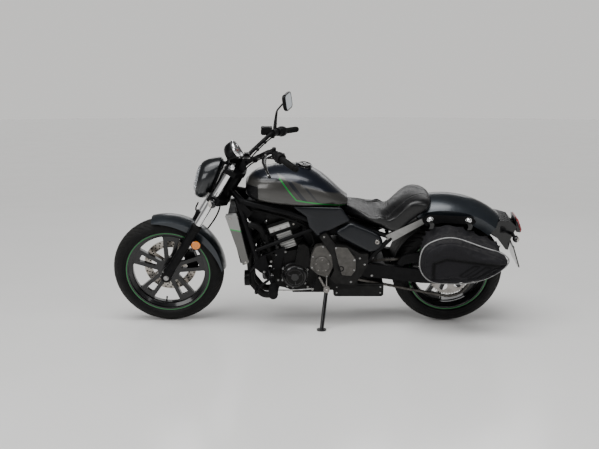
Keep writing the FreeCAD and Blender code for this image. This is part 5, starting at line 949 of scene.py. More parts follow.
@dataclass(frozen=True)
class Finishes:
    """Every finish on the motorcycle."""

    tank: Finish = TankLivery("tank_lacquer", deep=(0.0035, 0.005, 0.010), bright=(0.010, 0.013, 0.022), metallic=0.5,
                              roughness=0.3,
                                coat_roughness=0.14)
    graphite: Finish = Lacquer("graphite_lacquer", deep=(0.008, 0.0105, 0.0135), bright=(0.024, 0.030, 0.037),
                               metallic=0.6, roughness=0.32, coat_roughness=0.2)
    nacelle: Finish = Lacquer("nacelle_lacquer", deep=(0.005, 0.006, 0.007), bright=(0.015, 0.017, 0.019),
                              metallic=0.5, roughness=0.3, coat_roughness=0.12)
    cover: Finish = Lacquer("cover_lacquer", deep=(0.0022, 0.0028, 0.0042), bright=(0.006, 0.0075, 0.0105),
                            metallic=0.4, roughness=0.32, coat=0.24,
                             coat_roughness=0.14)
    shroud: Finish = ShroudLacquer("shroud_lacquer", deep=(0.075, 0.074, 0.071), bright=(0.12, 0.118, 0.112),
                                   metallic=0.5, roughness=0.34, coat=0.6)
    front_wheel: Finish = WheelLacquer("front_wheel_lacquer", centre=FRONT_AXLE, ring=(232.0, 236.0), side=44.0)
    rear_wheel: Finish = WheelLacquer("rear_wheel_lacquer", centre=REAR_AXLE, ring=(219.5, 223.5), side=58.0)
    gloss: Finish = Lacquer("gloss_black", metallic=0.1, roughness=0.24, coat=0.4, coat_roughness=0.07)
    satin: Finish = Powder("satin_black_powder")
    dark_grey: Finish = Powder("dark_grey_powder", colour=(0.008, 0.008, 0.0078), roughness=0.5)
    chrome: Finish = BareMetal("bright_chrome", colour=(0.78, 0.78, 0.79), stain=(0.6, 0.6, 0.6), stain_share=0.3,
                               roughness=0.08, depth_mm=0.004)
    steel: Finish = BareMetal("ground_steel", colour=(0.3, 0.285, 0.27), stain=(0.17, 0.155, 0.135), roughness=0.32)
    zinc: Finish = BareMetal("zinc_fastener", colour=(0.3, 0.3, 0.3), stain=(0.12, 0.11, 0.09), stain_share=0.6,
                             roughness=0.32)
    polished: Finish = BareMetal("polished_alloy", colour=(0.62, 0.62, 0.62), stain=(0.45, 0.45, 0.44), roughness=0.2)
    brushed: Finish = BareMetal("brushed_alloy", colour=(0.27, 0.27, 0.265), stain=(0.17, 0.165, 0.155),
                                roughness=0.38, brush=(0.3, 0.02, 0.02))
    mirror_glass: Finish = BareMetal("mirror_glass", colour=(0.5, 0.55, 0.6), stain=(0.42, 0.46, 0.5),
                                     stain_share=0.1, roughness=0.02, depth_mm=0.0005)
    chain: Finish = BareMetal("oiled_chain", colour=(0.085, 0.08, 0.075), stain=(0.03, 0.026, 0.022), stain_share=0.7,
                              roughness=0.38)
    front_disc: Finish = DrilledSteel("front_disc_steel", centre=FRONT_AXLE, band=(108, 150))
    rear_disc: Finish = DrilledSteel("rear_disc_steel", centre=REAR_AXLE, band=(91, 125), holes=24)
    case: Finish = CastMetal("engine_case", colour=(0.003, 0.003, 0.003), light=(0.0065, 0.0063, 0.0062),
                             metallic=0.3, roughness=0.36)
    warm_cast: Finish = CastMetal("warm_grey_cast", colour=(0.062, 0.059, 0.055), light=(0.092, 0.088, 0.082),
                                  metallic=0.5, roughness=0.38)
    dark_cast: Finish = CastMetal("dark_cover_cast", colour=(0.0085, 0.0084, 0.0082), light=(0.0155, 0.0152, 0.0148),
                                  metallic=0.4, roughness=0.38)
    cylinder: Finish = CylinderCast("cylinder_cast", colour=(0.0035, 0.0035, 0.0035), light=(0.007, 0.007, 0.0068))
    plastic: Finish = Moulded("grained_plastic")
    smooth_plastic: Finish = Moulded("smooth_plastic", colour=(0.0028, 0.0028, 0.0032), light=(0.006, 0.006, 0.0064),
                                     roughness=0.3, grain_mm=0.02)
    rubber: Finish = Moulded("black_rubber", colour=(0.0034, 0.0034, 0.0034), light=(0.008, 0.008, 0.008),
                             roughness=0.66, grain=900)
    front_tyre: Finish = TyreRubber("front_tyre_rubber", centre=FRONT_AXLE, wall=(250, 262))
    rear_tyre: Finish = TyreRubber("rear_tyre_rubber", centre=REAR_AXLE, wall=(236, 250), crown=292.0)
    vinyl: Finish = SeatVinyl("seat_vinyl")
    cloth: Finish = BagCloth("bag_cloth")
    piping: Finish = BagCloth("piping_cloth", colour=(0.26, 0.26, 0.26), yarn=(0.4, 0.4, 0.4), pitch_mm=0.9)
    thread: Finish = BagCloth("seam_thread", colour=(0.02, 0.02, 0.02), yarn=(0.05, 0.05, 0.05), pitch_mm=0.5)
    clear_lens: Finish = LampLens("clear_lens", transmission=0.85, rib_mm=14.0)
    signal_lens: Finish = LampLens("signal_lens", tint=(0.75, 0.72, 0.68), deep=(0.5, 0.46, 0.42), transmission=0.45,
                                   rib_mm=5.0)
    amber: Finish = LampLens("amber_reflector", tint=(0.78, 0.235, 0.0), deep=(0.55, 0.14, 0.0), transmission=0.0,
                             rib_mm=4.0, roughness=0.14)
    red: Finish = LampLens("red_lens", tint=(0.4, 0.014, 0.02), deep=(0.16, 0.004, 0.008), transmission=0.15,
                           rib_mm=7.0)
    bare_sheet: Finish = BareMetal("bare_sheet", colour=(0.6, 0.6, 0.6), stain=(0.4, 0.4, 0.4), stain_share=0.4,
                                   roughness=0.3)
    blank: Finish = LooseSheet("blank_plate")
    dial: Finish = LooseSheet("dial_card", colour=(0.012, 0.012, 0.013), scuff=(0.02, 0.02, 0.02), roughness=0.5)
    marks: Finish = LooseSheet("dial_marks", colour=(0.22, 0.22, 0.22), scuff=(0.16, 0.16, 0.16))
    needle: Finish = LooseSheet("needle_red", colour=(0.16, 0.01, 0.008), scuff=(0.1, 0.008, 0.006))


# Making


@dataclass
class Workshop:
    """Where pieces are made, dressed, hung on their bodies and logged."""

    frame: dict
    space: BikeSpace
    finishes: Finishes

    def __post_init__(self) -> None:
        """Start with no material wired."""
        self.wired: dict[str, bpy.types.Material] = {}

    def paint(self, finish: Finish) -> bpy.types.Material:
        """The finish's material, wired once."""
        if finish.name not in self.wired:
            self.wired[finish.name] = finish.material(self.space)
        return self.wired[finish.name]

    def dress(self, finish: Finish, *nodes: str) -> None:
        """Give CAD nodes a finish.

        Args:
            finish: the finish.
            nodes: the nodes' names.
        """
        for name in nodes:
            materials = self.frame["nodes"][name].data.materials
            materials.clear()
            materials.append(self.paint(finish))
            log.info("node %s: %s", name, finish.name)

    def hang(self, piece: bpy.types.Object, body: Body, slot: Slot, finish: Finish,
             replaces: Sequence[str] = ()) -> bpy.types.Object:
        """Hang a finished object on a body, hide the CAD nodes it stands for, and log it."""
        piece.data.materials.clear()
        piece.data.materials.append(self.paint(finish))
        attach(piece, body.value)
        if replaces:
            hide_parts(*replaces)
        log.info("piece %s on %s", piece.name, body.value)
        return piece

    def linked(self, name: str, data: bpy.types.ID) -> bpy.types.Object:
        """A new object in the scene."""
        piece = bpy.data.objects.new(name, data)
        bpy.context.scene.collection.objects.link(piece)
        return piece

    def make(self, name: str, skin: Skin, body: Body, slot: Slot, finish: Finish, sharp: float = 32.0,
             replaces: Sequence[str] = ()) -> bpy.types.Object:
        """Make a piece from a surface in the upright bike's millimetres.

        Args:
            name: the piece's name.
            skin: its surface; doubled points are merged and faces turned outwards.
            body: the body that carries it.
            slot: the record's slot; not used.
            finish: its finish.
            sharp: edges turned by more degrees than this stay sharp.
            replaces: the CAD nodes it stands for.

        Returns:
            The object.
        """
        mesh = bpy.data.meshes.new(name)
        mesh.from_pydata(self.space.row(skin.points).tolist(), [], skin.faces)
        work = bmesh.new()
        work.from_mesh(mesh)
        bmesh.ops.remove_doubles(work, verts=work.verts, dist=1e-6)
        bmesh.ops.recalc_face_normals(work, faces=work.faces)
        work.to_mesh(mesh)
        work.free()
        mesh.shade_smooth()
        mesh.set_sharp_from_angle(angle=math.radians(sharp))
        return self.hang(self.linked(name, mesh), body, slot, finish, replaces)


# Sub-assemblies


@dataclass
class Cords:
    """The brake hose and the clutch cable, each one smooth curve whose control points repeat the CAD route."""

    shop: Workshop
    hose_points: tuple[Point, ...] = ((295.97, 52.5, 740.36), (302.0, 72.0, 690.0), (272.0, 112.0, 590.0),
                                      (182.0, 112.0, 470.0), (136.0, 78.0, 384.0))
    cable_points: tuple[Point, ...] = ((649.36, -268.84, 1044.91), (500.03, -190.0, 1035.4), (358.18, -78.0, 999.28),
                                       (295.34, -73.0, 883.06), (265.79, -72.0, 802.82))
    hose_mm: float = 9.0
    cable_mm: float = 8.0
    hose_length: float = 0.415
    cable_length: float = 0.56

    def curve(self, name: str, points: Sequence[Point], diameter: float) -> bpy.types.Object:
        """A cord on a cubic-like spline: a NURBS curve of order 3 that starts and ends at its end points."""
        data = bpy.data.curves.new(name, "CURVE")
        data.dimensions = "3D"
        data.bevel_depth = diameter / 2000
        data.bevel_resolution = 3
        data.resolution_u = 24
        data.use_fill_caps = True
        spline = data.splines.new("NURBS")
        spline.points.add(len(points) - 1)
        places = self.shop.space.row(np.array(points))
        spline.points.foreach_set("co", np.hstack([places, np.ones((len(places), 1))]).ravel())
        spline.order_u = 3
        spline.use_endpoint_u = True
        return self.shop.linked(name, data)

    def build(self) -> None:
        cords = (("brake_hose", self.hose_points, self.hose_mm, self.hose_length, "medium"),
                 ("clutch_cable", self.cable_points, self.cable_mm, self.cable_length, "stiff"))
        for name, points, diameter, length, stiffness in cords:
            cord = self.curve(name, points, diameter)
            self.shop.hang(cord, Body.STEERING, Slot.RUBBER, self.shop.finishes.rubber, ("cables",))
            tuple(self.shop.space.row(np.array(points[0])))
            diameter / 1000


@dataclass
class Tyre:
    """A tyre with its road tread, closed right round its section."""

    shop: Workshop
    name: str
    body: Body
    finish: Finish
    centre: Flat
    radius: float
    half_width: float
    drop: float
    bead_radius: float
    bead_half_width: float
    wall: float = 9.0
    pitches: int = 28
    groove_depth: float = 4.5
    groove_half_width: float = 4.2
    sweep_share: float = 1.3
    slant: float = 0.62
    turns: int = 560
    wall_points: int = 9
    crown_points: int = 65

    @staticmethod
    def arc(a: Flat, m: Flat, b: Flat, count: int) -> np.ndarray:
        """Points on the circle through three flat points, from a by way of m to b."""
        a, m, b = np.array(a), np.array(m), np.array(b)
        system = 2 * np.array([m - a, b - a])
        centre = np.linalg.solve(system, np.array([m @ m - a @ a, b @ b - a @ a]))
        angle = np.unwrap(np.arctan2(*(np.array([a, m, b]) - centre).T[::-1]))
        t = np.interp(np.linspace(0, 1, count), [0, 0.5, 1], angle)
        r = np.linalg.norm(a - centre)
        return centre + r * np.stack([np.cos(t), np.sin(t)], 1)

    def section(self) -> np.ndarray:
        """The section's (radius, y) loop: left wall, crown, right wall, and the inner face back."""
        shoulder = self.radius - self.drop
        middle = (shoulder + self.bead_radius) / 2
        w, b, t = self.half_width, self.bead_half_width, self.wall
        left = self.arc((self.bead_radius, -b), (middle, 0.5 - w), (shoulder, -w), self.wall_points)
        crown = self.arc((shoulder, -w), (self.radius, 0), (shoulder, w), self.crown_points)
        right = left[::-1] * np.array([1, -1])
        inner = self.arc((shoulder, w - t), (self.radius - t, 0), (shoulder, t - w), self.wall_points)
        lips = np.array([(self.bead_radius, b - t)]), np.array([(self.bead_radius, t - b)])
        return np.vstack([left, crown[1:-1], right, lips[0], inner, lips[1]])

    def grooves(self, turn: np.ndarray, across: np.ndarray) -> np.ndarray:
        """Groove share at an angle and a lateral share s from -1 to 1.

        Swept grooves lie where turn/pitch + sweep |s|^1.4 + side/2 is whole; short ones lie half a pitch on.
        """
        side = np.where(across > 0, 0.5, 0.0)
        phase = turn * self.pitches / (2 * np.pi) + self.sweep_share * np.abs(across) ** 1.4 + side
        pitch = 2 * np.pi * self.radius / self.pitches

        def cut(shift: float, low: float, high: float, width: float) -> np.ndarray:
            """One set of grooves between two lateral shares."""
            gap = np.abs(phase + shift - np.round(phase + shift)) * pitch * self.slant
            window = eased((np.abs(across) - low) / 0.06) * eased((high - np.abs(across)) / 0.1)
            return eased((width - gap) / 2.4 + 0.5) * window

        return np.maximum(cut(0.0, 0.09, 0.86, self.groove_half_width),
                          cut(0.5, 0.5, 0.97, self.groove_half_width * 0.7))

    def build(self) -> None:
        """Make the tyre: the section turned about the axle, pressed in along the radius where a groove lies."""
        section = self.section()
        turn = np.linspace(0, 2 * np.pi, self.turns, endpoint=False)[:, None]
        radius, y = section[None, :, 0], section[None, :, 1]
        outer = np.arange(len(section))[None] < 2 * self.wall_points + self.crown_points - 2
        share = np.clip(y / self.half_width, -1, 1)
        depth = self.groove_depth * self.grooves(turn, share) * outer * (radius > self.radius - self.drop - 1)
        r = radius - depth
        grid = np.stack([self.centre[0] + r * np.cos(turn), np.broadcast_to(y, r.shape),
                         self.centre[1] + r * np.sin(turn)], -1)
        self.shop.make(self.name + "_treaded", woven(grid, wrap_rows=True), self.body, Slot.TYRE, self.finish, 50,
                       (self.name,))


@dataclass
class Padding:
    """Soft forms: a CAD solid's copy remeshed evenly, swollen by a cloth simulation and subdivided once."""

    shop: Workshop
    voxel: float = 0.0058
    shrink: float = 0.0025
    pressure: float = 4.0
    cap: float = 0.010
    frames: int = 20

    def merged(self, node: str) -> bpy.types.Mesh:
        """A CAD node's triangles with their doubled points merged."""
        source = self.shop.frame["nodes"][node].data
        co = np.empty(len(source.vertices) * 3, np.float32)
        source.vertices.foreach_get("co", co)
        corners = np.empty(len(source.loops), np.int32)
        source.loops.foreach_get("vertex_index", corners)
        _, first, back = np.unique(np.round(co.reshape(-1, 3) * 1e5).astype(np.int64), axis=0, return_index=True,
                                   return_inverse=True)
        faces = back.ravel()[corners].reshape(-1, 3)
        whole = (faces[:, 0] != faces[:, 1]) & (faces[:, 1] != faces[:, 2]) & (faces[:, 0] != faces[:, 2])
        mesh = bpy.data.meshes.new(node + "_core")
        mesh.from_pydata(co.reshape(-1, 3)[first].tolist(), [], faces[whole].tolist())
        return mesh

    def settled(self, piece: bpy.types.Object) -> bpy.types.Mesh:
        """The mesh of a piece with its modifiers applied."""
        graph = bpy.context.evaluated_depsgraph_get()
        graph.update()
        return bpy.data.meshes.new_from_object(piece.evaluated_get(graph))

    @staticmethod
    def points(mesh: bpy.types.Mesh) -> np.ndarray:
        """A mesh's points."""
        co = np.empty(len(mesh.vertices) * 3, np.float32)
        mesh.vertices.foreach_get("co", co)
        return co.reshape(-1, 3).astype(float)

    @staticmethod
    def normals(mesh: bpy.types.Mesh) -> np.ndarray:
        """A mesh's point normals."""
        way = np.empty(len(mesh.vertices) * 3, np.float32)
        mesh.vertex_normals.foreach_get("vector", way)
        return way.reshape(-1, 3).astype(float)

    @staticmethod
    def put(mesh: bpy.types.Mesh, points: np.ndarray) -> None:
        """Put points back into a mesh."""
        mesh.vertices.foreach_set("co", points.astype(np.float32).ravel())
        mesh.update()

    def modified(self, mesh: bpy.types.Mesh, kind: str, **settings: object) -> bpy.types.Mesh:
        """A mesh with one modifier applied."""
        piece = self.shop.linked("soft_work", mesh)
        modifier = piece.modifiers.new("work", kind)
        for key, value in settings.items():
            setattr(modifier, key, value)
        done = self.settled(piece)
        bpy.data.objects.remove(piece)
        return done

    def swollen(self, mesh: bpy.types.Mesh, hold: Callable[[np.ndarray], np.ndarray]) -> np.ndarray:
        """Points after the cloth has swollen under pressure, without gravity, each move capped and held."""
        rest = self.points(mesh)
        piece = self.shop.linked("soft_cloth", mesh)
        cloth = piece.modifiers.new("Cloth", "CLOTH")
        cloth.settings.use_pressure = True
        cloth.settings.uniform_pressure_force = self.pressure
        cloth.settings.effector_weights.gravity = 0.0
        cloth.settings.quality = 4
        cloth.collision_settings.use_collision = False
        cloth.point_cache.frame_start, cloth.point_cache.frame_end = 1, self.frames
        scene = bpy.context.scene
        for step in range(1, self.frames + 1):
            scene.frame_set(step)
        moved = self.points(self.settled(piece))
        scene.frame_set(1)
        bpy.data.objects.remove(piece)
        way = moved - rest
        size = np.linalg.norm(way, axis=1, keepdims=True)
        return rest + way * np.minimum(1, self.cap / np.maximum(size, 1e-9)) * hold(rest)[:, None]

    def form(self, node: str, hold: Callable[[np.ndarray], np.ndarray], taut: int = 2) -> bpy.types.Mesh:
        """A padded copy of a CAD node.

        Args:
            node: the CAD node.
            hold: how freely each point may move, from 0 to 1, given the points in row metres.
            taut: how many times the swollen cover is smoothed.

        Returns:
            The mesh, before its seams.
        """
        mesh = self.modified(self.merged(node), "REMESH", mode="VOXEL", voxel_size=self.voxel)
        start = self.points(mesh)
        self.put(mesh, start - self.normals(mesh) * self.shrink)
        self.put(mesh, self.swollen(mesh, hold))
        mesh = self.modified(mesh, "SMOOTH", factor=0.5, iterations=taut)
        return self.modified(mesh, "SUBSURF", levels=1, render_levels=1)

    def pressed(self, mesh: bpy.types.Mesh, lift: Callable[[np.ndarray, np.ndarray], np.ndarray]) -> None:
        """Move each point along its normal by lift(points, normals), both upright, in millimetres."""
        space = self.shop.space
        places, ways = self.points(mesh), self.normals(mesh)
        rise = lift(space.upright(places), space.unleaned(ways))
        self.put(mesh, places + ways * rise[:, None] / 1000)

    def finished(self, name: str, mesh: bpy.types.Mesh, node: str, slot: Slot, finish: Finish,
                 fill: float) -> bpy.types.Object:
        mesh.name = name
        mesh.shade_smooth()
        piece = self.shop.hang(self.shop.linked(name, mesh), Body.FRAME, slot, finish, (node,))
        return piece


@dataclass
class Stitching:
    """Rows of thread stitches laid on a soft piece where a ray meets it."""

    shop: Workshop
    radius: float = 0.9
    length: float = 5.2

    def build(self, name: str, target: bpy.types.Object, starts: np.ndarray, way: Point) -> None:
        """Lay stitches along the places where rays from starts meet the target.

        Args:
            name: the piece's name.
            target: the soft piece.
            starts: points in the upright bike's millimetres.
            way: the rays' direction there.
        """
        space = self.shop.space
        origins = space.row(starts)
        aim = Vector(space.row(np.array(way)) - space.row(np.zeros(3))).normalized()
        hits = [target.ray_cast(Vector(p), aim) for p in origins]
        found = np.array([tuple(h[1]) for h in hits if h[0]])
        if len(found) < 8:
            log.info("stitches %s: no line found", name)
            return
        line = space.upright(found)
        line[1:-1] = (line[:-2] + 2 * line[1:-1] + line[2:]) / 4
        far = np.concatenate([[0], np.cumsum(np.linalg.norm(np.diff(line, axis=0), axis=1))])
        count = max(2, int(far[-1] / (self.length * 1.45)))
        middles = (np.arange(count) + 0.5) * far[-1] / count
        share = np.linspace(-0.5, 0.5, 5) * self.length
        at = middles[:, None] + share[None]
        grid = np.stack([np.interp(at, far, line[:, k]) for k in range(3)], -1)
        stitches = [sweep(run, self.radius * np.array([0.4, 1, 1.1, 1, 0.4]), 6,
                          up=(0.31, 0.9, 0.29)) for run in grid]
        self.shop.make(name, all_of(stitches), Body.FRAME, Slot.VINYL, self.shop.finishes.thread, 80)


@dataclass
class Seat:
    """The saddle: a swollen cover with a sunk middle panel, side seams and a cross seam."""

    shop: Workshop
    padding: Padding
    panel_half_width: float = 112.0
    seam_depth: float = 1.0
    seam_half_width: float = 3.0
    cross_x: float = 1222.0
    cross_bow: float = 0.0011
    hold: float = 0.2
    smoothing: int = 24
    narrowing: float = 0.14
    soft: float = 5.0
    stitch_gap: float = 5.0
    cross_gap: float = 6.0
    above: float = 1000.0
    top_line: tuple[Flat, ...] = ((960, 726), (1013, 724), (1046, 712), (1085, 694), (1118, 679), (1151, 675),
                                  (1189, 688), (1211, 704), (1240, 730), (1300, 810))

    def seam_y(self, x: np.ndarray) -> np.ndarray:
        """Half width of the middle panel: narrow at the nose, widest under the rider, narrower behind."""
        share = np.clip((x - 985) / 473, 0, 1)
        swell = np.sin(np.pi * np.clip(share * 1.12, 0, 1)) ** 0.8
        return self.panel_half_width * (0.52 + 0.62 * swell - 0.18 * share)

    def lift(self, places: np.ndarray, ways: np.ndarray) -> np.ndarray:
        """Seams press in as Gaussians of the distance from their lines; the panel between them sinks a little."""
        x, y, _ = places.T
        top = eased((ways[:, 2] - 0.05) / 0.3)
        off = np.abs(y) - self.seam_y(x)
        seam = np.exp(-(off / self.seam_half_width) ** 2)
        puff = 0.3 * np.exp(-((off - 13) / 9) ** 2) + 0.2 * np.exp(-((off + 13) / 9) ** 2)
        cross = np.exp(-((x - self.cross_x - self.cross_bow * y ** 2) / self.seam_half_width) ** 2) * (off < 0)
        where = np.exp(-((np.abs(y) - 118) / 26) ** 2) * np.exp(-((x - 1180) / 60) ** 2)
        wrinkles = 0.4 * np.sin(x / 9 + 1.5 * np.sin(y / 17)) * where
        return top * (puff - self.seam_depth * np.maximum(seam, cross)) + wrinkles

    def nose(self, places: np.ndarray, up: np.ndarray) -> np.ndarray:
        """Draw the nose in and bring its rim and top to the photographed top line.

        Args:
            places: points in the upright bike's millimetres.
            up: how far each point looks up, from 0 to 1.

        Returns:
            The points moved: y' = y (1 - narrowing n), and with the top line t and softness s, z sinks by
            s ln(1 + exp((z - t) / s)) and rises by s ln(1 + exp((t - 3 - z) / s)) where the cover looks up.
        """
        x, y, z = places.T
        n = eased((1150 - x) / 150) * eased((z - 600) / 70)
        top = np.interp(x, *np.array(self.top_line).T)
        over = self.soft * np.logaddexp(0.0, (z - top) / self.soft)
        under = self.soft * np.logaddexp(0.0, (top - 3 - z) / self.soft) * up
        shift = (under * eased((1215 - x) / 60) - over) * eased((1290 - x) / 40)
        return np.stack([x, y * (1 - self.narrowing * n), z + shift], 1)

    def build(self) -> None:
        """Swell the seat, shape its nose, press its seams and lay its stitches."""
        mesh = self.padding.form("seat", lambda p: np.full(len(p), self.hold), self.smoothing)
        space = self.shop.space
        up = eased((space.unleaned(self.padding.normals(mesh))[:, 2] - 0.1) / 0.4)
        self.padding.put(mesh, space.row(self.nose(space.upright(self.padding.points(mesh)), up)))
        self.padding.pressed(mesh, self.lift)
        piece = self.padding.finished("seat_cover", mesh, "seat", Slot.VINYL, self.shop.finishes.vinyl, 0.75)
        stitching = Stitching(self.shop)
        x = np.linspace(1010, 1425, 90)
        for side, word in ((-1, "left"), (1, "right")):
            starts = np.stack([x, side * (self.seam_y(x) - self.stitch_gap), np.full_like(x, self.above)], 1)
            stitching.build(f"seat_stitches_{word}", piece, starts, (0, 0, -1))
        y = np.linspace(-70, 70, 40)
        for step, word in ((-self.cross_gap, "fore"), (self.cross_gap, "aft")):
            starts = np.stack([self.cross_x + self.cross_bow * y ** 2 + step, y, np.full_like(y, self.above)], 1)
            stitching.build(f"seat_stitches_cross_{word}", piece, starts, (0, 0, -1))


@dataclass
class Saddlebag:
    """A soft saddlebag: swollen cloth, a sunk field with ribs on its lid, painted shade on the field's slope and the
    ribs' feet, light piping, a zip and loose folds.
    """

    shop: Workshop
    padding: Padding
    side: int
    corner: Flat = (1379.0, 363.0)
    length: float = 469.0
    height: float = 264.0
    outline: tuple[Flat, ...] = ((0.0, 0.5), (0.02, 0.28), (0.12, 0.07), (0.32, 0.0), (0.54, 0.01), (0.76, 0.11),
                                 (0.92, 0.29), (1.0, 0.48),
                                 (0.95, 0.62), (0.67, 0.81), (0.36, 0.99), (0.17, 0.94), (0.04, 0.78))
    inner_y: float = 161.0
    lid_y: float = 296.0
    face_y: float = 344.0
    piping_radius: float = 3.4
    recess: tuple[Flat, ...] = ((1440, 300), (1440, 500), (1512, 526), (1560, 520), (1812, 486), (1900, 430),
                                (1760, 300))
    recess_depth: float = 15.0
    recess_slope: float = 24.0
    ribs: tuple[tuple[Flat, ...], ...] = (((1592, 424), (1660, 476), (1684, 474), (1612, 421)),
                                          ((1640, 404), (1722, 468), (1748, 466), (1662, 403)),
                                          ((1690, 404), (1776, 462), (1800, 460), (1716, 408)))
    rib_rise: float = 4.5

    @property
    def word(self) -> str:
        """The side's word."""
        return "left" if self.side < 0 else "right"

    def ring(self, y: float, share: float, lift: float, count: int = 200) -> np.ndarray:
        """One closed station of the bag at a distance from the bike's middle."""
        mid = np.array([self.corner[0] + self.length / 2, self.corner[1] + self.height / 2])
        parts = np.array(self.outline)
        flat = mid + (parts - 0.5) * np.array([self.length, self.height]) * share + parts * np.array([0, lift])
        return round_loop(np.insert(flat, 1, self.side * y, axis=1), count)

    def hold(self, points: np.ndarray) -> np.ndarray:
        """Cloth is held at the inner wall and free towards the lid."""
        y = np.abs(self.shop.space.upright(points)[:, 1])
        return eased((y - self.inner_y) / 30)

    def lift(self, places: np.ndarray, ways: np.ndarray) -> np.ndarray:
        """The lid's lower field is sunk, with ribs; a channel lies inside the piping; the top sags in folds."""
        x, y, z = places.T
        wide = np.abs(y)
        flat = np.stack([x, z], 1)
        rise = -self.recess_depth * eased(edge_distance(flat, np.array(self.recess, float)) / self.recess_slope + 0.5)
        for rib in self.ribs:
            rise += self.rib_rise * eased(edge_distance(flat, np.array(rib, float)) / 5 + 0.5)
        lid = edge_distance(flat, self.ring(self.lid_y, 0.985, 0, 80)[:, [0, 2]])
        channel = -2.6 * np.exp(-((lid - 15) / 3.5) ** 2) * (wide > self.lid_y - 6)
        between = eased((self.lid_y - 4 - wide) / 24) * eased((wide - self.inner_y - 6) / 24)
        top = eased((ways[:, 2] - 0.25) / 0.4) * between
        long = 4.6 * np.sin(x / 21 + 1.7 * np.sin(wide / 23) + 0.8)
        short = 3.0 * np.sin(x / 9.3 + wide / 12 + 2.0 * np.sin(x / 37))
        return self.outward(ways) * rise + channel + top * (long + short - 4.5)

    @staticmethod
    def outward(ways: np.ndarray) -> np.ndarray:
        """How far each point looks sideways, from 0 to 1."""
        return eased((np.abs(ways[:, 1]) - 0.5) / 0.3)

    def shade(self, places: np.ndarray, ways: np.ndarray) -> np.ndarray:
        """Painted shade on the cloth, from 0 to 1: on the slope into the sunk field, which faces down away from the
        light, and round the ribs' feet, where shade falls.
        """
        flat = places[:, [0, 2]]
        inside = edge_distance(flat, np.array(self.recess, float))
        slope = 0.92 * eased((inside + 10) / 14) * eased((26 - inside) / 16)
        for rib in self.ribs:
            foot = edge_distance(flat, np.array(rib, float)) + 2.5
            slope = np.maximum(slope, 0.85 * np.exp(-(foot / 5.0) ** 2))
        return slope * self.outward(ways)

    def trim(self) -> None:
        """Piping on the lid's edge and the zip below it."""
        f = self.shop.finishes
        piping = sweep(self.ring(self.lid_y + 7, 1.008, 0.5, 260), self.piping_radius, 10, closed=True)
        self.shop.make(f"bag_piping_{self.word}", piping, Body.FRAME, Slot.CLOTH, f.piping, 60)
        ring = self.ring(self.lid_y - 12, 1.0, 0.5, 420)
        teeth = lathes(ring[::2], (0, 1, 0), [(-2.6, 1.5), (2.6, 1.5)], 5)
        self.shop.make(f"bag_zip_{self.word}", teeth, Body.FRAME, Slot.CLOTH, f.thread, 40)

    def build(self) -> None:
        """Swell the bag, paint shade into its shade attribute, press its panels and folds, and add its trim."""
        node = f"saddlebag_{self.word}"
        mesh = self.padding.form(node, self.hold)
        space = self.shop.space
        shade = self.shade(space.upright(self.padding.points(mesh)), space.unleaned(self.padding.normals(mesh)))
        self.padding.pressed(mesh, self.lift)
        # the painted shade is stored on the points, for the cloth's material to darken
        mesh.attributes.new("shade", "FLOAT", "POINT").data.foreach_set("value", shade.astype(np.float32))
        self.padding.finished(f"bag_shell_{self.word}", mesh, node, Slot.CLOTH, self.shop.finishes.cloth, 0.6)
        self.trim()


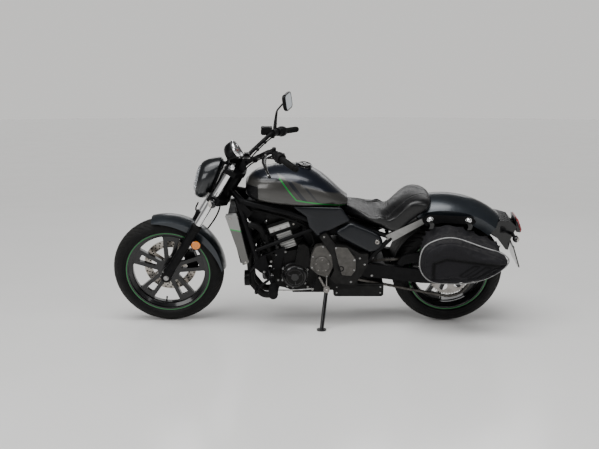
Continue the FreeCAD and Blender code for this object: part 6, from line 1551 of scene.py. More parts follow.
@dataclass
class DriveLine:
    """The drive chain as separate links, the small sprocket inside it, and the rear sprocket's bolts."""

    shop: Workshop
    rear: Flat = REAR_AXLE
    front: Flat = (1012.0, 352.0)
    rear_pitch_radius: float = 123.6
    front_pitch_radius: float = 46.5
    chain_y: float = 97.0
    pitch: float = 15.875
    plate_half_height: float = 6.2
    plate_thickness: float = 1.6
    outer_y: float = 6.3
    inner_y: float = 4.4
    pin: Flat = (8.0, 2.6)
    roller: Flat = (3.6, 4.6)
    bolt_circle: float = 44.0

    def loop(self) -> tuple[np.ndarray, np.ndarray]:
        """Pin places round the chain and the way at each pin: both arcs and both runs sampled, then spaced evenly."""
        rear, front = np.array(self.rear), np.array(self.front)
        way = rear - front
        slope, far = math.atan2(way[1], way[0]), float(np.linalg.norm(way))
        lean = math.acos((self.front_pitch_radius - self.rear_pitch_radius) / far)
        high = np.linspace(slope + lean, slope - lean, 200)
        low = np.linspace(slope - lean, slope + lean - 2 * np.pi, 100)
        points = np.vstack([rear + self.rear_pitch_radius * np.stack([np.cos(high), np.sin(high)], 1),
                            front + self.front_pitch_radius * np.stack([np.cos(low), np.sin(low)], 1)])
        points = np.vstack([points, points[:1]])
        along = np.concatenate([[0], np.cumsum(np.linalg.norm(np.diff(points, axis=0), axis=1))])
        count = 2 * int(round(along[-1] / self.pitch / 2))
        at = np.linspace(0, along[-1], count, endpoint=False)
        pins = np.stack([np.interp(at, along, points[:, k]) for k in (0, 1)], 1)
        return pins, unit(np.roll(pins, -1, 0) - pins)

    def link(self, middle: float) -> Skin:
        """One side plate: two round ends and a waist, drawn from the first pin along the chain."""
        t = np.radians(np.linspace(70, 290, 9))
        h = self.plate_half_height
        left = np.stack([h * np.cos(t), h * np.sin(t)], 1)
        outline = np.vstack([left, -left + np.array([self.pitch, 0])])
        return plate(outline, middle - self.plate_thickness / 2, middle + self.plate_thickness / 2)

    def build(self) -> None:
        """Copy plates and rollers along the loop: p = pin + u way + w normal."""
        pins, ways = self.loop()
        normals = np.stack([-ways[:, 1], ways[:, 0]], 1)

        def laid(skin: Skin, pick: slice) -> Skin:
            """Copies of a link's skin at the picked pins."""
            u, y, w = skin.points.T
            flat = pins[pick, None] + u[None, :, None] * ways[pick, None] + w[None, :, None] * normals[pick, None]
            return copies(skin, np.insert(flat, 1, -self.chain_y + y, axis=2))

        skins = [laid(self.link(s * self.outer_y), slice(0, None, 2)) for s in (-1, 1)]
        skins += [laid(self.link(s * self.inner_y), slice(1, None, 2)) for s in (-1, 1)]
        for (half, radius), sides in ((self.pin, 8), (self.roller, 10)):
            skins.append(laid(lathe((0, 0, 0), (0, 1, 0), [(-half, radius), (half, radius)], sides), slice(None)))
        small = lathe((self.front[0], -self.chain_y, self.front[1]), (0, 1, 0),
                      [(-5, 20), (-5, 39), (-2, 41), (2, 41), (4, 39), (4, 20), (35, 20)], 40)
        self.shop.make("chain_links", all_of(skins + [small]), Body.FRAME, Slot.STEEL, self.shop.finishes.chain, 30,
                       ("drive_chain",))
        places = on_circle(self.rear, self.bolt_circle, -self.chain_y - 3.0, np.arange(5) * 72 + 66)
        self.shop.make("rear_sprocket_bolts", bolts(places, (0, -1, 0), 13, 7), Body.REAR_WHEEL, Slot.STEEL,
                       self.shop.finishes.zinc)


@dataclass
class Shock:
    """The laid-down rear shock: damper body, rod, spring seats, and a spring wound as one helix."""

    shop: Workshop
    top: Point = (1012.0, 96.0, 566.0)
    bottom: Point = (1188.0, 96.0, 396.0)
    spring_radius: float = 22.0
    wire_radius: float = 4.4
    coils: float = 7.5
    spring_span: Flat = (0.16, 0.82)

    def build(self) -> None:
        """Wind the spring, and turn the damper from a profile whose lengths are shares of the whole."""
        top, bottom = np.array(self.top), np.array(self.bottom)
        far = float(np.linalg.norm(bottom - top))
        axis = tuple(unit(bottom - top))
        path = helix(top, bottom, self.spring_span, self.spring_radius, self.coils, 260)
        shares_along = [(0.12, 17), (0.12, 26.5), (0.15, 26.5), (0.15, 15), (0.5, 15), (0.5, 8), (0.84, 8),
                        (0.84, 26.5),
                        (0.88, 26.5), (0.9, 14)]
        profile = [(0, 9), (2, 14), (18, 15), (24, 17)] + [(far * share, r) for share, r in shares_along]
        body = lathe(self.top, axis, profile + [(far - 2, 14), (far, 9)], 32)
        f = self.shop.finishes
        self.shop.make("shock_spring", sweep(path, self.wire_radius, 10, up=axis), Body.FRAME, Slot.STEEL, f.satin,
                       60)
        self.shop.make("shock_damper", body, Body.FRAME, Slot.STEEL, f.steel, 30, ("rear_shock",))


@dataclass
class Headlight:
    """The nacelle as one wall that turns in at the lamp's mouth to a bowl, with a bulb's shield and a rim."""

    shop: Workshop
    stations: tuple[tuple[float, float, float, float, float], ...] = (
        (304.0, 868.0, 52.0, 38.0, 23.5), (299.0, 867.0, 82.0, 60.0, 23.0), (288.0, 865.0, 104.0, 76.0, 22.8),
                                                                      (278.0, 863.4, 114.0, 84.0, 22.5),
        (273.0, 862.6, 120.0, 90.0, 22.2), (262.0, 861.0, 121.6, 94.0, 21.0),
        (235.0, 858.0, 117.0, 97.0, 18.0), (212.0, 855.8, 109.0, 92.0, 16.0), (196.0, 854.4, 100.0, 85.5, 14.5),
                                                                      (191.0, 854.0, 93.0, 79.0, 14.0),
        (192.5, 854.0, 86.0, 73.0, 14.0))
    rear: tuple[float, float, float, float, float] = (305.0, 868.0, 0.01, 0.01, 23.5)
    bowl: tuple[Flat, ...] = ((0.0, 1.0), (16.0, 0.93), (34.0, 0.78), (46.0, 0.58), (53.0, 0.36), (55.0, 0.16),
                              (55.0, 0.0))
    sides: int = 72

    def rows(self, stations: Sequence[Sequence[float]]) -> np.ndarray:
        """Ovals leaned back by their angles: p = c + a cos t (sin e, 0, cos e) + b sin t (0, 1, 0)."""
        x, z, high, wide, angle = np.array(stations, float).T
        e = np.radians(angle)
        t = np.linspace(0, 2 * np.pi, self.sides, endpoint=False)[None]
        up = high[:, None] * np.cos(t)
        return np.stack([x[:, None] + up * np.sin(e)[:, None], wide[:, None] * np.sin(t),
                         z[:, None] + up * np.cos(e)[:, None]], -1)

    def build(self) -> None:
        """Make the nacelle, the bowl, the bulb's shield and the rim."""
        f = self.shop.finishes
        x, z, high, wide, lean = self.stations[-1]
        e = math.radians(lean)
        inward = np.array([math.cos(e), 0, -math.sin(e)])
        bowl = [(x + inward[0] * d, z + inward[2] * d, high * share, wide * share, lean) for d, share in self.bowl]
        shell = woven(self.rows([*self.stations, bowl[0]])) + woven(self.rows([self.rear, self.stations[0]]))
        self.shop.make("nacelle", shell, Body.STEERING, Slot.GRAPHITE, f.nacelle, 40, ("headlight",))
        self.shop.make("lamp_reflector", woven(self.rows(bowl)), Body.STEERING, Slot.CHROME, f.chrome, 60)
        bulb = np.array([x, 0, z]) + inward * 50
        shield = lathe(tuple(bulb), tuple(-inward), [(0, 0), (0, 15), (24, 15), (30, 12), (32, 0)], 24)
        self.shop.make("lamp_bulb_shield", shield, Body.STEERING, Slot.CHROME, f.smooth_plastic)
        rim = sweep(self.rows([(x - 1.5, z + 0.4, 88.5, 75.5, lean)])[0], 3.0, 10, up=tuple(inward), closed=True)
        self.shop.make("lamp_rim", rim, Body.STEERING, Slot.CHROME, f.smooth_plastic, 60)


@dataclass
class WheelTrim:
    """What is bolted to a wheel: valve, disc bolts and hub rings."""

    shop: Workshop
    name: str
    body: Body
    centre: Flat
    barrel_radius: float
    disc_y: float
    hub_half_width: float = 56.0
    valve_deg: float = 263.0
    bolt_circle: float = 44.0

    def build(self) -> None:
        """Turn the valve and hub rings, and copy the disc's bolts round the axle."""
        f = self.shop.finishes
        cx, cz = self.centre
        a = math.radians(self.valve_deg)
        out = np.array([math.cos(a), 0, math.sin(a)])
        foot = np.array([cx, 0, cz]) + out * self.barrel_radius
        valve = lathe(tuple(foot), tuple(-out),
                      [(-1, 7), (3, 7), (5, 4.2), (20, 4.0), (20, 5.2), (30, 5.2), (31.5, 3.5)], 16)
        self.shop.make(self.name + "_valve", valve, self.body, Slot.RUBBER, f.rubber)
        bolt = bolts([(cx + self.bolt_circle, self.disc_y, cz)], (0, 1, 0), 9, 5)
        self.shop.make(self.name + "_disc_bolts", bolt.turned(self.centre, np.arange(5) * 72 + 20.0), self.body,
                       Slot.STEEL, f.zinc)
        ring = lathe((cx, self.hub_half_width + 0.2, cz), (0, 1, 0),
                     [(-14, 34.8), (-2, 34.8), (0, 33.2), (0.6, 30), (0.6, 16)], 48)
        self.shop.make(self.name + "_hub_rings", ring.both(), self.body, Slot.WHEEL, f.gloss, 40)


@dataclass
class ForkTrim:
    """Small parts of the fork: wiper rings, collars, bolts and the forked cable guide on the right leg."""

    shop: Workshop
    half_spacing: float = 105.0
    slider_top: float = 351.0
    tube_top: float = 748.0
    pinch_heights: tuple[float, ...] = (528, 546, 717)
    guide_stem: tuple[Point, ...] = ((143, 121, 552), (148, 127, 575), (156, 129, 598), (160, 129, 612))
    guide_near: tuple[Point, ...] = ((160, 129, 610), (150, 129, 622), (152, 129, 640), (166, 129, 668))
    guide_far: tuple[Point, ...] = ((160, 129, 610), (176, 129, 616), (188, 129, 630), (190, 129, 654))

    @property
    def way(self) -> Point:
        """The direction along the legs."""
        return tuple(unit(fork_point(0, 0, 1) - fork_point(0, 0, 0)))

    def build(self) -> None:
        """Turn rings about the legs' line and set the bolts."""
        f, way = self.shop.finishes, self.way
        forward = tuple(unit(fork_point(-1, 0, 0) - fork_point(0, 0, 0)))
        legs = [fork_point(0, s * self.half_spacing, self.slider_top) for s in (-1, 1)]
        wipers = lathes(legs, way, [(-1, 28), (0, 28.6), (3, 28.2), (7, 24), (10, 21.4), (12, 20.8)], 40)
        self.shop.make("fork_wipers", wipers, Body.STEERING, Slot.RUBBER, f.rubber)
        collars = all_of([lathes(legs, way, [(d, 25.2), (d + 0.6, 26.2), (d + 4, 26.2), (d + 4.6, 25.2)],
                                 40) for d in (-26.0, -300.0)])
        self.shop.make("slider_collars", collars, Body.STEERING, Slot.FRAME, f.satin)
        tops = [fork_point(0, s * self.half_spacing, self.tube_top) for s in (-1, 1)]
        self.shop.make("fork_cap_bolts", bolts(tops, way, 22, 7), Body.STEERING, Slot.CHROME, f.chrome)
        rows = [s * (self.half_spacing + d) for s in (-1, 1) for d in (-13, 13)]
        pinch = [fork_point(-34, y, h) for y in rows for h in self.pinch_heights]
        self.shop.make("clamp_bolts", bolts(pinch, forward, 8, 6), Body.STEERING, Slot.STEEL, f.zinc)
        x, z = FRONT_AXLE
        feet = bolts([(x, -131, z)], (0, -1, 0), 20, 7) + bolts([(x, 124, z)], (0, 1, 0), 22, 10)
        feet += bolts([fork_point(-27, s * self.half_spacing, d) for s in (-1, 1) for d in (-12, 12)], forward, 7, 6)
        self.shop.make("axle_bolts", feet, Body.STEERING, Slot.STEEL, f.zinc)
        guide = all_of([sweep(np.array(run, float), 4.4, 10) for run in (self.guide_stem, self.guide_near,
                                                                         self.guide_far)])
        guide += bolts([(141, 129.5, 552)], (0, 1, 0), 10, 5)
        self.shop.make("cable_guide", guide, Body.STEERING, Slot.FRAME, f.satin, 50)


@dataclass
class SideLamps:
    """Turn lamps as dark egg-shaped housings with a lens in front, and the round reflectors on the sliders."""

    shop: Workshop
    root_y: float = 130.0
    reach: float = 44.0
    length: float = 46.0
    radius: float = 24.0
    fork_height: float = 541.0
    reflector: Flat = (172.0, 507.0)
    reflector_y: float = 114.0
    inset: float = 0.4
    lens_share: float = 0.98
    stalk_radii: Flat = (11.0, 8.2)

    def egg(self, centre: np.ndarray, front: bool) -> Skin:
        """Part of an egg: p = c + (a cos u cos^0.7 v, b sin v, a sin u cos^0.7 v), its front or its rear."""
        u = np.linspace(0.62, 1.38, 17) * np.pi if front else np.linspace(-0.62, 0.62, 25) * np.pi
        v = np.linspace(-0.5, 0.5, 21) * np.pi
        flat = (np.abs(np.cos(v)) ** 0.7 * (self.radius - self.inset))[:, None]
        across = (np.sin(v) * self.length / 2)[:, None]
        grid = np.stack([flat * np.cos(u), np.broadcast_to(across, (len(v), len(u))), flat * np.sin(u)], -1)
        if front:
            grid = grid * np.array([0.97, self.lens_share, 0.97])
        middle = across[:, None] * np.array([0, self.lens_share, 0])
        whole = woven(np.concatenate([grid, middle], 1))
        return Skin(whole.points + centre, whole.faces)

    def stalk(self, root: np.ndarray, end: np.ndarray) -> Skin:
        """A tapered stalk between two points."""
        return sweep(np.linspace(root, end, 8), np.linspace(*self.stalk_radii, 8), 16, up=(0, 0, 1))

    def build(self) -> None:
        """Make both lamps and both reflectors."""
        f = self.shop.finishes
        housings, lenses = [], []
        for s in (-1, 1):
            root = fork_point(0, s * (self.root_y - 4), self.fork_height)
            middle = fork_point(0, s * (self.root_y + self.reach + self.length / 2), self.fork_height)
            end = middle - np.array([0, s * (self.length / 2 - 4), 0])
            housings += [self.egg(middle, False), self.stalk(root, end)]
            lenses.append(self.egg(middle, True))
        self.shop.make("front_signal_housings", all_of(housings), Body.STEERING, Slot.GLOSS, f.gloss, 50,
                       ("front_signals",))
        self.shop.make("front_signal_lenses", all_of(lenses), Body.STEERING, Slot.AMBER, f.signal_lens, 50)
        x, z = self.reflector
        place = (x, self.reflector_y, z)
        faces = lathe(place, (0, 1, 0), [(0, 25), (6, 25.5), (8.0, 24), (8.8, 18), (9, 0.2)], 48).both()
        rims = lathe(place, (0, 1, 0), [(-9, 16), (-4, 26), (0, 29), (6.5, 29), (8.2, 28), (8.2, 25.6), (5, 25.4)],
                     48).both()
        self.shop.make("slider_reflectors", faces, Body.STEERING, Slot.AMBER, f.amber, 50)
        self.shop.make("reflector_rims", rims, Body.STEERING, Slot.GLOSS, f.smooth_plastic)


@dataclass
class Cockpit:
    """What the rider holds and sees: grips, levers, switches, bar clamps, mirror glass and the instrument."""

    shop: Workshop
    bar_knee: Point = (587.0, 178.0, 1062.0)
    bar_end: Point = (718.5, 370.0, 1028.0)
    grip_length: float = 122.0
    lever: tuple[Point, ...] = ((552.0, 232.0, 1046.0), (553.0, 275.0, 1030.0), (589.0, 368.0, 984.0))
    meter_centre: Flat = (388.0, 1002.0)
    meter_deg: float = 32.0
    bowl: tuple[Flat, ...] = ((-49, 0.2), (-48.6, 12), (-46, 28), (-40, 42), (-30, 52), (-16, 58.5), (0, 60.6),
                              (14, 61.2),
                              (18, 60), (18, 54), (17, 0.2))
    ring: tuple[Flat, ...] = ((12, 61.4), (15, 62.8), (24, 63), (28, 61.5), (29, 58), (26.5, 54.5), (20, 54),
                              (20, 60),
                              (12, 61.4))
    housing: tuple[Flat, ...] = ((0, 14), (0, 25), (2.5, 28), (14, 29.5), (26, 29.5), (34, 27.5), (38, 24),
                                 (60, 23.4),
                                 (62, 21), (62, 15))
    buttons: tuple[Point, ...] = ((16, 0.75, 5.5), (32, 0.8, 4.5), (47, 0.75, 5.5), (24, -0.2, 6.5), (43, -0.2, 5))
    mirror_stem: tuple[Point, ...] = ((600, 288, 1046), (601, 292, 1064), (605, 310, 1106), (611, 328, 1144))
    loom_path: tuple[Point, ...] = ((587, 178, 1062), (560, 150, 1044), (500, 96, 1000), (470, 62, 975),
                                    (440, 40, 930))

    def along_bar(self, side: int, back: float) -> np.ndarray:
        """A point on the grip's straight, measured back from the bar's end."""
        end = np.array(self.bar_end) * [1, side, 1]
        knee = np.array(self.bar_knee) * [1, side, 1]
        return end + unit(knee - end) * back

    def bar_way(self, side: int) -> Point:
        """The way from the grip's end inwards."""
        return tuple(unit(self.along_bar(side, 1) - self.along_bar(side, 0)))

    def grips(self) -> None:
        """Ribbed grips of radius 15.7 + 1.25 |cos(pi d / 8.2)|^0.5 along the bar, with flanges and end weights."""
        d = np.linspace(0, self.grip_length, 150)
        r = 15.7 + 1.25 * np.abs(np.cos(np.pi * d / 8.2)) ** 0.5
        r[d < 5] = 16.9
        r[d > self.grip_length - 7] = 16.9
        profile = [(0, 12)] + list(zip(d, r)) + [(self.grip_length, 12)]
        grips = all_of([lathe(tuple(self.along_bar(s, 0)), self.bar_way(s), profile, 40) for s in (-1, 1)])
        self.shop.make("ribbed_grips", grips, Body.STEERING, Slot.RUBBER, self.shop.finishes.rubber, 40, ("grips",))
        weight = [(-1, 9), (0, 14), (2, 15.4), (11, 15.4), (13.5, 13), (13.8, 5), (11, 4)]
        ends = all_of([lathe(tuple(self.along_bar(s, 0)), tuple(-np.array(self.bar_way(s))), weight, 32)
                       for s in (-1, 1)])
        self.shop.make("bar_end_weights", ends, Body.STEERING, Slot.GLOSS, self.shop.finishes.satin)

    def levers(self) -> None:
        """Levers: flat blades along smooth paths from the perch, with a ball at the end and a pivot bolt."""
        f = self.shop.finishes
        for side, finish, word, wide in ((-1, f.polished, "clutch", 1.0), (1, f.satin, "brake", 1.45)):
            root = self.along_bar(side, self.grip_length + 74)
            points = np.vstack([root, np.array(self.lever) * [1, side, 1]])
            knots = [points[0], points[0] * 0.35 + points[1] * 0.65, points[1], points[2],
                     points[2] * 0.4 + points[3] * 0.6, points[3]]
            path = bezier(knots, 49)
            size = np.interp(np.linspace(0, 1, 49), [0, 0.25, 0.5, 0.9, 0.97, 1.0], [7.0, 9.4, 9.2, 6.6, 9.0, 5.5])
            blade = sweep(path, size * wide, 16, up=(0.0, 0.1, 1.0), squash=0.62 / wide)
            self.shop.make(word + "_lever", blade, Body.STEERING, Slot.ALLOY if side < 0 else Slot.FRAME, finish, 60)
            pivot = points[1] * 0.75 + points[0] * 0.25
            self.shop.make(word + "_lever_pivot", bolts([tuple(pivot + [0, 0, 7])], (0, 0, 1), 10, 5), Body.STEERING,
                           Slot.STEEL, f.zinc)

    def switches(self) -> None:
        """Switch housings with five buttons each, the levers' clamps, and the blocks in front of them."""
        f = self.shop.finishes
        housings, buttons = [], []
        for s in (-1, 1):
            way = np.array(self.bar_way(s))
            base = self.along_bar(s, self.grip_length + 1)
            clamp = base + way * 70
            block = [clamp + way * d + np.array(off) for d,
                     off in ((16, (-6, 0, 2)), (14, (-26, s * 4, 2)), (10, (-44, s * 9, -1)))]
            housings += [lathe(tuple(base), tuple(way), self.housing, 40),
                         lathe(tuple(clamp), tuple(way),
                               [(0, 13), (0, 16), (2, 18.5), (30, 18.5), (32, 16), (32, 12)], 32),
                         sweep(np.array(block), np.array([12.0, 13.5, 10.5]), 20, up=(0, 0.1, 1))]
            back = unit(np.cross(way, (0, 0, 1)))
            back = back if back[0] > 0 else -back
            for d, lift, size in self.buttons:
                out = unit(back + np.array([0, 0, lift]))
                place = base + way * d + out * np.interp(d, [0, 26, 38], [28, 28, 21])
                buttons.append(lathe(tuple(place), tuple(out), [(-1, size), (4, size), (5.4, size * 0.8), (5.6, 0.2)],
                                     16))
        self.shop.make("switch_housings", all_of(housings), Body.STEERING, Slot.GLOSS, f.plastic)
        self.shop.make("switch_buttons", all_of(buttons), Body.STEERING, Slot.GLOSS, f.smooth_plastic)

    def reservoir(self) -> None:
        """The brake reservoir's lid: an eased plate with two screws."""
        f = self.shop.finishes
        perch = self.along_bar(1, self.grip_length + 86)
        x, y, z = perch[0] - 77, perch[1], perch[2] + 26
        lid = plate([(-31, -24), (31, -24), (31, 24), (-31, 24)], 0, 4.5, 9, 2.0)
        turned = Skin(np.stack([lid.points[:, 0] + x + 31, lid.points[:, 2] + y, lid.points[:, 1] + z - 0.5], 1),
                      lid.faces)
        self.shop.make("reservoir_lid", turned, Body.STEERING, Slot.GLOSS, f.satin)
        self.shop.make("reservoir_screws", bolts([(x + 10, y, z + 4), (x + 52, y, z + 4)], (0, 0, 1), 6, 2.5),
                       Body.STEERING, Slot.STEEL, f.zinc)

    def clamps(self) -> None:
        """The caps that hold the bar on its risers: eased saddles with four bolts."""
        f = self.shop.finishes
        saddle = [(434, 968), (470, 968), (468, 980), (458, 985.5), (446, 985.5), (436, 980)]
        caps = [plate(saddle, y - 15, y + 15, 3, 1.5) for y in (-44, 44)]
        self.shop.make("bar_clamp_caps", all_of(caps), Body.STEERING, Slot.FRAME, f.satin)
        places = [(x, y + d, 982) for y in (-44, 44) for d in (-8, 8) for x in (441, 463)]
        self.shop.make("bar_clamp_bolts", bolts(places, (0, 0, 1), 6.5, 5), Body.STEERING, Slot.STEEL, f.zinc)

    def mirror(self, centre: Point = (656.0, 372.0, 1192.0), half: Flat = (66.0, 47.0), depth: float = 24.0,
               tilt: float = 8.0,
               turn: float = 14.0) -> None:
        """The mirror's glass, sunk in a thin rim: rounded plates turned with the head.

        Args:
            centre: the middle of the head's front face.
            half: half width and half height.
            depth: how thick the head is.
            tilt: how far the face leans up, in degrees.
            turn: how far it turns inwards, in degrees.
        """
        f = self.shop.finishes
        a, b = math.radians(tilt), math.radians(-turn)

        def placed(y: float, z: float, x: float) -> Point:
            """A point of the head's own frame: x depth, y across, z up; leaned, then turned."""
            u, w = x * math.cos(a) - z * math.sin(a), x * math.sin(a) + z * math.cos(a)
            across, ahead = u * math.cos(b) - y * math.sin(b), u * math.sin(b) + y * math.cos(b)
            return (centre[0] + across, centre[1] + ahead, centre[2] + w)

        def edge(across: float, high: float, corner: float) -> np.ndarray:
            """The head's rounded outline, its sides shares of the head's."""
            y, z = half[0] * across, half[1] * high
            return rounded([(-y, -z), (y, -z), (y, z), (-y, z)], corner, 9)

        rim = np.array([placed(y, z, depth - 2.5) for y, z in edge(0.955, 0.94, 24)])
        self.shop.make("mirror_rim", sweep(rim, 4.2, 8, up=(1, 0, 0.1), closed=True), Body.STEERING, Slot.GLOSS,
                       f.smooth_plastic, 60)
        rows = np.array([[placed(y, z, x) for y, z in edge(0.86, 0.86, 22.36)] for x in (depth - 2, depth + 0.4)])
        self.shop.make("mirror_face", woven(rows, caps=True), Body.STEERING, Slot.CHROME, f.mirror_glass)
        boot = sweep(np.array(self.mirror_stem, float), np.array([11.0, 10.0, 8.0, 6.2]), 24, up=(0, 1, 0.1))
        self.shop.make("mirror_boot", boot, Body.STEERING, Slot.RUBBER, f.rubber)

    def instrument(self) -> None:
        """The round instrument: an eased bowl behind a bright ring, and the dial with its marks and needle."""
        f = self.shop.finishes
        t = math.radians(self.meter_deg)
        way = np.array([math.cos(t), 0, math.sin(t)])
        up = np.array([-math.sin(t), 0, math.cos(t)])
        c = np.array([self.meter_centre[0], 0, self.meter_centre[1]])
        self.shop.make("meter_bowl", lathe(tuple(c), tuple(way), self.bowl, 64), Body.STEERING, Slot.GLOSS,
                       f.smooth_plastic, 40,
                       ("speedometer",))
        post = lathe(tuple(c), tuple(fork_point(58, 0, 717) - c), [(20, 15), (60, 15), (78, 17), (92, 17)], 24)
        self.shop.make("meter_post", post, Body.STEERING, Slot.FRAME, f.satin)
        self.shop.make("meter_ring", lathe(tuple(c), tuple(way), self.ring, 64), Body.STEERING, Slot.CHROME, f.chrome,
                       50)
        dial = lathe(tuple(c), tuple(way), [(17.4, 53.6), (19.6, 53.6), (20.0, 50), (20.0, 0.2)], 64)
        self.shop.make("meter_dial", dial, Body.STEERING, Slot.PLASTIC, f.dial)
        angles = np.radians(np.linspace(-135, 135, 25))
        out = np.sin(angles)[:, None] * np.array([0, 1.0, 0]) + np.cos(angles)[:, None] * up
        long = np.where(np.arange(25) % 4 == 0, 10.0, 5.0)[:, None]
        card = c + way * 20.3
        marks = [sweep(np.linspace(card + o * (47 - n), card + o * 47, 3), 0.8, 6, up=tuple(way)) for o,
                 n in zip(out, long)]
        self.shop.make("meter_marks", all_of(marks), Body.STEERING, Slot.PLASTIC, f.marks)
        aim = unit(up * 0.2 - np.array([0, 1.0, 0]))
        axle = c + way * 22.5
        needle = sweep(np.linspace(axle - aim * 9, axle + aim * 38, 6), np.linspace(1.6, 0.6, 6), 8, up=tuple(way))
        hub = lathe(tuple(c), tuple(way), [(20, 5), (24, 5), (25, 3.5), (25, 0.2)], 24)
        self.shop.make("meter_needle", needle + hub, Body.STEERING, Slot.RED, f.needle)

    def looms(self) -> None:
        """Wiring and throttle looms tied along the bar: two runs below it on each side, and the ties."""
        f = self.shop.finishes
        runs, ties = [], []
        for s in (-1, 1):
            base = bezier([self.along_bar(s, 192)] + [np.array(p) * [1, s, 1] for p in self.loom_path], 60)
            for off, radius in (((-10, 0, -13), 5.0), ((4, 0, -17), 3.6)):
                runs.append(sweep(base + np.array(off), radius, 12, up=(0.1, 0.2, 1)))
            for i in (10, 24, 36):
                ties.append(lathe(tuple(base[i] + np.array((-3, 0, -9))), tuple(base[i + 1] - base[i]),
                                  [(-2.5, 16.0), (-2.5, 17.4), (2.5, 17.4), (2.5, 16.0)], 24))
        self.shop.make("bar_looms", all_of(runs), Body.STEERING, Slot.RUBBER, f.rubber, 60)
        self.shop.make("loom_ties", all_of(ties), Body.STEERING, Slot.RUBBER, f.smooth_plastic, 60)

    def build(self) -> None:
        """Make every part of the cockpit."""
        self.looms()
        self.grips()
        self.levers()
        self.switches()
        self.reservoir()
        self.clamps()
        self.mirror()
        self.instrument()


@dataclass
class TankTrim:
    """Small parts of the tank: the cap's ring and screws, the lid's skin and its key cover."""

    shop: Workshop
    place: Point = (768.0, 0.0, 930.0)
    tilt_deg: float = 7.0

    def build(self) -> None:
        """Turn the ring, the lid and the key cover about the cap's axis."""
        f = self.shop.finishes
        t = math.radians(self.tilt_deg)
        way = np.array([math.sin(t), 0, math.cos(t)])
        ahead = np.array([math.cos(t), 0, -math.sin(t)])
        ring = lathe(self.place, tuple(way), [(-3.5, 37.5), (-3.2, 44), (-1.2, 45.4), (-0.2, 44), (0.2, 38)], 64)
        self.shop.make("filler_ring", ring, Body.FRAME, Slot.CHROME, f.gloss, 40)
        angles = np.radians(np.arange(6) * 60 + 30)
        foot = np.array(self.place) - way * 1.6
        places = [foot + 41 * (ahead * math.cos(a) + np.array([0, math.sin(a), 0])) for a in angles]
        self.shop.make("filler_screws", bolts(places, tuple(way), 4.2, 2.2), Body.FRAME, Slot.STEEL, f.zinc)
        d = [(0.5, 35.9), (2, 36.6), (8.5, 36.6), (10.2, 34.6), (10.4, 28), (10.0, 27), (10.0, 0.2)]
        self.shop.make("filler_lid_skin", lathe(self.place, tuple(way), d, 72), Body.LID, Slot.CHROME, f.gloss)
        cover = lathe(tuple(np.array(self.place) + way * 10), tuple(way),
                      [(-0.5, 11), (1.2, 11), (2.0, 9.5), (2.0, 0.2)], 32)
        self.shop.make("filler_key_cover", cover, Body.LID, Slot.CHROME, f.chrome)


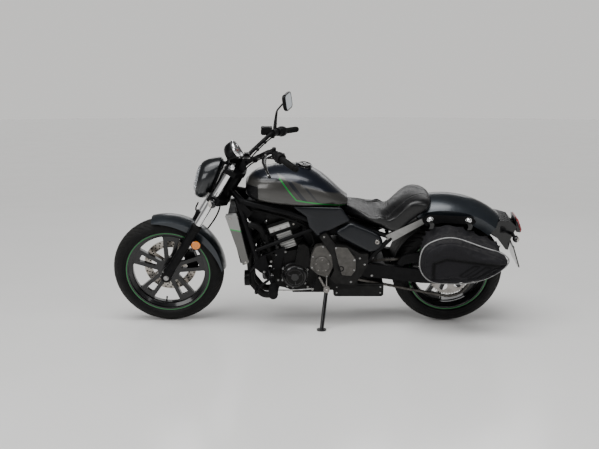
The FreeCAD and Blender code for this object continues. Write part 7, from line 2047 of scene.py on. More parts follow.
@dataclass
class EngineTrim:
    """Fasteners, ribs and plumbing of the engine."""

    shop: Workshop
    case_y: float = 118.0
    generator: Flat = (715.0, 334.0)
    gear_cap: Flat = (864.0, 410.0)
    clutch: Flat = (826.0, 352.0)
    generator_profile: tuple[Flat, ...] = ((0, 74), (9, 74), (11, 71), (12, 66.5), (30, 67.5), (33.5, 66), (40, 60),
                                           (45.6, 48),
                                           (46.4, 44), (45.2, 42), (45.2, 22), (46.6, 20), (46.6, 0.2))
    clutch_profile: tuple[Flat, ...] = ((0, 102), (9, 102), (11, 99), (12, 95.5), (34, 96), (40, 93), (49.6, 76),
                                        (50.4, 70),
                                        (49, 68), (49, 30), (50.4, 28), (50.4, 0.2))
    cap_profile: tuple[Flat, ...] = ((-2, 47), (8, 47), (10.5, 45), (11.5, 41), (16.4, 40.5), (17.6, 38.5),
                                     (17.0, 30),
                                     (15.4, 28), (15.4, 0.2))
    lug_profile: tuple[Flat, ...] = ((0, 10.5), (10, 10.5), (12, 9))
    case_spots: tuple[Flat, ...] = ((612, 452), (598, 372), (622, 300), (672, 262), (786, 258), (664, 470))
    bore_y: float = 40.0

    def round_cover(self, word: str, centre: Flat, side: int, profile: Sequence[Flat], sides: int, reach: float,
                    degrees: Sequence[float]) -> None:
        """A turned cover on one side of the case, with bolts on lugs round it.

        Args:
            word: the first word of its pieces' names.
            centre: its axis in XZ.
            side: -1 for the left side, 1 for the right.
            profile: its (distance from the case, radius) pairs.
            sides: how many sides its circles have.
            reach: the bolts' distance from the axis.
            degrees: the bolts' angles.
        """
        f = self.shop.finishes
        y, way = side * self.case_y, (0, side, 0)
        self.shop.make(word + "_skin", lathe((centre[0], y, centre[1]), way, profile, sides), Body.FRAME, Slot.GLOSS,
                       f.gloss, 28)
        lugs = lathes(on_circle(centre, reach, y, degrees), way, self.lug_profile, 24)
        self.shop.make(word + "_lugs", lugs, Body.FRAME, Slot.GLOSS, f.gloss)
        heads = bolts(on_circle(centre, reach, y + side * 12, degrees), way, 8, 5)
        self.shop.make(word + "_bolts", heads, Body.FRAME, Slot.STEEL, f.zinc)

    def covers(self) -> None:
        """The generator cover on the left with three ribs on its face, and the clutch cover on the right."""
        self.round_cover("generator", self.generator, -1, self.generator_profile, 72, 75,
                         [25, 80, 150, 205, 262, 318])
        x, z = self.generator
        run = np.linspace(24, 43, 6)
        ribs = [sweep(np.stack([x + run * math.cos(a), np.full(6, -self.case_y - 46.2), z + run * math.sin(a)], 1),
                      3.2, 8,
                      up=(0, 1, 0), squash=0.5) for a in np.radians([35, 155, 275])]
        self.shop.make("generator_ribs", all_of(ribs), Body.FRAME, Slot.GLOSS, self.shop.finishes.gloss)
        self.round_cover("clutch", self.clutch, 1, self.clutch_profile, 84, 104, np.arange(9) * 40 + 12)

    def gear_side(self) -> None:
        """Gearbox and sprocket covers: bolts round their outlines, the cap's rings, the raised plate's eased edge."""
        f = self.shop.finishes
        x, z = self.gear_cap
        y = -self.case_y - self.bore_y
        cap = lathe((x, y, z), (0, -1, 0), self.cap_profile, 72)
        self.shop.make("gear_cap_skin", cap, Body.FRAME, Slot.ENGINE, f.warm_cast, 28)
        places = on_circle(self.gear_cap, 35, y - 15.5, 90 + np.arange(5) * 72)
        self.shop.make("gear_cap_bolts", bolts(places, (0, -1, 0), 7.5, 4.6), Body.FRAME, Slot.STEEL, f.steel)
        outline = shares((798, 330), 126, 196,
                         [(0.04, 0.66), (0.22, 0.94), (0.6, 1.0), (0.95, 0.72), (1.0, 0.34), (0.78, 0.0),
                          (0.33, 0.1), (0.0, 0.3)])
        skin = plate(shrunk(rounded(outline, 22), 1.5), y + 4, y - 3.5, 0, 3)
        self.shop.make("gearbox_skin", skin, Body.FRAME, Slot.ENGINE, f.warm_cast, 28)
        spots = shrunk(outline, 11)[[0, 2, 3, 5, 7]]
        self.shop.make("gearbox_bolts", bolts([(x, y - 3, z) for x, z in spots], (0, -1, 0), 7, 4.6), Body.FRAME,
                       Slot.STEEL, f.zinc)
        corner, size = (846.0, 289.0), (270.0, 308.0)
        plate_outline = shares(corner, *size,
                               [(0.31, 0.745), (0.575, 0.725), (0.75, 0.505), (0.75, 0.295), (0.655, 0.185),
                                (0.475, 0.203), (0.39, 0.45)])
        self.shop.make("sprocket_plate_skin", plate(plate_outline, -167.5, -172.4, 9, 2.4), Body.FRAME, Slot.ENGINE,
                       f.warm_cast, 28)
        spots = shrunk(plate_outline, 10)[[0, 2, 3]]
        self.shop.make("sprocket_plate_bolts", bolts([(x, -172.4, z) for x, z in spots], (0, -1, 0), 7, 4),
                       Body.FRAME, Slot.STEEL, f.zinc)
        port = lathe((968, -173.2, 390), (0, -1, 0),
                     [(-2.5, 11), (-2.5, 16.5), (0.4, 16.5), (1.2, 15), (1.2, 11.4), (-2.5, 11)], 32)
        self.shop.make("sprocket_port_ring", port, Body.FRAME, Slot.RUBBER, f.rubber)
        outer = shares(corner, *size, [(0.1, 0.93), (0.83, 0.52), (0.93, 0.4), (0.66, 0.06)])
        self.shop.make("sprocket_cover_bolts", bolts([(x, -164.2, z) for x, z in outer], (0, -1, 0), 8, 5),
                       Body.FRAME, Slot.STEEL, f.zinc)

    def case(self) -> None:
        """The case's faces: bosses with bolts along the seam, low ribs, and the oil filter ahead of it."""
        f = self.shop.finishes
        bosses = lathes([(x, self.case_y, z) for x, z in self.case_spots], (0, 1, 0), [(-1, 11), (4, 11), (5.5, 9.5)],
                        24)
        self.shop.make("case_bosses", bosses.both(), Body.FRAME, Slot.ENGINE, f.case)
        heads = bolts([(x, self.case_y + 5.2, z) for x, z in self.case_spots], (0, 1, 0), 8, 5)
        self.shop.make("case_bolts", heads.both(), Body.FRAME, Slot.STEEL, f.zinc)
        ribs = []
        for k in range(5):
            x = 628 + 9 * k
            path = np.stack([np.linspace(x, x - 12, 8), np.full(8, self.case_y + 0.5),
                             np.linspace(322 - 3 * k, 430, 8)], 1)
            ribs.append(sweep(path, 2.6, 8, up=(0, 1, 0)))
        self.shop.make("case_ribs", all_of(ribs).both(), Body.FRAME, Slot.ENGINE, f.case)
        oil_filter = lathe((584, -22, 300), (-1, 0, -0.1),
                           [(0, 34), (6, 36), (44, 36), (50, 33), (54, 26), (54.5, 0.2)], 36)
        self.shop.make("oil_filter", oil_filter, Body.FRAME, Slot.GLOSS, f.gloss)

    def head(self) -> None:
        """Head cover bolts, throttle bodies in their intake boots, and the studs on the head's flanks."""
        f = self.shop.finishes
        t = math.radians(20)
        along, ahead = np.array([-math.sin(t), 0, math.cos(t)]), np.array([math.cos(t), 0, math.sin(t)])
        foot = np.array([706.0, 0, 470.0])

        def at(depth: float, y: float, height: float) -> Point:
            """A point on the sloping cylinder axis."""
            return tuple(foot + ahead * depth + along * height + np.array([0, y, 0]))

        heads = [at(d, y, 222) for d in (-56, 0, 56) for y in (-68, 68)]
        self.shop.make("head_cover_bolts", bolts(heads, tuple(along), 9, 6), Body.FRAME, Slot.STEEL, f.zinc)
        aim = unit(np.array([0.72, 0, 0.7]))
        starts = np.array([at(62, y, 168) for y in (-40, 40)])
        boots = lathes(starts, tuple(aim),
                       [(-8, 27), (4, 27), (8, 29), (14, 29), (18, 27), (30, 27), (32, 29), (38, 29)], 36)
        self.shop.make("intake_boots", boots, Body.FRAME, Slot.RUBBER, f.rubber)
        bodies = lathes(starts, tuple(aim), [(36, 26), (38, 29), (66, 29), (68, 31), (76, 31), (78, 26)], 36)
        self.shop.make("throttle_bodies", bodies, Body.FRAME, Slot.ALLOY, f.dark_cast)
        rings = lathes(starts, tuple(aim), [(8, 29.2), (8, 30.4), (15, 30.4), (15, 29.2)], 40)
        self.shop.make("intake_clamps", rings, Body.FRAME, Slot.STEEL, f.steel)
        studs = lathes([at(d, 106, 150) for d in (-58, -20, 18, 56)], (0, 1, 0), [(0, 6), (10, 6), (11, 4.5)], 6)
        self.shop.make("head_studs", studs.both(), Body.FRAME, Slot.STEEL, f.steel)

    def build(self) -> None:
        """Make every part of the engine's trim."""
        self.covers()
        self.gear_side()
        self.case()
        self.head()


@dataclass
class RearLights:
    """The tail lamp's strip over its black housing, rear turn lamps, and the plate's bare back with its bolts."""

    shop: Workshop
    lamp: tuple[Flat, ...] = ((1922.0, 642.0), (1942.7, 630.0), (1966.0, 573.0), (1963.4, 556.0), (1935.8, 561.0))
    strip: tuple[Flat, ...] = ((1930.0, 640.5), (1945.5, 631.0), (1968.0, 574.5), (1964.5, 560.0), (1953.0, 563.0),
                               (1946.0, 584.0))
    half_width: float = 60.0
    corner: float = 8.0
    signal: Flat = (1916.0, 556.0)
    signal_radius: float = 19.0
    signal_length: float = 44.0
    signal_y: float = 124.0
    plate: tuple[Flat, Flat] = ((1922.0, 492.0), (1966.0, 364.0))
    plate_half_width: float = 95.0
    backing: float = 7.0

    def turn_lamps(self) -> None:
        """Eggs on tapered stalks: a black bowl in front of a lens that faces rearwards."""
        f = self.shop.finishes
        maker = SideLamps(self.shop, length=self.signal_length, radius=self.signal_radius, stalk_radii=(11.0, 8.0))
        bowl, lens = maker.egg(np.zeros(3), False), maker.egg(np.zeros(3), True)
        flip = np.array([-1, 1, 1])
        x, z = self.signal
        bowls, lenses = [], []
        for s in (-1, 1):
            centre = np.array([x, s * (self.signal_y + self.signal_length / 2), z])
            root, end = np.array([x - 4, s * 62, z]), np.array([x - 2, s * (self.signal_y + 6), z])
            bowls += [Skin(bowl.points * flip + centre, bowl.faces), maker.stalk(root, end)]
            lenses.append(Skin(lens.points * flip + centre, lens.faces))
        self.shop.make("rear_signal_housings", all_of(bowls), Body.FRAME, Slot.GLOSS, f.gloss, 50)
        self.shop.make("rear_signal_lenses", all_of(lenses), Body.FRAME, Slot.LENS, f.signal_lens, 50)

    def build(self) -> None:
        """Make the lamp, its strip, the turn lamps, the plate's back and its bolts."""
        f = self.shop.finishes
        housing = eased_block(self.lamp, self.half_width, self.corner, 6)
        self.shop.make("tail_lamp_housing", housing, Body.FRAME, Slot.GLOSS, f.gloss, 40, ("rear_lamps",))
        strip = eased_block(self.strip, self.half_width + 0.8, self.corner, 9)
        self.shop.make("tail_lamp_lens", strip, Body.FRAME, Slot.RED, f.red, 40)
        self.turn_lamps()
        top, bottom = np.array(self.plate[0]), np.array(self.plate[1])
        way = unit(bottom - top)
        ahead = np.array([-way[1], way[0]]) * (-1 if -way[1] > 0 else 1)
        start, end = top + ahead * self.backing + way * 6, bottom + ahead * self.backing - way
        half, thick = self.plate_half_width - 1, ahead * 1.6
        sheet = plate([tuple(start), tuple(end), tuple(end + thick), tuple(start + thick)], -half, half)
        self.shop.make("plate_back", sheet, Body.FRAME, Slot.ALLOY, f.bare_sheet, 30)
        out = tuple(-np.array([ahead[0], 0, ahead[1]]))
        middle = top + way * 22 - ahead * 2.0
        self.shop.make("plate_bolts", bolts([(middle[0], y, middle[1]) for y in (-60, 60)], out, 8, 4), Body.FRAME,
                       Slot.STEEL, f.zinc)


@dataclass
class BagRail:
    """The rail over each saddlebag: two domed chrome bolts on washers, and the loop of cloth that hangs from each."""

    shop: Workshop
    bosses: tuple[Flat, ...] = ((1442.0, 674.0), (1648.0, 668.0))
    face_y: float = 161.0

    def build(self) -> None:
        """Turn the bolts on both sides."""
        f = self.shop.finishes
        dome = [(-1, 17), (1.5, 17), (2, 15), (5, 14.5), (9, 12.5), (12, 8.5), (13.5, 4), (13.8, 0.2)]
        places = [(x, self.face_y, z) for x, z in self.bosses]
        self.shop.make("rail_domes", lathes(places, (0, 1, 0), dome, 40).both(), Body.FRAME, Slot.CHROME, f.chrome,
                       40)
        pads = lathes(places, (0, 1, 0), [(-8, 22), (-1, 22), (0, 20.5), (0.4, 16)], 40)
        self.shop.make("rail_washers", pads.both(), Body.FRAME, Slot.RUBBER, f.rubber)
        t = np.linspace(0, 1, 16)
        side = np.linspace(-11, 11, 5)[None, :, None] * np.array([1.0, 0, 0.05])
        proud = np.array([0, 1.2, 0.8])
        loops = []
        for x, y, z in places:
            run = np.stack([x + 10 * np.sin(3 * t), y + 2 + 24 * t, z - 14 - 30 * t ** 1.4], 1)[:, None] + side
            loops.append(woven(np.concatenate([run + proud, (run - proud)[:, ::-1]], 1), caps=True))
        self.shop.make("rail_loops", all_of(loops).both(), Body.FRAME, Slot.CLOTH, f.thread, 60)


@dataclass
class FrameTrim:
    """Fasteners and weld beads of the frame, screws of the covers, and the fan behind the radiator."""

    shop: Workshop
    spots: tuple[Point, ...] = ((503, 128, 484), (584, 128, 414), (545, 128, 352), (428, 108, 690), (470, 108, 640),
                                (1018, 143, 452),
                                (1140, 143, 336), (1142, 143, 446), (1218, 145, 556), (1408, 145, 664),
                                (1060, 143, 392))
    proud: float = 0.3
    cover_screw: Point = (1163, 155.5, 541)
    shroud_spots: tuple[Point, ...] = ((366, 148.2, 676), (445, 148.2, 416))
    joints: tuple[tuple[Point, Point, float], ...] = (
        ((436, 92.6, 750), (152, 26, -30), 17.5), ((505, 119.7, 430), (76, 8, -247), 16.6),
        ((510, 132, 487), (369, 0, 148), 11.6), ((866, 132, 629), (369, 0, 148), 11.6))
    fan_top: Flat = (392.0, 672.0)
    fan_low: Flat = (452.0, 412.0)

    def build(self) -> None:
        """Set bolts and beads on both sides."""
        f = self.shop.finishes
        heads = bolts(np.array(self.spots) + [0, self.proud, 0], (0, 1, 0), 9, 5)
        self.shop.make("frame_bolts", heads.both(), Body.FRAME, Slot.STEEL, f.zinc)
        screw = lathe(self.cover_screw, (0, 1, 0),
                      [(-8, 13), (0.5, 13), (2.4, 11.5), (2.8, 9), (1.4, 8), (1.4, 5.2), (-0.5, 5.0),
                       (-0.5, 0.2)], 32)
        self.shop.make("cover_screws", screw.both(), Body.FRAME, Slot.STEEL, f.steel)
        self.shop.make("shroud_screws", bolts(self.shroud_spots, (0, 1, 0), 10, 5).both(), Body.FRAME, Slot.STEEL,
                       f.steel)
        beads = [lathe(centre, axis, [(-4, r), (-2, r + 2), (2, r + 2), (4, r)], 28) for centre, axis,
                 r in self.joints]
        self.shop.make("weld_beads", all_of(beads).both(), Body.FRAME, Slot.FRAME, f.satin)
        self.fan()

    def fan(self) -> None:
        """The fan shroud behind the radiator: an eased dark tray, and the motor's rings in its middle."""
        f = self.shop.finishes
        top, low = np.array(self.fan_top), np.array(self.fan_low)
        way = unit(low - top)
        back = np.array([-way[1], way[0]]) * (1 if -way[1] > 0 else -1)
        ring = rounded([(-104, 12), (104, 12), (104, 250), (-104, 250)], 18)
        rows = []
        for depth, inset in ((0.0, 0.0), (14.0, 0.0), (22.0, 10.0), (24.0, 30.0)):
            flat = shrunk(ring, inset)
            middle = top[None] + flat[:, 1:2] * way + depth * back
            rows.append(np.stack([middle[:, 0], flat[:, 0], middle[:, 1]], 1))
        self.shop.make("fan_shroud", woven(np.array(rows), caps=True), Body.FRAME, Slot.PLASTIC, f.plastic, 30)
        hub = top + way * 131 + back * 24
        motor = lathe((hub[0], 0, hub[1]), (back[0], 0, back[1]),
                      [(-1, 78), (8, 78), (9, 74), (3, 72), (3, 32), (24, 30), (34, 26), (35, 0.2)], 48)
        self.shop.make("fan_motor", motor, Body.FRAME, Slot.PLASTIC, f.smooth_plastic, 30)


@dataclass
class SideCovers:
    """The covers under the tank and the seat as crowned shells, in place of their flat-faced solids."""

    shop: Workshop
    upper_parts: tuple[Flat, ...] = ((0.0, 1.0), (0.83, 0.96), (1.0, 0.54), (0.61, 0.17), (0.43, 0.0), (0.28, 0.31),
                                     (0.23, 0.66),
                                     (0.07, 0.88))
    lower_parts: tuple[Flat, ...] = ((0.0, 0.68), (0.13, 0.86), (0.3, 1.0), (0.57, 0.89), (0.84, 0.7), (1.0, 0.46),
                                     (0.99, 0.18),
                                     (0.77, 0.0), (0.58, 0.11))
    upper_levels: tuple[Flat, ...] = ((136, 0.99), (136.4, 1.0), (142, 1.0), (145, 0.985), (147, 0.95), (149, 0.86),
                                      (150.6, 0.7),
                                      (151.6, 0.45), (152, 0.02))
    lower_levels: tuple[Flat, ...] = ((122, 0.93), (130, 0.97), (138, 1.0), (143.5, 0.99), (149, 0.945), (153, 0.87),
                                      (156, 0.74),
                                      (158, 0.52), (159, 0.26), (159.2, 0.02))

    def build(self) -> None:
        """Lay both covers' rings and mirror them."""
        upper = crowned(rounded(shares((706, 572), 309, 170, self.upper_parts), 12, 7), (871, 667), self.upper_levels)
        loop = round_loop(np.insert(shares((938, 478), 250, 168, self.lower_parts), 1, 0.0, axis=1), 160)[:, [0, 2]]
        both = (upper + crowned(loop, (1063, 562), self.lower_levels)).both()
        self.shop.make("side_covers", both, Body.FRAME, Slot.GRAPHITE, self.shop.finishes.cover, 35, ("side_panels",))


@dataclass(frozen=True)
class Block:
    """An eased block inside the frame: its outline in XZ, half width, corner radius and edge."""

    name: str
    outline: tuple[Flat, ...]
    half: float
    corner: float
    edge: float
    slot: Slot = Slot.PLASTIC


@dataclass
class InnerWorks:
    """What fills the frame round the engine: coil, regulator, ducts, hoses and the wiring loom."""

    shop: Workshop
    blocks: tuple[Block, ...] = (
        Block("coil_cover",
              ((452, 700), (540, 688), (600, 668), (596, 636), (560, 632), (520, 596), (476, 600), (462, 640)), 62,
              12, 8),
        Block("oil_cooler_duct", ((500, 590), (552, 600), (566, 560), (596, 500), (606, 440), (566, 430), (528, 470)),
              34, 10, 8),
        Block("regulator", ((528, 466), (590, 452), (604, 372), (556, 366)), 84, 8, 5, Slot.ENGINE),
        Block("air_box", ((756, 640), (880, 628), (900, 560), (868, 484), (790, 480), (742, 560)), 84, 18, 12),
        Block("battery_case", ((872, 664), (1010, 650), (1016, 560), (900, 556), (866, 600)), 100, 12, 8),
        Block("rear_tray", ((1000, 640), (1140, 600), (1236, 622), (1240, 600), (1150, 560), (1010, 566)), 64, 12, 8),
        Block("frame_spine", ((452, 742), (560, 738), (700, 730), (820, 724), (818, 690), (640, 690), (452, 704)), 88,
              10, 8, Slot.FRAME))
    fin: tuple[Flat, ...] = ((522, 462), (532, 464), (560, 368), (550, 366))
    hoses: tuple[tuple[str, float, tuple[Point, ...]], ...] = (
        ("radiator_hose_upper", 17.0,
         ((402, -88, 602), (452, -104, 622), (500, -112, 622), (534, -112, 596), (546, -104, 548), (560, -84, 520))),
        ("radiator_hose_lower", 16.0,
         ((446, 70, 436), (470, 78, 410), (510, 84, 392), (560, 84, 372), (604, 84, 352))),
        ("water_pipe", 12.0,
         ((556, -108, 566), (566, -112, 520), (572, -110, 476), (596, -104, 440), (628, -98, 430))),
        ("loom_left", 6.5,
         ((420, -60, 716), (478, -88, 706), (560, -98, 690), (650, -104, 668), (730, -110, 640), (800, -108, 596),
          (820, -112, 520))),
        ("loom_lower", 4.5, ((820, -112, 520), (790, -116, 470), (760, -120, 440), (742, -124, 404))),
        ("breather", 8.0, ((640, -84, 690), (682, -96, 668), (736, -100, 652), (780, -96, 618))),
        ("cooler_hose_left", 8.0,
         ((560, -52, 372), (548, -66, 330), (556, -70, 292), (584, -60, 268), (624, -50, 262))),
        ("cooler_hose_right", 8.0, ((560, 52, 372), (548, 66, 330), (556, 70, 292), (584, 60, 268), (624, 50, 262))))
    level_run: float = 60.0

    @staticmethod
    def smooth(points: Sequence[Point], count: int = 40) -> np.ndarray:
        """A path through points, each run eased by the quadratic curve between its middles."""
        p = np.array(points, float)
        mids = np.vstack([p[:1], (p[1:] + p[:-1]) / 2, p[-1:]])
        pieces = [bezier((mids[i], p[i], mids[i + 1]), count)[:-1] for i in range(len(p))]
        return np.vstack(pieces + [mids[-1:]])

    def build(self) -> None:
        """Make the blocks and the regulator's fins, then the hoses, with clamps on the wide ones."""
        f = self.shop.finishes
        dressed = {"oil_cooler_duct": f.smooth_plastic, "regulator": f.case, "frame_spine": f.satin}
        for block in self.blocks:
            skin = eased_block(block.outline, block.half, block.corner, block.edge)
            self.shop.make(block.name, skin, Body.FRAME, block.slot, dressed.get(block.name, f.plastic), 30)
        fins = all_of([plate(self.fin, y - 1.6, y + 1.6) for y in np.linspace(-72, 72, 17)])
        self.shop.make("regulator_fins", fins, Body.FRAME, Slot.ENGINE, f.case)
        clamps = []
        for name, radius, points in self.hoses:
            path = self.smooth(points)
            up = (0.2, 0.1, 1.0) if abs(points[0][2] - points[-1][2]) < self.level_run else (1.0, 0.15, 0.1)
            self.shop.make(name, sweep(path, radius, 16, up=up), Body.FRAME, Slot.RUBBER, f.rubber, 60)
            if name.startswith("radiator_hose"):
                band = [(-5, radius + 0.3), (-5, radius + 1.6), (5, radius + 1.6), (5, radius + 0.3)]
                for i in (int(share * (len(path) - 2)) for share in (0.06, 0.94)):
                    clamps.append(lathe(tuple(path[i]), tuple(path[i + 1] - path[i]), band, 36))
        self.shop.make("hose_clamps", all_of(clamps), Body.FRAME, Slot.STEEL, f.zinc)


@dataclass
class FootTrim:
    """Ribbed rubbers on the pegs and pedals, the gear lever's rod with its joints and arm, and the peg bolts."""

    shop: Workshop
    peg: Flat = (599.0, 295.0)
    peg_radius: float = 25.0
    peg_span: Flat = (196.0, 306.0)
    pivot: Flat = (590.0, 351.0)
    pivot_y: float = 178.0
    toe: Flat = (506.0, 283.0)
    toe_y: float = 200.0
    rod: tuple[Point, ...] = ((618, -172, 262), (680, -166, 258), (750, -160, 258), (812, -156, 262))
    arms: tuple[tuple[Point, Point, float], ...] = (((590, -170, 351), (618, -174, 262), 5.5),
                                                    ((812, -158, 262), (828, -150, 318), 5.0))

    def build(self) -> None:
        """Turn the rubbers and sweep the rods."""
        f = self.shop.finishes
        low, high = self.peg_span
        d = np.linspace(0, high - low, 120)
        wave = np.sin(2 * np.pi * d / 11)
        r = self.peg_radius - 0.2 + 1.2 * np.sign(wave) * np.abs(wave) ** 0.4
        profile = [(-0.5, 12.0), (0.0, self.peg_radius - 3)] + list(zip(d, r))
        profile += [(high - low + 1, self.peg_radius - 4), (high - low + 1.5, 0.2)]
        pegs = lathe((self.peg[0], low, self.peg[1]), (0, 1, 0), profile, 36)
        self.shop.make("peg_rubbers", pegs.both(), Body.FRAME, Slot.RUBBER, f.rubber, 40)
        rod = sweep(InnerWorks.smooth(self.rod, 12), 3.6, 10, up=(0, 0, 1))
        joints = lathes([(618, -173, 262), (812, -157, 262)], (0, 1, 0), [(-7, 4), (-6, 7.5), (5, 7.5), (6, 4)], 20)
        self.shop.make("gear_rod", rod + joints, Body.FRAME, Slot.STEEL, f.zinc, 40)
        arms = all_of([sweep(np.linspace(a, b, 8), r, 10, up=(0, 1, 0)) for a, b, r in self.arms])
        self.shop.make("gear_arms", arms, Body.FRAME, Slot.FRAME, f.satin, 40)
        ribs = [(k * 4.2 + e, 10.2 - 1.4 * (e > 2)) for k in range(11) for e in (0.2, 1.9, 2.3, 4.0)]
        toes = lathe((self.toe[0], self.toe_y, self.toe[1]), (0, 1, 0), [(0, 7)] + ribs + [(47, 7)], 24)
        self.shop.make("toe_rubbers", toes.both(), Body.FRAME, Slot.RUBBER, f.rubber, 40)
        heads = bolts([(self.pivot[0], self.pivot_y, self.pivot[1])], (0, 1, 0), 12, 6)
        self.shop.make("pedal_bolts", heads.both(), Body.FRAME, Slot.STEEL, f.zinc)


@dataclass
class StandTrim:
    """The side stand's pivot bolt and its hooked return spring."""

    shop: Workshop
    pivot: Point = (890.0, -150.0, 258.0)
    spring_top: Point = (852.0, -140.0, 322.0)
    spring_low: Point = (882.0, -158.0, 270.0)
    spring_span: Flat = (0.14, 0.86)
    spring_radius: float = 6.5
    coils: float = 11.0

    def build(self) -> None:
        """Turn the bolt and wind the spring on the bracket, a helix between its hooks."""
        f = self.shop.finishes
        x, y, z = self.pivot
        bolt = bolts([(x, y - 20, z)], (0, -1, 0), 17, 8) + lathe((x, y - 20, z), (0, -1, 0),
                                                                  [(-6, 17), (-1, 17), (0, 15.5), (0.5, 12)], 32)
        self.shop.make("stand_bolt", bolt, Body.FRAME, Slot.STEEL, f.steel)
        top, low = np.array(self.spring_top), np.array(self.spring_low)
        path = helix(top, low, self.spring_span, self.spring_radius, self.coils, 220)
        hooks = [sweep(np.linspace(a, b, 6), 1.5, 8, up=(0, 1, 0.2)) for a, b in ((top, path[0]), (path[-1], low))]
        spring = sweep(path, 1.6, 8, up=tuple(unit(low - top)))
        self.shop.make("stand_spring", all_of([spring] + hooks), Body.FRAME, Slot.STEEL, f.steel, 60)
        pins = lathes([top, low], (0, 1, 0), [(-8, 5), (-7, 6), (6, 6), (14, 6)], 16)
        self.shop.make("stand_pins", pins, Body.FRAME, Slot.STEEL, f.steel)


@dataclass
class ExhaustTrim:
    """Bands and end cap of the silencer, and the shield on the chamber's left face with its bolts."""

    shop: Workshop
    start: Point = (1010.0, 150.0, 232.0)
    end: Point = (1436.0, 176.0, 262.0)
    radius: float = 48.0

    def build(self) -> None:
        """Turn the bands and the end cap about the silencer's axis; set the shield and its bolts."""
        f = self.shop.finishes
        a, b = np.array(self.start), np.array(self.end)
        way = unit(b - a)
        far = float(np.linalg.norm(b - a))
        r = self.radius
        bands = lathes([a + way * d for d in (18.0, far * 0.62, far - 42)], tuple(way),
                       [(0, r + 0.3), (0.5, r + 1.8), (13, r + 1.8), (13.5, r + 0.3)], 56)
        self.shop.make("silencer_bands", bands, Body.FRAME, Slot.STEEL, f.steel)
        cap = lathe(tuple(b), tuple(way),
                    [(-12, r + 0.5), (-4, r + 1.2), (2, r), (6, r - 6), (6, 26), (2, 25), (-14, 24),
                     (-14, 0.2)], 56)
        self.shop.make("silencer_cap", cap, Body.FRAME, Slot.STEEL, f.chrome)
        outline = shares((930, 194), 281, 78, [(0.06, 0.2), (0.94, 0.2), (0.94, 0.86), (0.06, 0.86)])
        self.shop.make("chamber_shield", plate(outline, -112.4, -115.0, 10, 1.5), Body.FRAME, Slot.FRAME, f.dark_grey,
                       30)
        spots = np.insert(shrunk(outline, 8), 1, -115.0, axis=1)
        self.shop.make("chamber_bolts", bolts(spots, (0, -1, 0), 7, 4), Body.FRAME, Slot.STEEL, f.zinc)


@dataclass
class AxleTrim:
    """Rear axle nuts and chain adjusters on both arms."""

    shop: Workshop
    axle: Flat = REAR_AXLE
    arm_y: float = 143.0

    def build(self) -> None:
        """Set nuts and adjusters on both arm ends."""
        f = self.shop.finishes
        x, z = self.axle
        nut = bolts([(x, self.arm_y + 0.5, z)], (0, 1, 0), 26, 12)
        self.shop.make("rear_axle_nuts", nut.both(), Body.FRAME, Slot.STEEL, f.zinc)
        outline = [(x - 30, z - 15), (x + 26, z - 15), (x + 26, z + 15), (x - 30, z + 15)]
        block = plate(outline, self.arm_y - 0.6, self.arm_y + 3, 5, 1.2)
        self.shop.make("axle_blocks", block.both(), Body.FRAME, Slot.ALLOY, f.brushed)


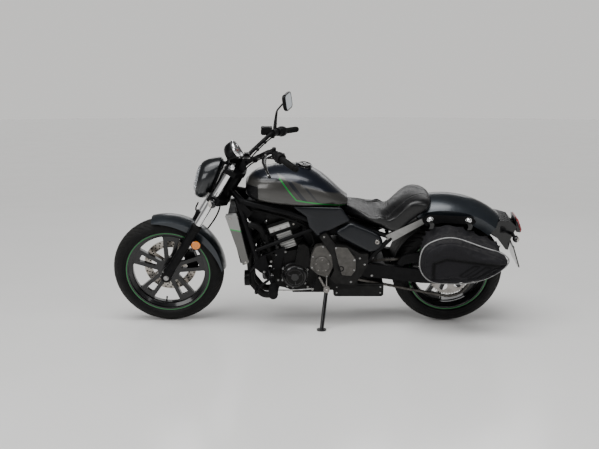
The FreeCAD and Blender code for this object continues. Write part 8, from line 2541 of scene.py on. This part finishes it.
@dataclass
class Studio:
    """A plain pale floor, soft lights and the camera at the photograph's angle."""

    eye: Point = (-0.08995, -4.84038, 1.38507)
    pitch_deg: float = 9.5
    view_deg: float = 37.2
    shift_y: float = 0.00124
    floor_radius: float = 26.0
    floor_colour: Colour = (0.78, 0.775, 0.76)
    wall: Colour = (0.8, 0.79, 0.77)
    room: Colour = (0.2, 0.2, 0.2)
    ceiling: Colour = (0.1, 0.1, 0.102)
    lamps: tuple[tuple[str, Point, Point, float, Flat], ...] = (
        ("overhead", (-0.2, -1.0, 3.6), (0, 0, 0.4), 55, (3.6, 1.0)),
                                                                ("front_left", (-3.0, -3.4, 1.9), (0.3, 0, 0.6), 52,
                                                                 (1.8, 1.6)),
        ("rear_left", (2.6, -3.3, 2.3), (0.5, 0, 0.6), 44, (3.4, 1.2)),
                                                                ("behind", (0.4, 3.8, 2.6), (0, 0, 0.6), 26,
                                                                 (4.0, 1.0)))
    key_power: float = 2.9
    key_width_deg: float = 55.0
    key_way: Point = (0.25, 0.45, -1.0)
    sensor_mm: float = 36.0

    def floor(self, space: BikeSpace) -> None:
        """Lay the floor: a wide flat disc of rings, with faint mottling and a soft gloss."""
        turn = np.linspace(0, 2 * np.pi, 96, endpoint=False)
        radius = np.array([0.4, 2, 6, 14, self.floor_radius])[:, None]
        grid = np.stack([radius * np.cos(turn), radius * np.sin(turn), 0 * radius * turn], -1)
        skin = woven(grid, caps=True)
        mesh = bpy.data.meshes.new("floor")
        mesh.from_pydata(skin.points.tolist(), [], skin.faces[:-1])
        piece = bpy.data.objects.new("floor", mesh)
        bpy.context.scene.collection.objects.link(piece)
        bench = NodeBench("pale_floor", space)
        pale = tuple(c * 1.03 for c in self.floor_colour)
        colour = bench.mixed(bench.spread(bench.noise(1.6, 5), 0, 1, 0.3, 0.7), self.floor_colour, pale)
        rough = bench.spread(bench.noise(3.5, 4), 0.18, 0.2, 0.3, 0.7)
        mesh.materials.append(bench.dress(Base_Color=colour, Roughness=rough, Specular_IOR_Level=0.5))

    def light(self, name: str, place: Point, target: Point, power: float, size: Flat) -> None:
        """Hang one soft box that looks at a target."""
        data = bpy.data.lights.new(name, "AREA")
        data.shape = "RECTANGLE"
        data.energy, data.size, data.size_y = power, *size
        lamp = bpy.data.objects.new(name, data)
        lamp.location = place
        lamp.rotation_euler = (Vector(target) - Vector(place)).to_track_quat("-Z", "Y").to_euler()
        bpy.context.scene.collection.objects.link(lamp)

    def surround(self) -> None:
        """The room: a pale wall beyond the bike, dimmer on the camera's side, and a dim ceiling, without edges."""
        world = bpy.data.worlds.new("studio")
        world.use_nodes = True
        tree = world.node_tree

        def add(kind: str, inputs: dict, **settings: object) -> bpy.types.Node:
            """Add a node with its settings and inputs."""
            node = tree.nodes.new(kind)
            for key, value in settings.items():
                setattr(node, key, value)
            for key, value in inputs.items():
                if isinstance(value, bpy.types.NodeSocket):
                    tree.links.new(value, node.inputs[key])
                else:
                    node.inputs[key].default_value = value
            return node

        way = add("ShaderNodeSeparateXYZ", {0: add("ShaderNodeTexCoord", {}).outputs["Generated"]}).outputs

        def step(value: Socket, low: float, high: float) -> Socket:
            """A smooth step of a value from low to high."""
            return add("ShaderNodeMapRange", {"Value": value, "From Min": low, "From Max": high},
                       interpolation_type="SMOOTHSTEP").outputs[0]

        beyond, above = step(way[1], -0.35, 0.75), step(way[2], 0.1, 0.34)
        low = add("ShaderNodeMix", {0: beyond, 6: (*self.room, 1), 7: (*self.wall, 1)}, data_type="RGBA").outputs[2]
        whole = add("ShaderNodeMix", {0: above, 6: low, 7: (*self.ceiling, 1)}, data_type="RGBA").outputs[2]
        tree.links.new(whole, tree.nodes["Background"].inputs[0])
        bpy.context.scene.world = world

    def build(self, space: BikeSpace) -> None:
        """Set up the floor, the room, the lights and the camera."""
        self.floor(space)
        self.surround()
        data = bpy.data.lights.new("soft_key", "SUN")
        data.energy, data.angle = self.key_power, math.radians(self.key_width_deg)
        key = bpy.data.objects.new("soft_key", data)
        key.rotation_euler = Vector(self.key_way).to_track_quat("-Z", "Y").to_euler()
        bpy.context.scene.collection.objects.link(key)
        for lamp in self.lamps:
            self.light(*lamp)
        data = bpy.data.cameras.new("camera")
        data.sensor_width = self.sensor_mm
        data.lens = self.sensor_mm / 2 / math.tan(math.radians(self.view_deg / 2))
        data.shift_y = self.shift_y
        camera = bpy.data.objects.new("camera", data)
        camera.location = self.eye
        camera.rotation_euler = (math.radians(90 - self.pitch_deg), 0, 0)
        bpy.context.scene.collection.objects.link(camera)
        bpy.context.scene.camera = camera
        log.info("studio ready")


def dress_nodes(shop: Workshop) -> None:
    """Give each CAD node that stays its finish."""
    f = shop.finishes
    shop.dress(f.front_wheel, "front_rim")
    shop.dress(f.rear_wheel, "rear_rim")
    shop.dress(f.front_tyre, "front_tyre")
    shop.dress(f.rear_tyre, "rear_tyre")
    shop.dress(f.front_disc, "front_disc")
    shop.dress(f.rear_disc, "rear_disc")
    shop.dress(f.steel, "rear_sprocket", "rear_shock", "stand_bracket")
    shop.dress(f.chain, "drive_chain")
    shop.dress(f.chrome, "fork_tubes")
    shop.dress(f.gloss, "filler_cap", "side_stand_leg", "tail_section")
    shop.dress(f.cover, "side_panels")
    shop.dress(f.satin, "fork_sliders", "fork_clamps", "handlebar", "upper_frame", "lower_frame", "rear_frame",
               "swingarm",
               "front_caliper", "rear_caliper", "foot_controls")
    shop.dress(f.dark_grey, "exhaust")
    shop.dress(f.rubber, "grips", "cables")
    shop.dress(f.smooth_plastic, "hand_controls", "mirror", "speedometer", "horn", "tank_trim")
    shop.dress(f.nacelle, "headlight")
    shop.dress(f.clear_lens, "headlight_lens")
    shop.dress(f.graphite, "front_fender", "rear_fender")
    shop.dress(f.tank, "fuel_tank")
    shop.dress(f.shroud, "radiator_shrouds")
    shop.dress(f.amber, "front_signals")
    shop.dress(f.case, "crankcase", "engine_covers")
    shop.dress(f.cylinder, "cylinders")
    shop.dress(f.warm_cast, "gearbox_cover")
    shop.dress(f.dark_cast, "sprocket_cover")
    shop.dress(f.brushed, "fender_struts")
    shop.dress(f.vinyl, "seat")
    shop.dress(f.plastic, "radiator", "inner_boxes", "inner_guard")
    shop.dress(f.blank, "number_plate")
    shop.dress(f.red, "rear_lamps")
    shop.dress(f.cloth, "saddlebag_left", "saddlebag_right")


def main() -> None:
    """Load the frame, dress it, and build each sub-assembly in order."""
    logging.basicConfig(level=logging.INFO, format="%(message)s")
    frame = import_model()
    axle = next(joint for joint in frame["joints"] if joint["name"] == "front_wheel_spin")["pos_m"]
    space = BikeSpace.from_joint(tuple(axle))
    shop = Workshop(frame, space, Finishes())
    dress_nodes(shop)
    f = shop.finishes
    Cords(shop).build()
    Tyre(shop, "front_tyre", Body.FRONT_WHEEL, f.front_tyre, FRONT_AXLE, 312.5, 60.0, 50.5, 239.0, 49.2).build()
    Tyre(shop, "rear_tyre", Body.REAR_WHEEL, f.rear_tyre, REAR_AXLE, 312.0, 80.0, 62.0, 227.0, 64.2,
         pitches=24).build()
    padding = Padding(shop)
    Seat(shop, padding).build()
    for side in (-1, 1):
        Saddlebag(shop, padding, side).build()
    DriveLine(shop).build()
    Shock(shop).build()
    Headlight(shop).build()
    WheelTrim(shop, "front", Body.FRONT_WHEEL, FRONT_AXLE, 206.5, 61.0).build()
    WheelTrim(shop, "rear", Body.REAR_WHEEL, REAR_AXLE, 193.5, 89.0, hub_half_width=84.0).build()
    ForkTrim(shop).build()
    SideLamps(shop).build()
    SideCovers(shop).build()
    Cockpit(shop).build()
    TankTrim(shop).build()
    EngineTrim(shop).build()
    RearLights(shop).build()
    BagRail(shop).build()
    FrameTrim(shop).build()
    InnerWorks(shop).build()
    FootTrim(shop).build()
    StandTrim(shop).build()
    ExhaustTrim(shop).build()
    AxleTrim(shop).build()
    Studio().build(space)


if __name__ == "__main__":
    main()
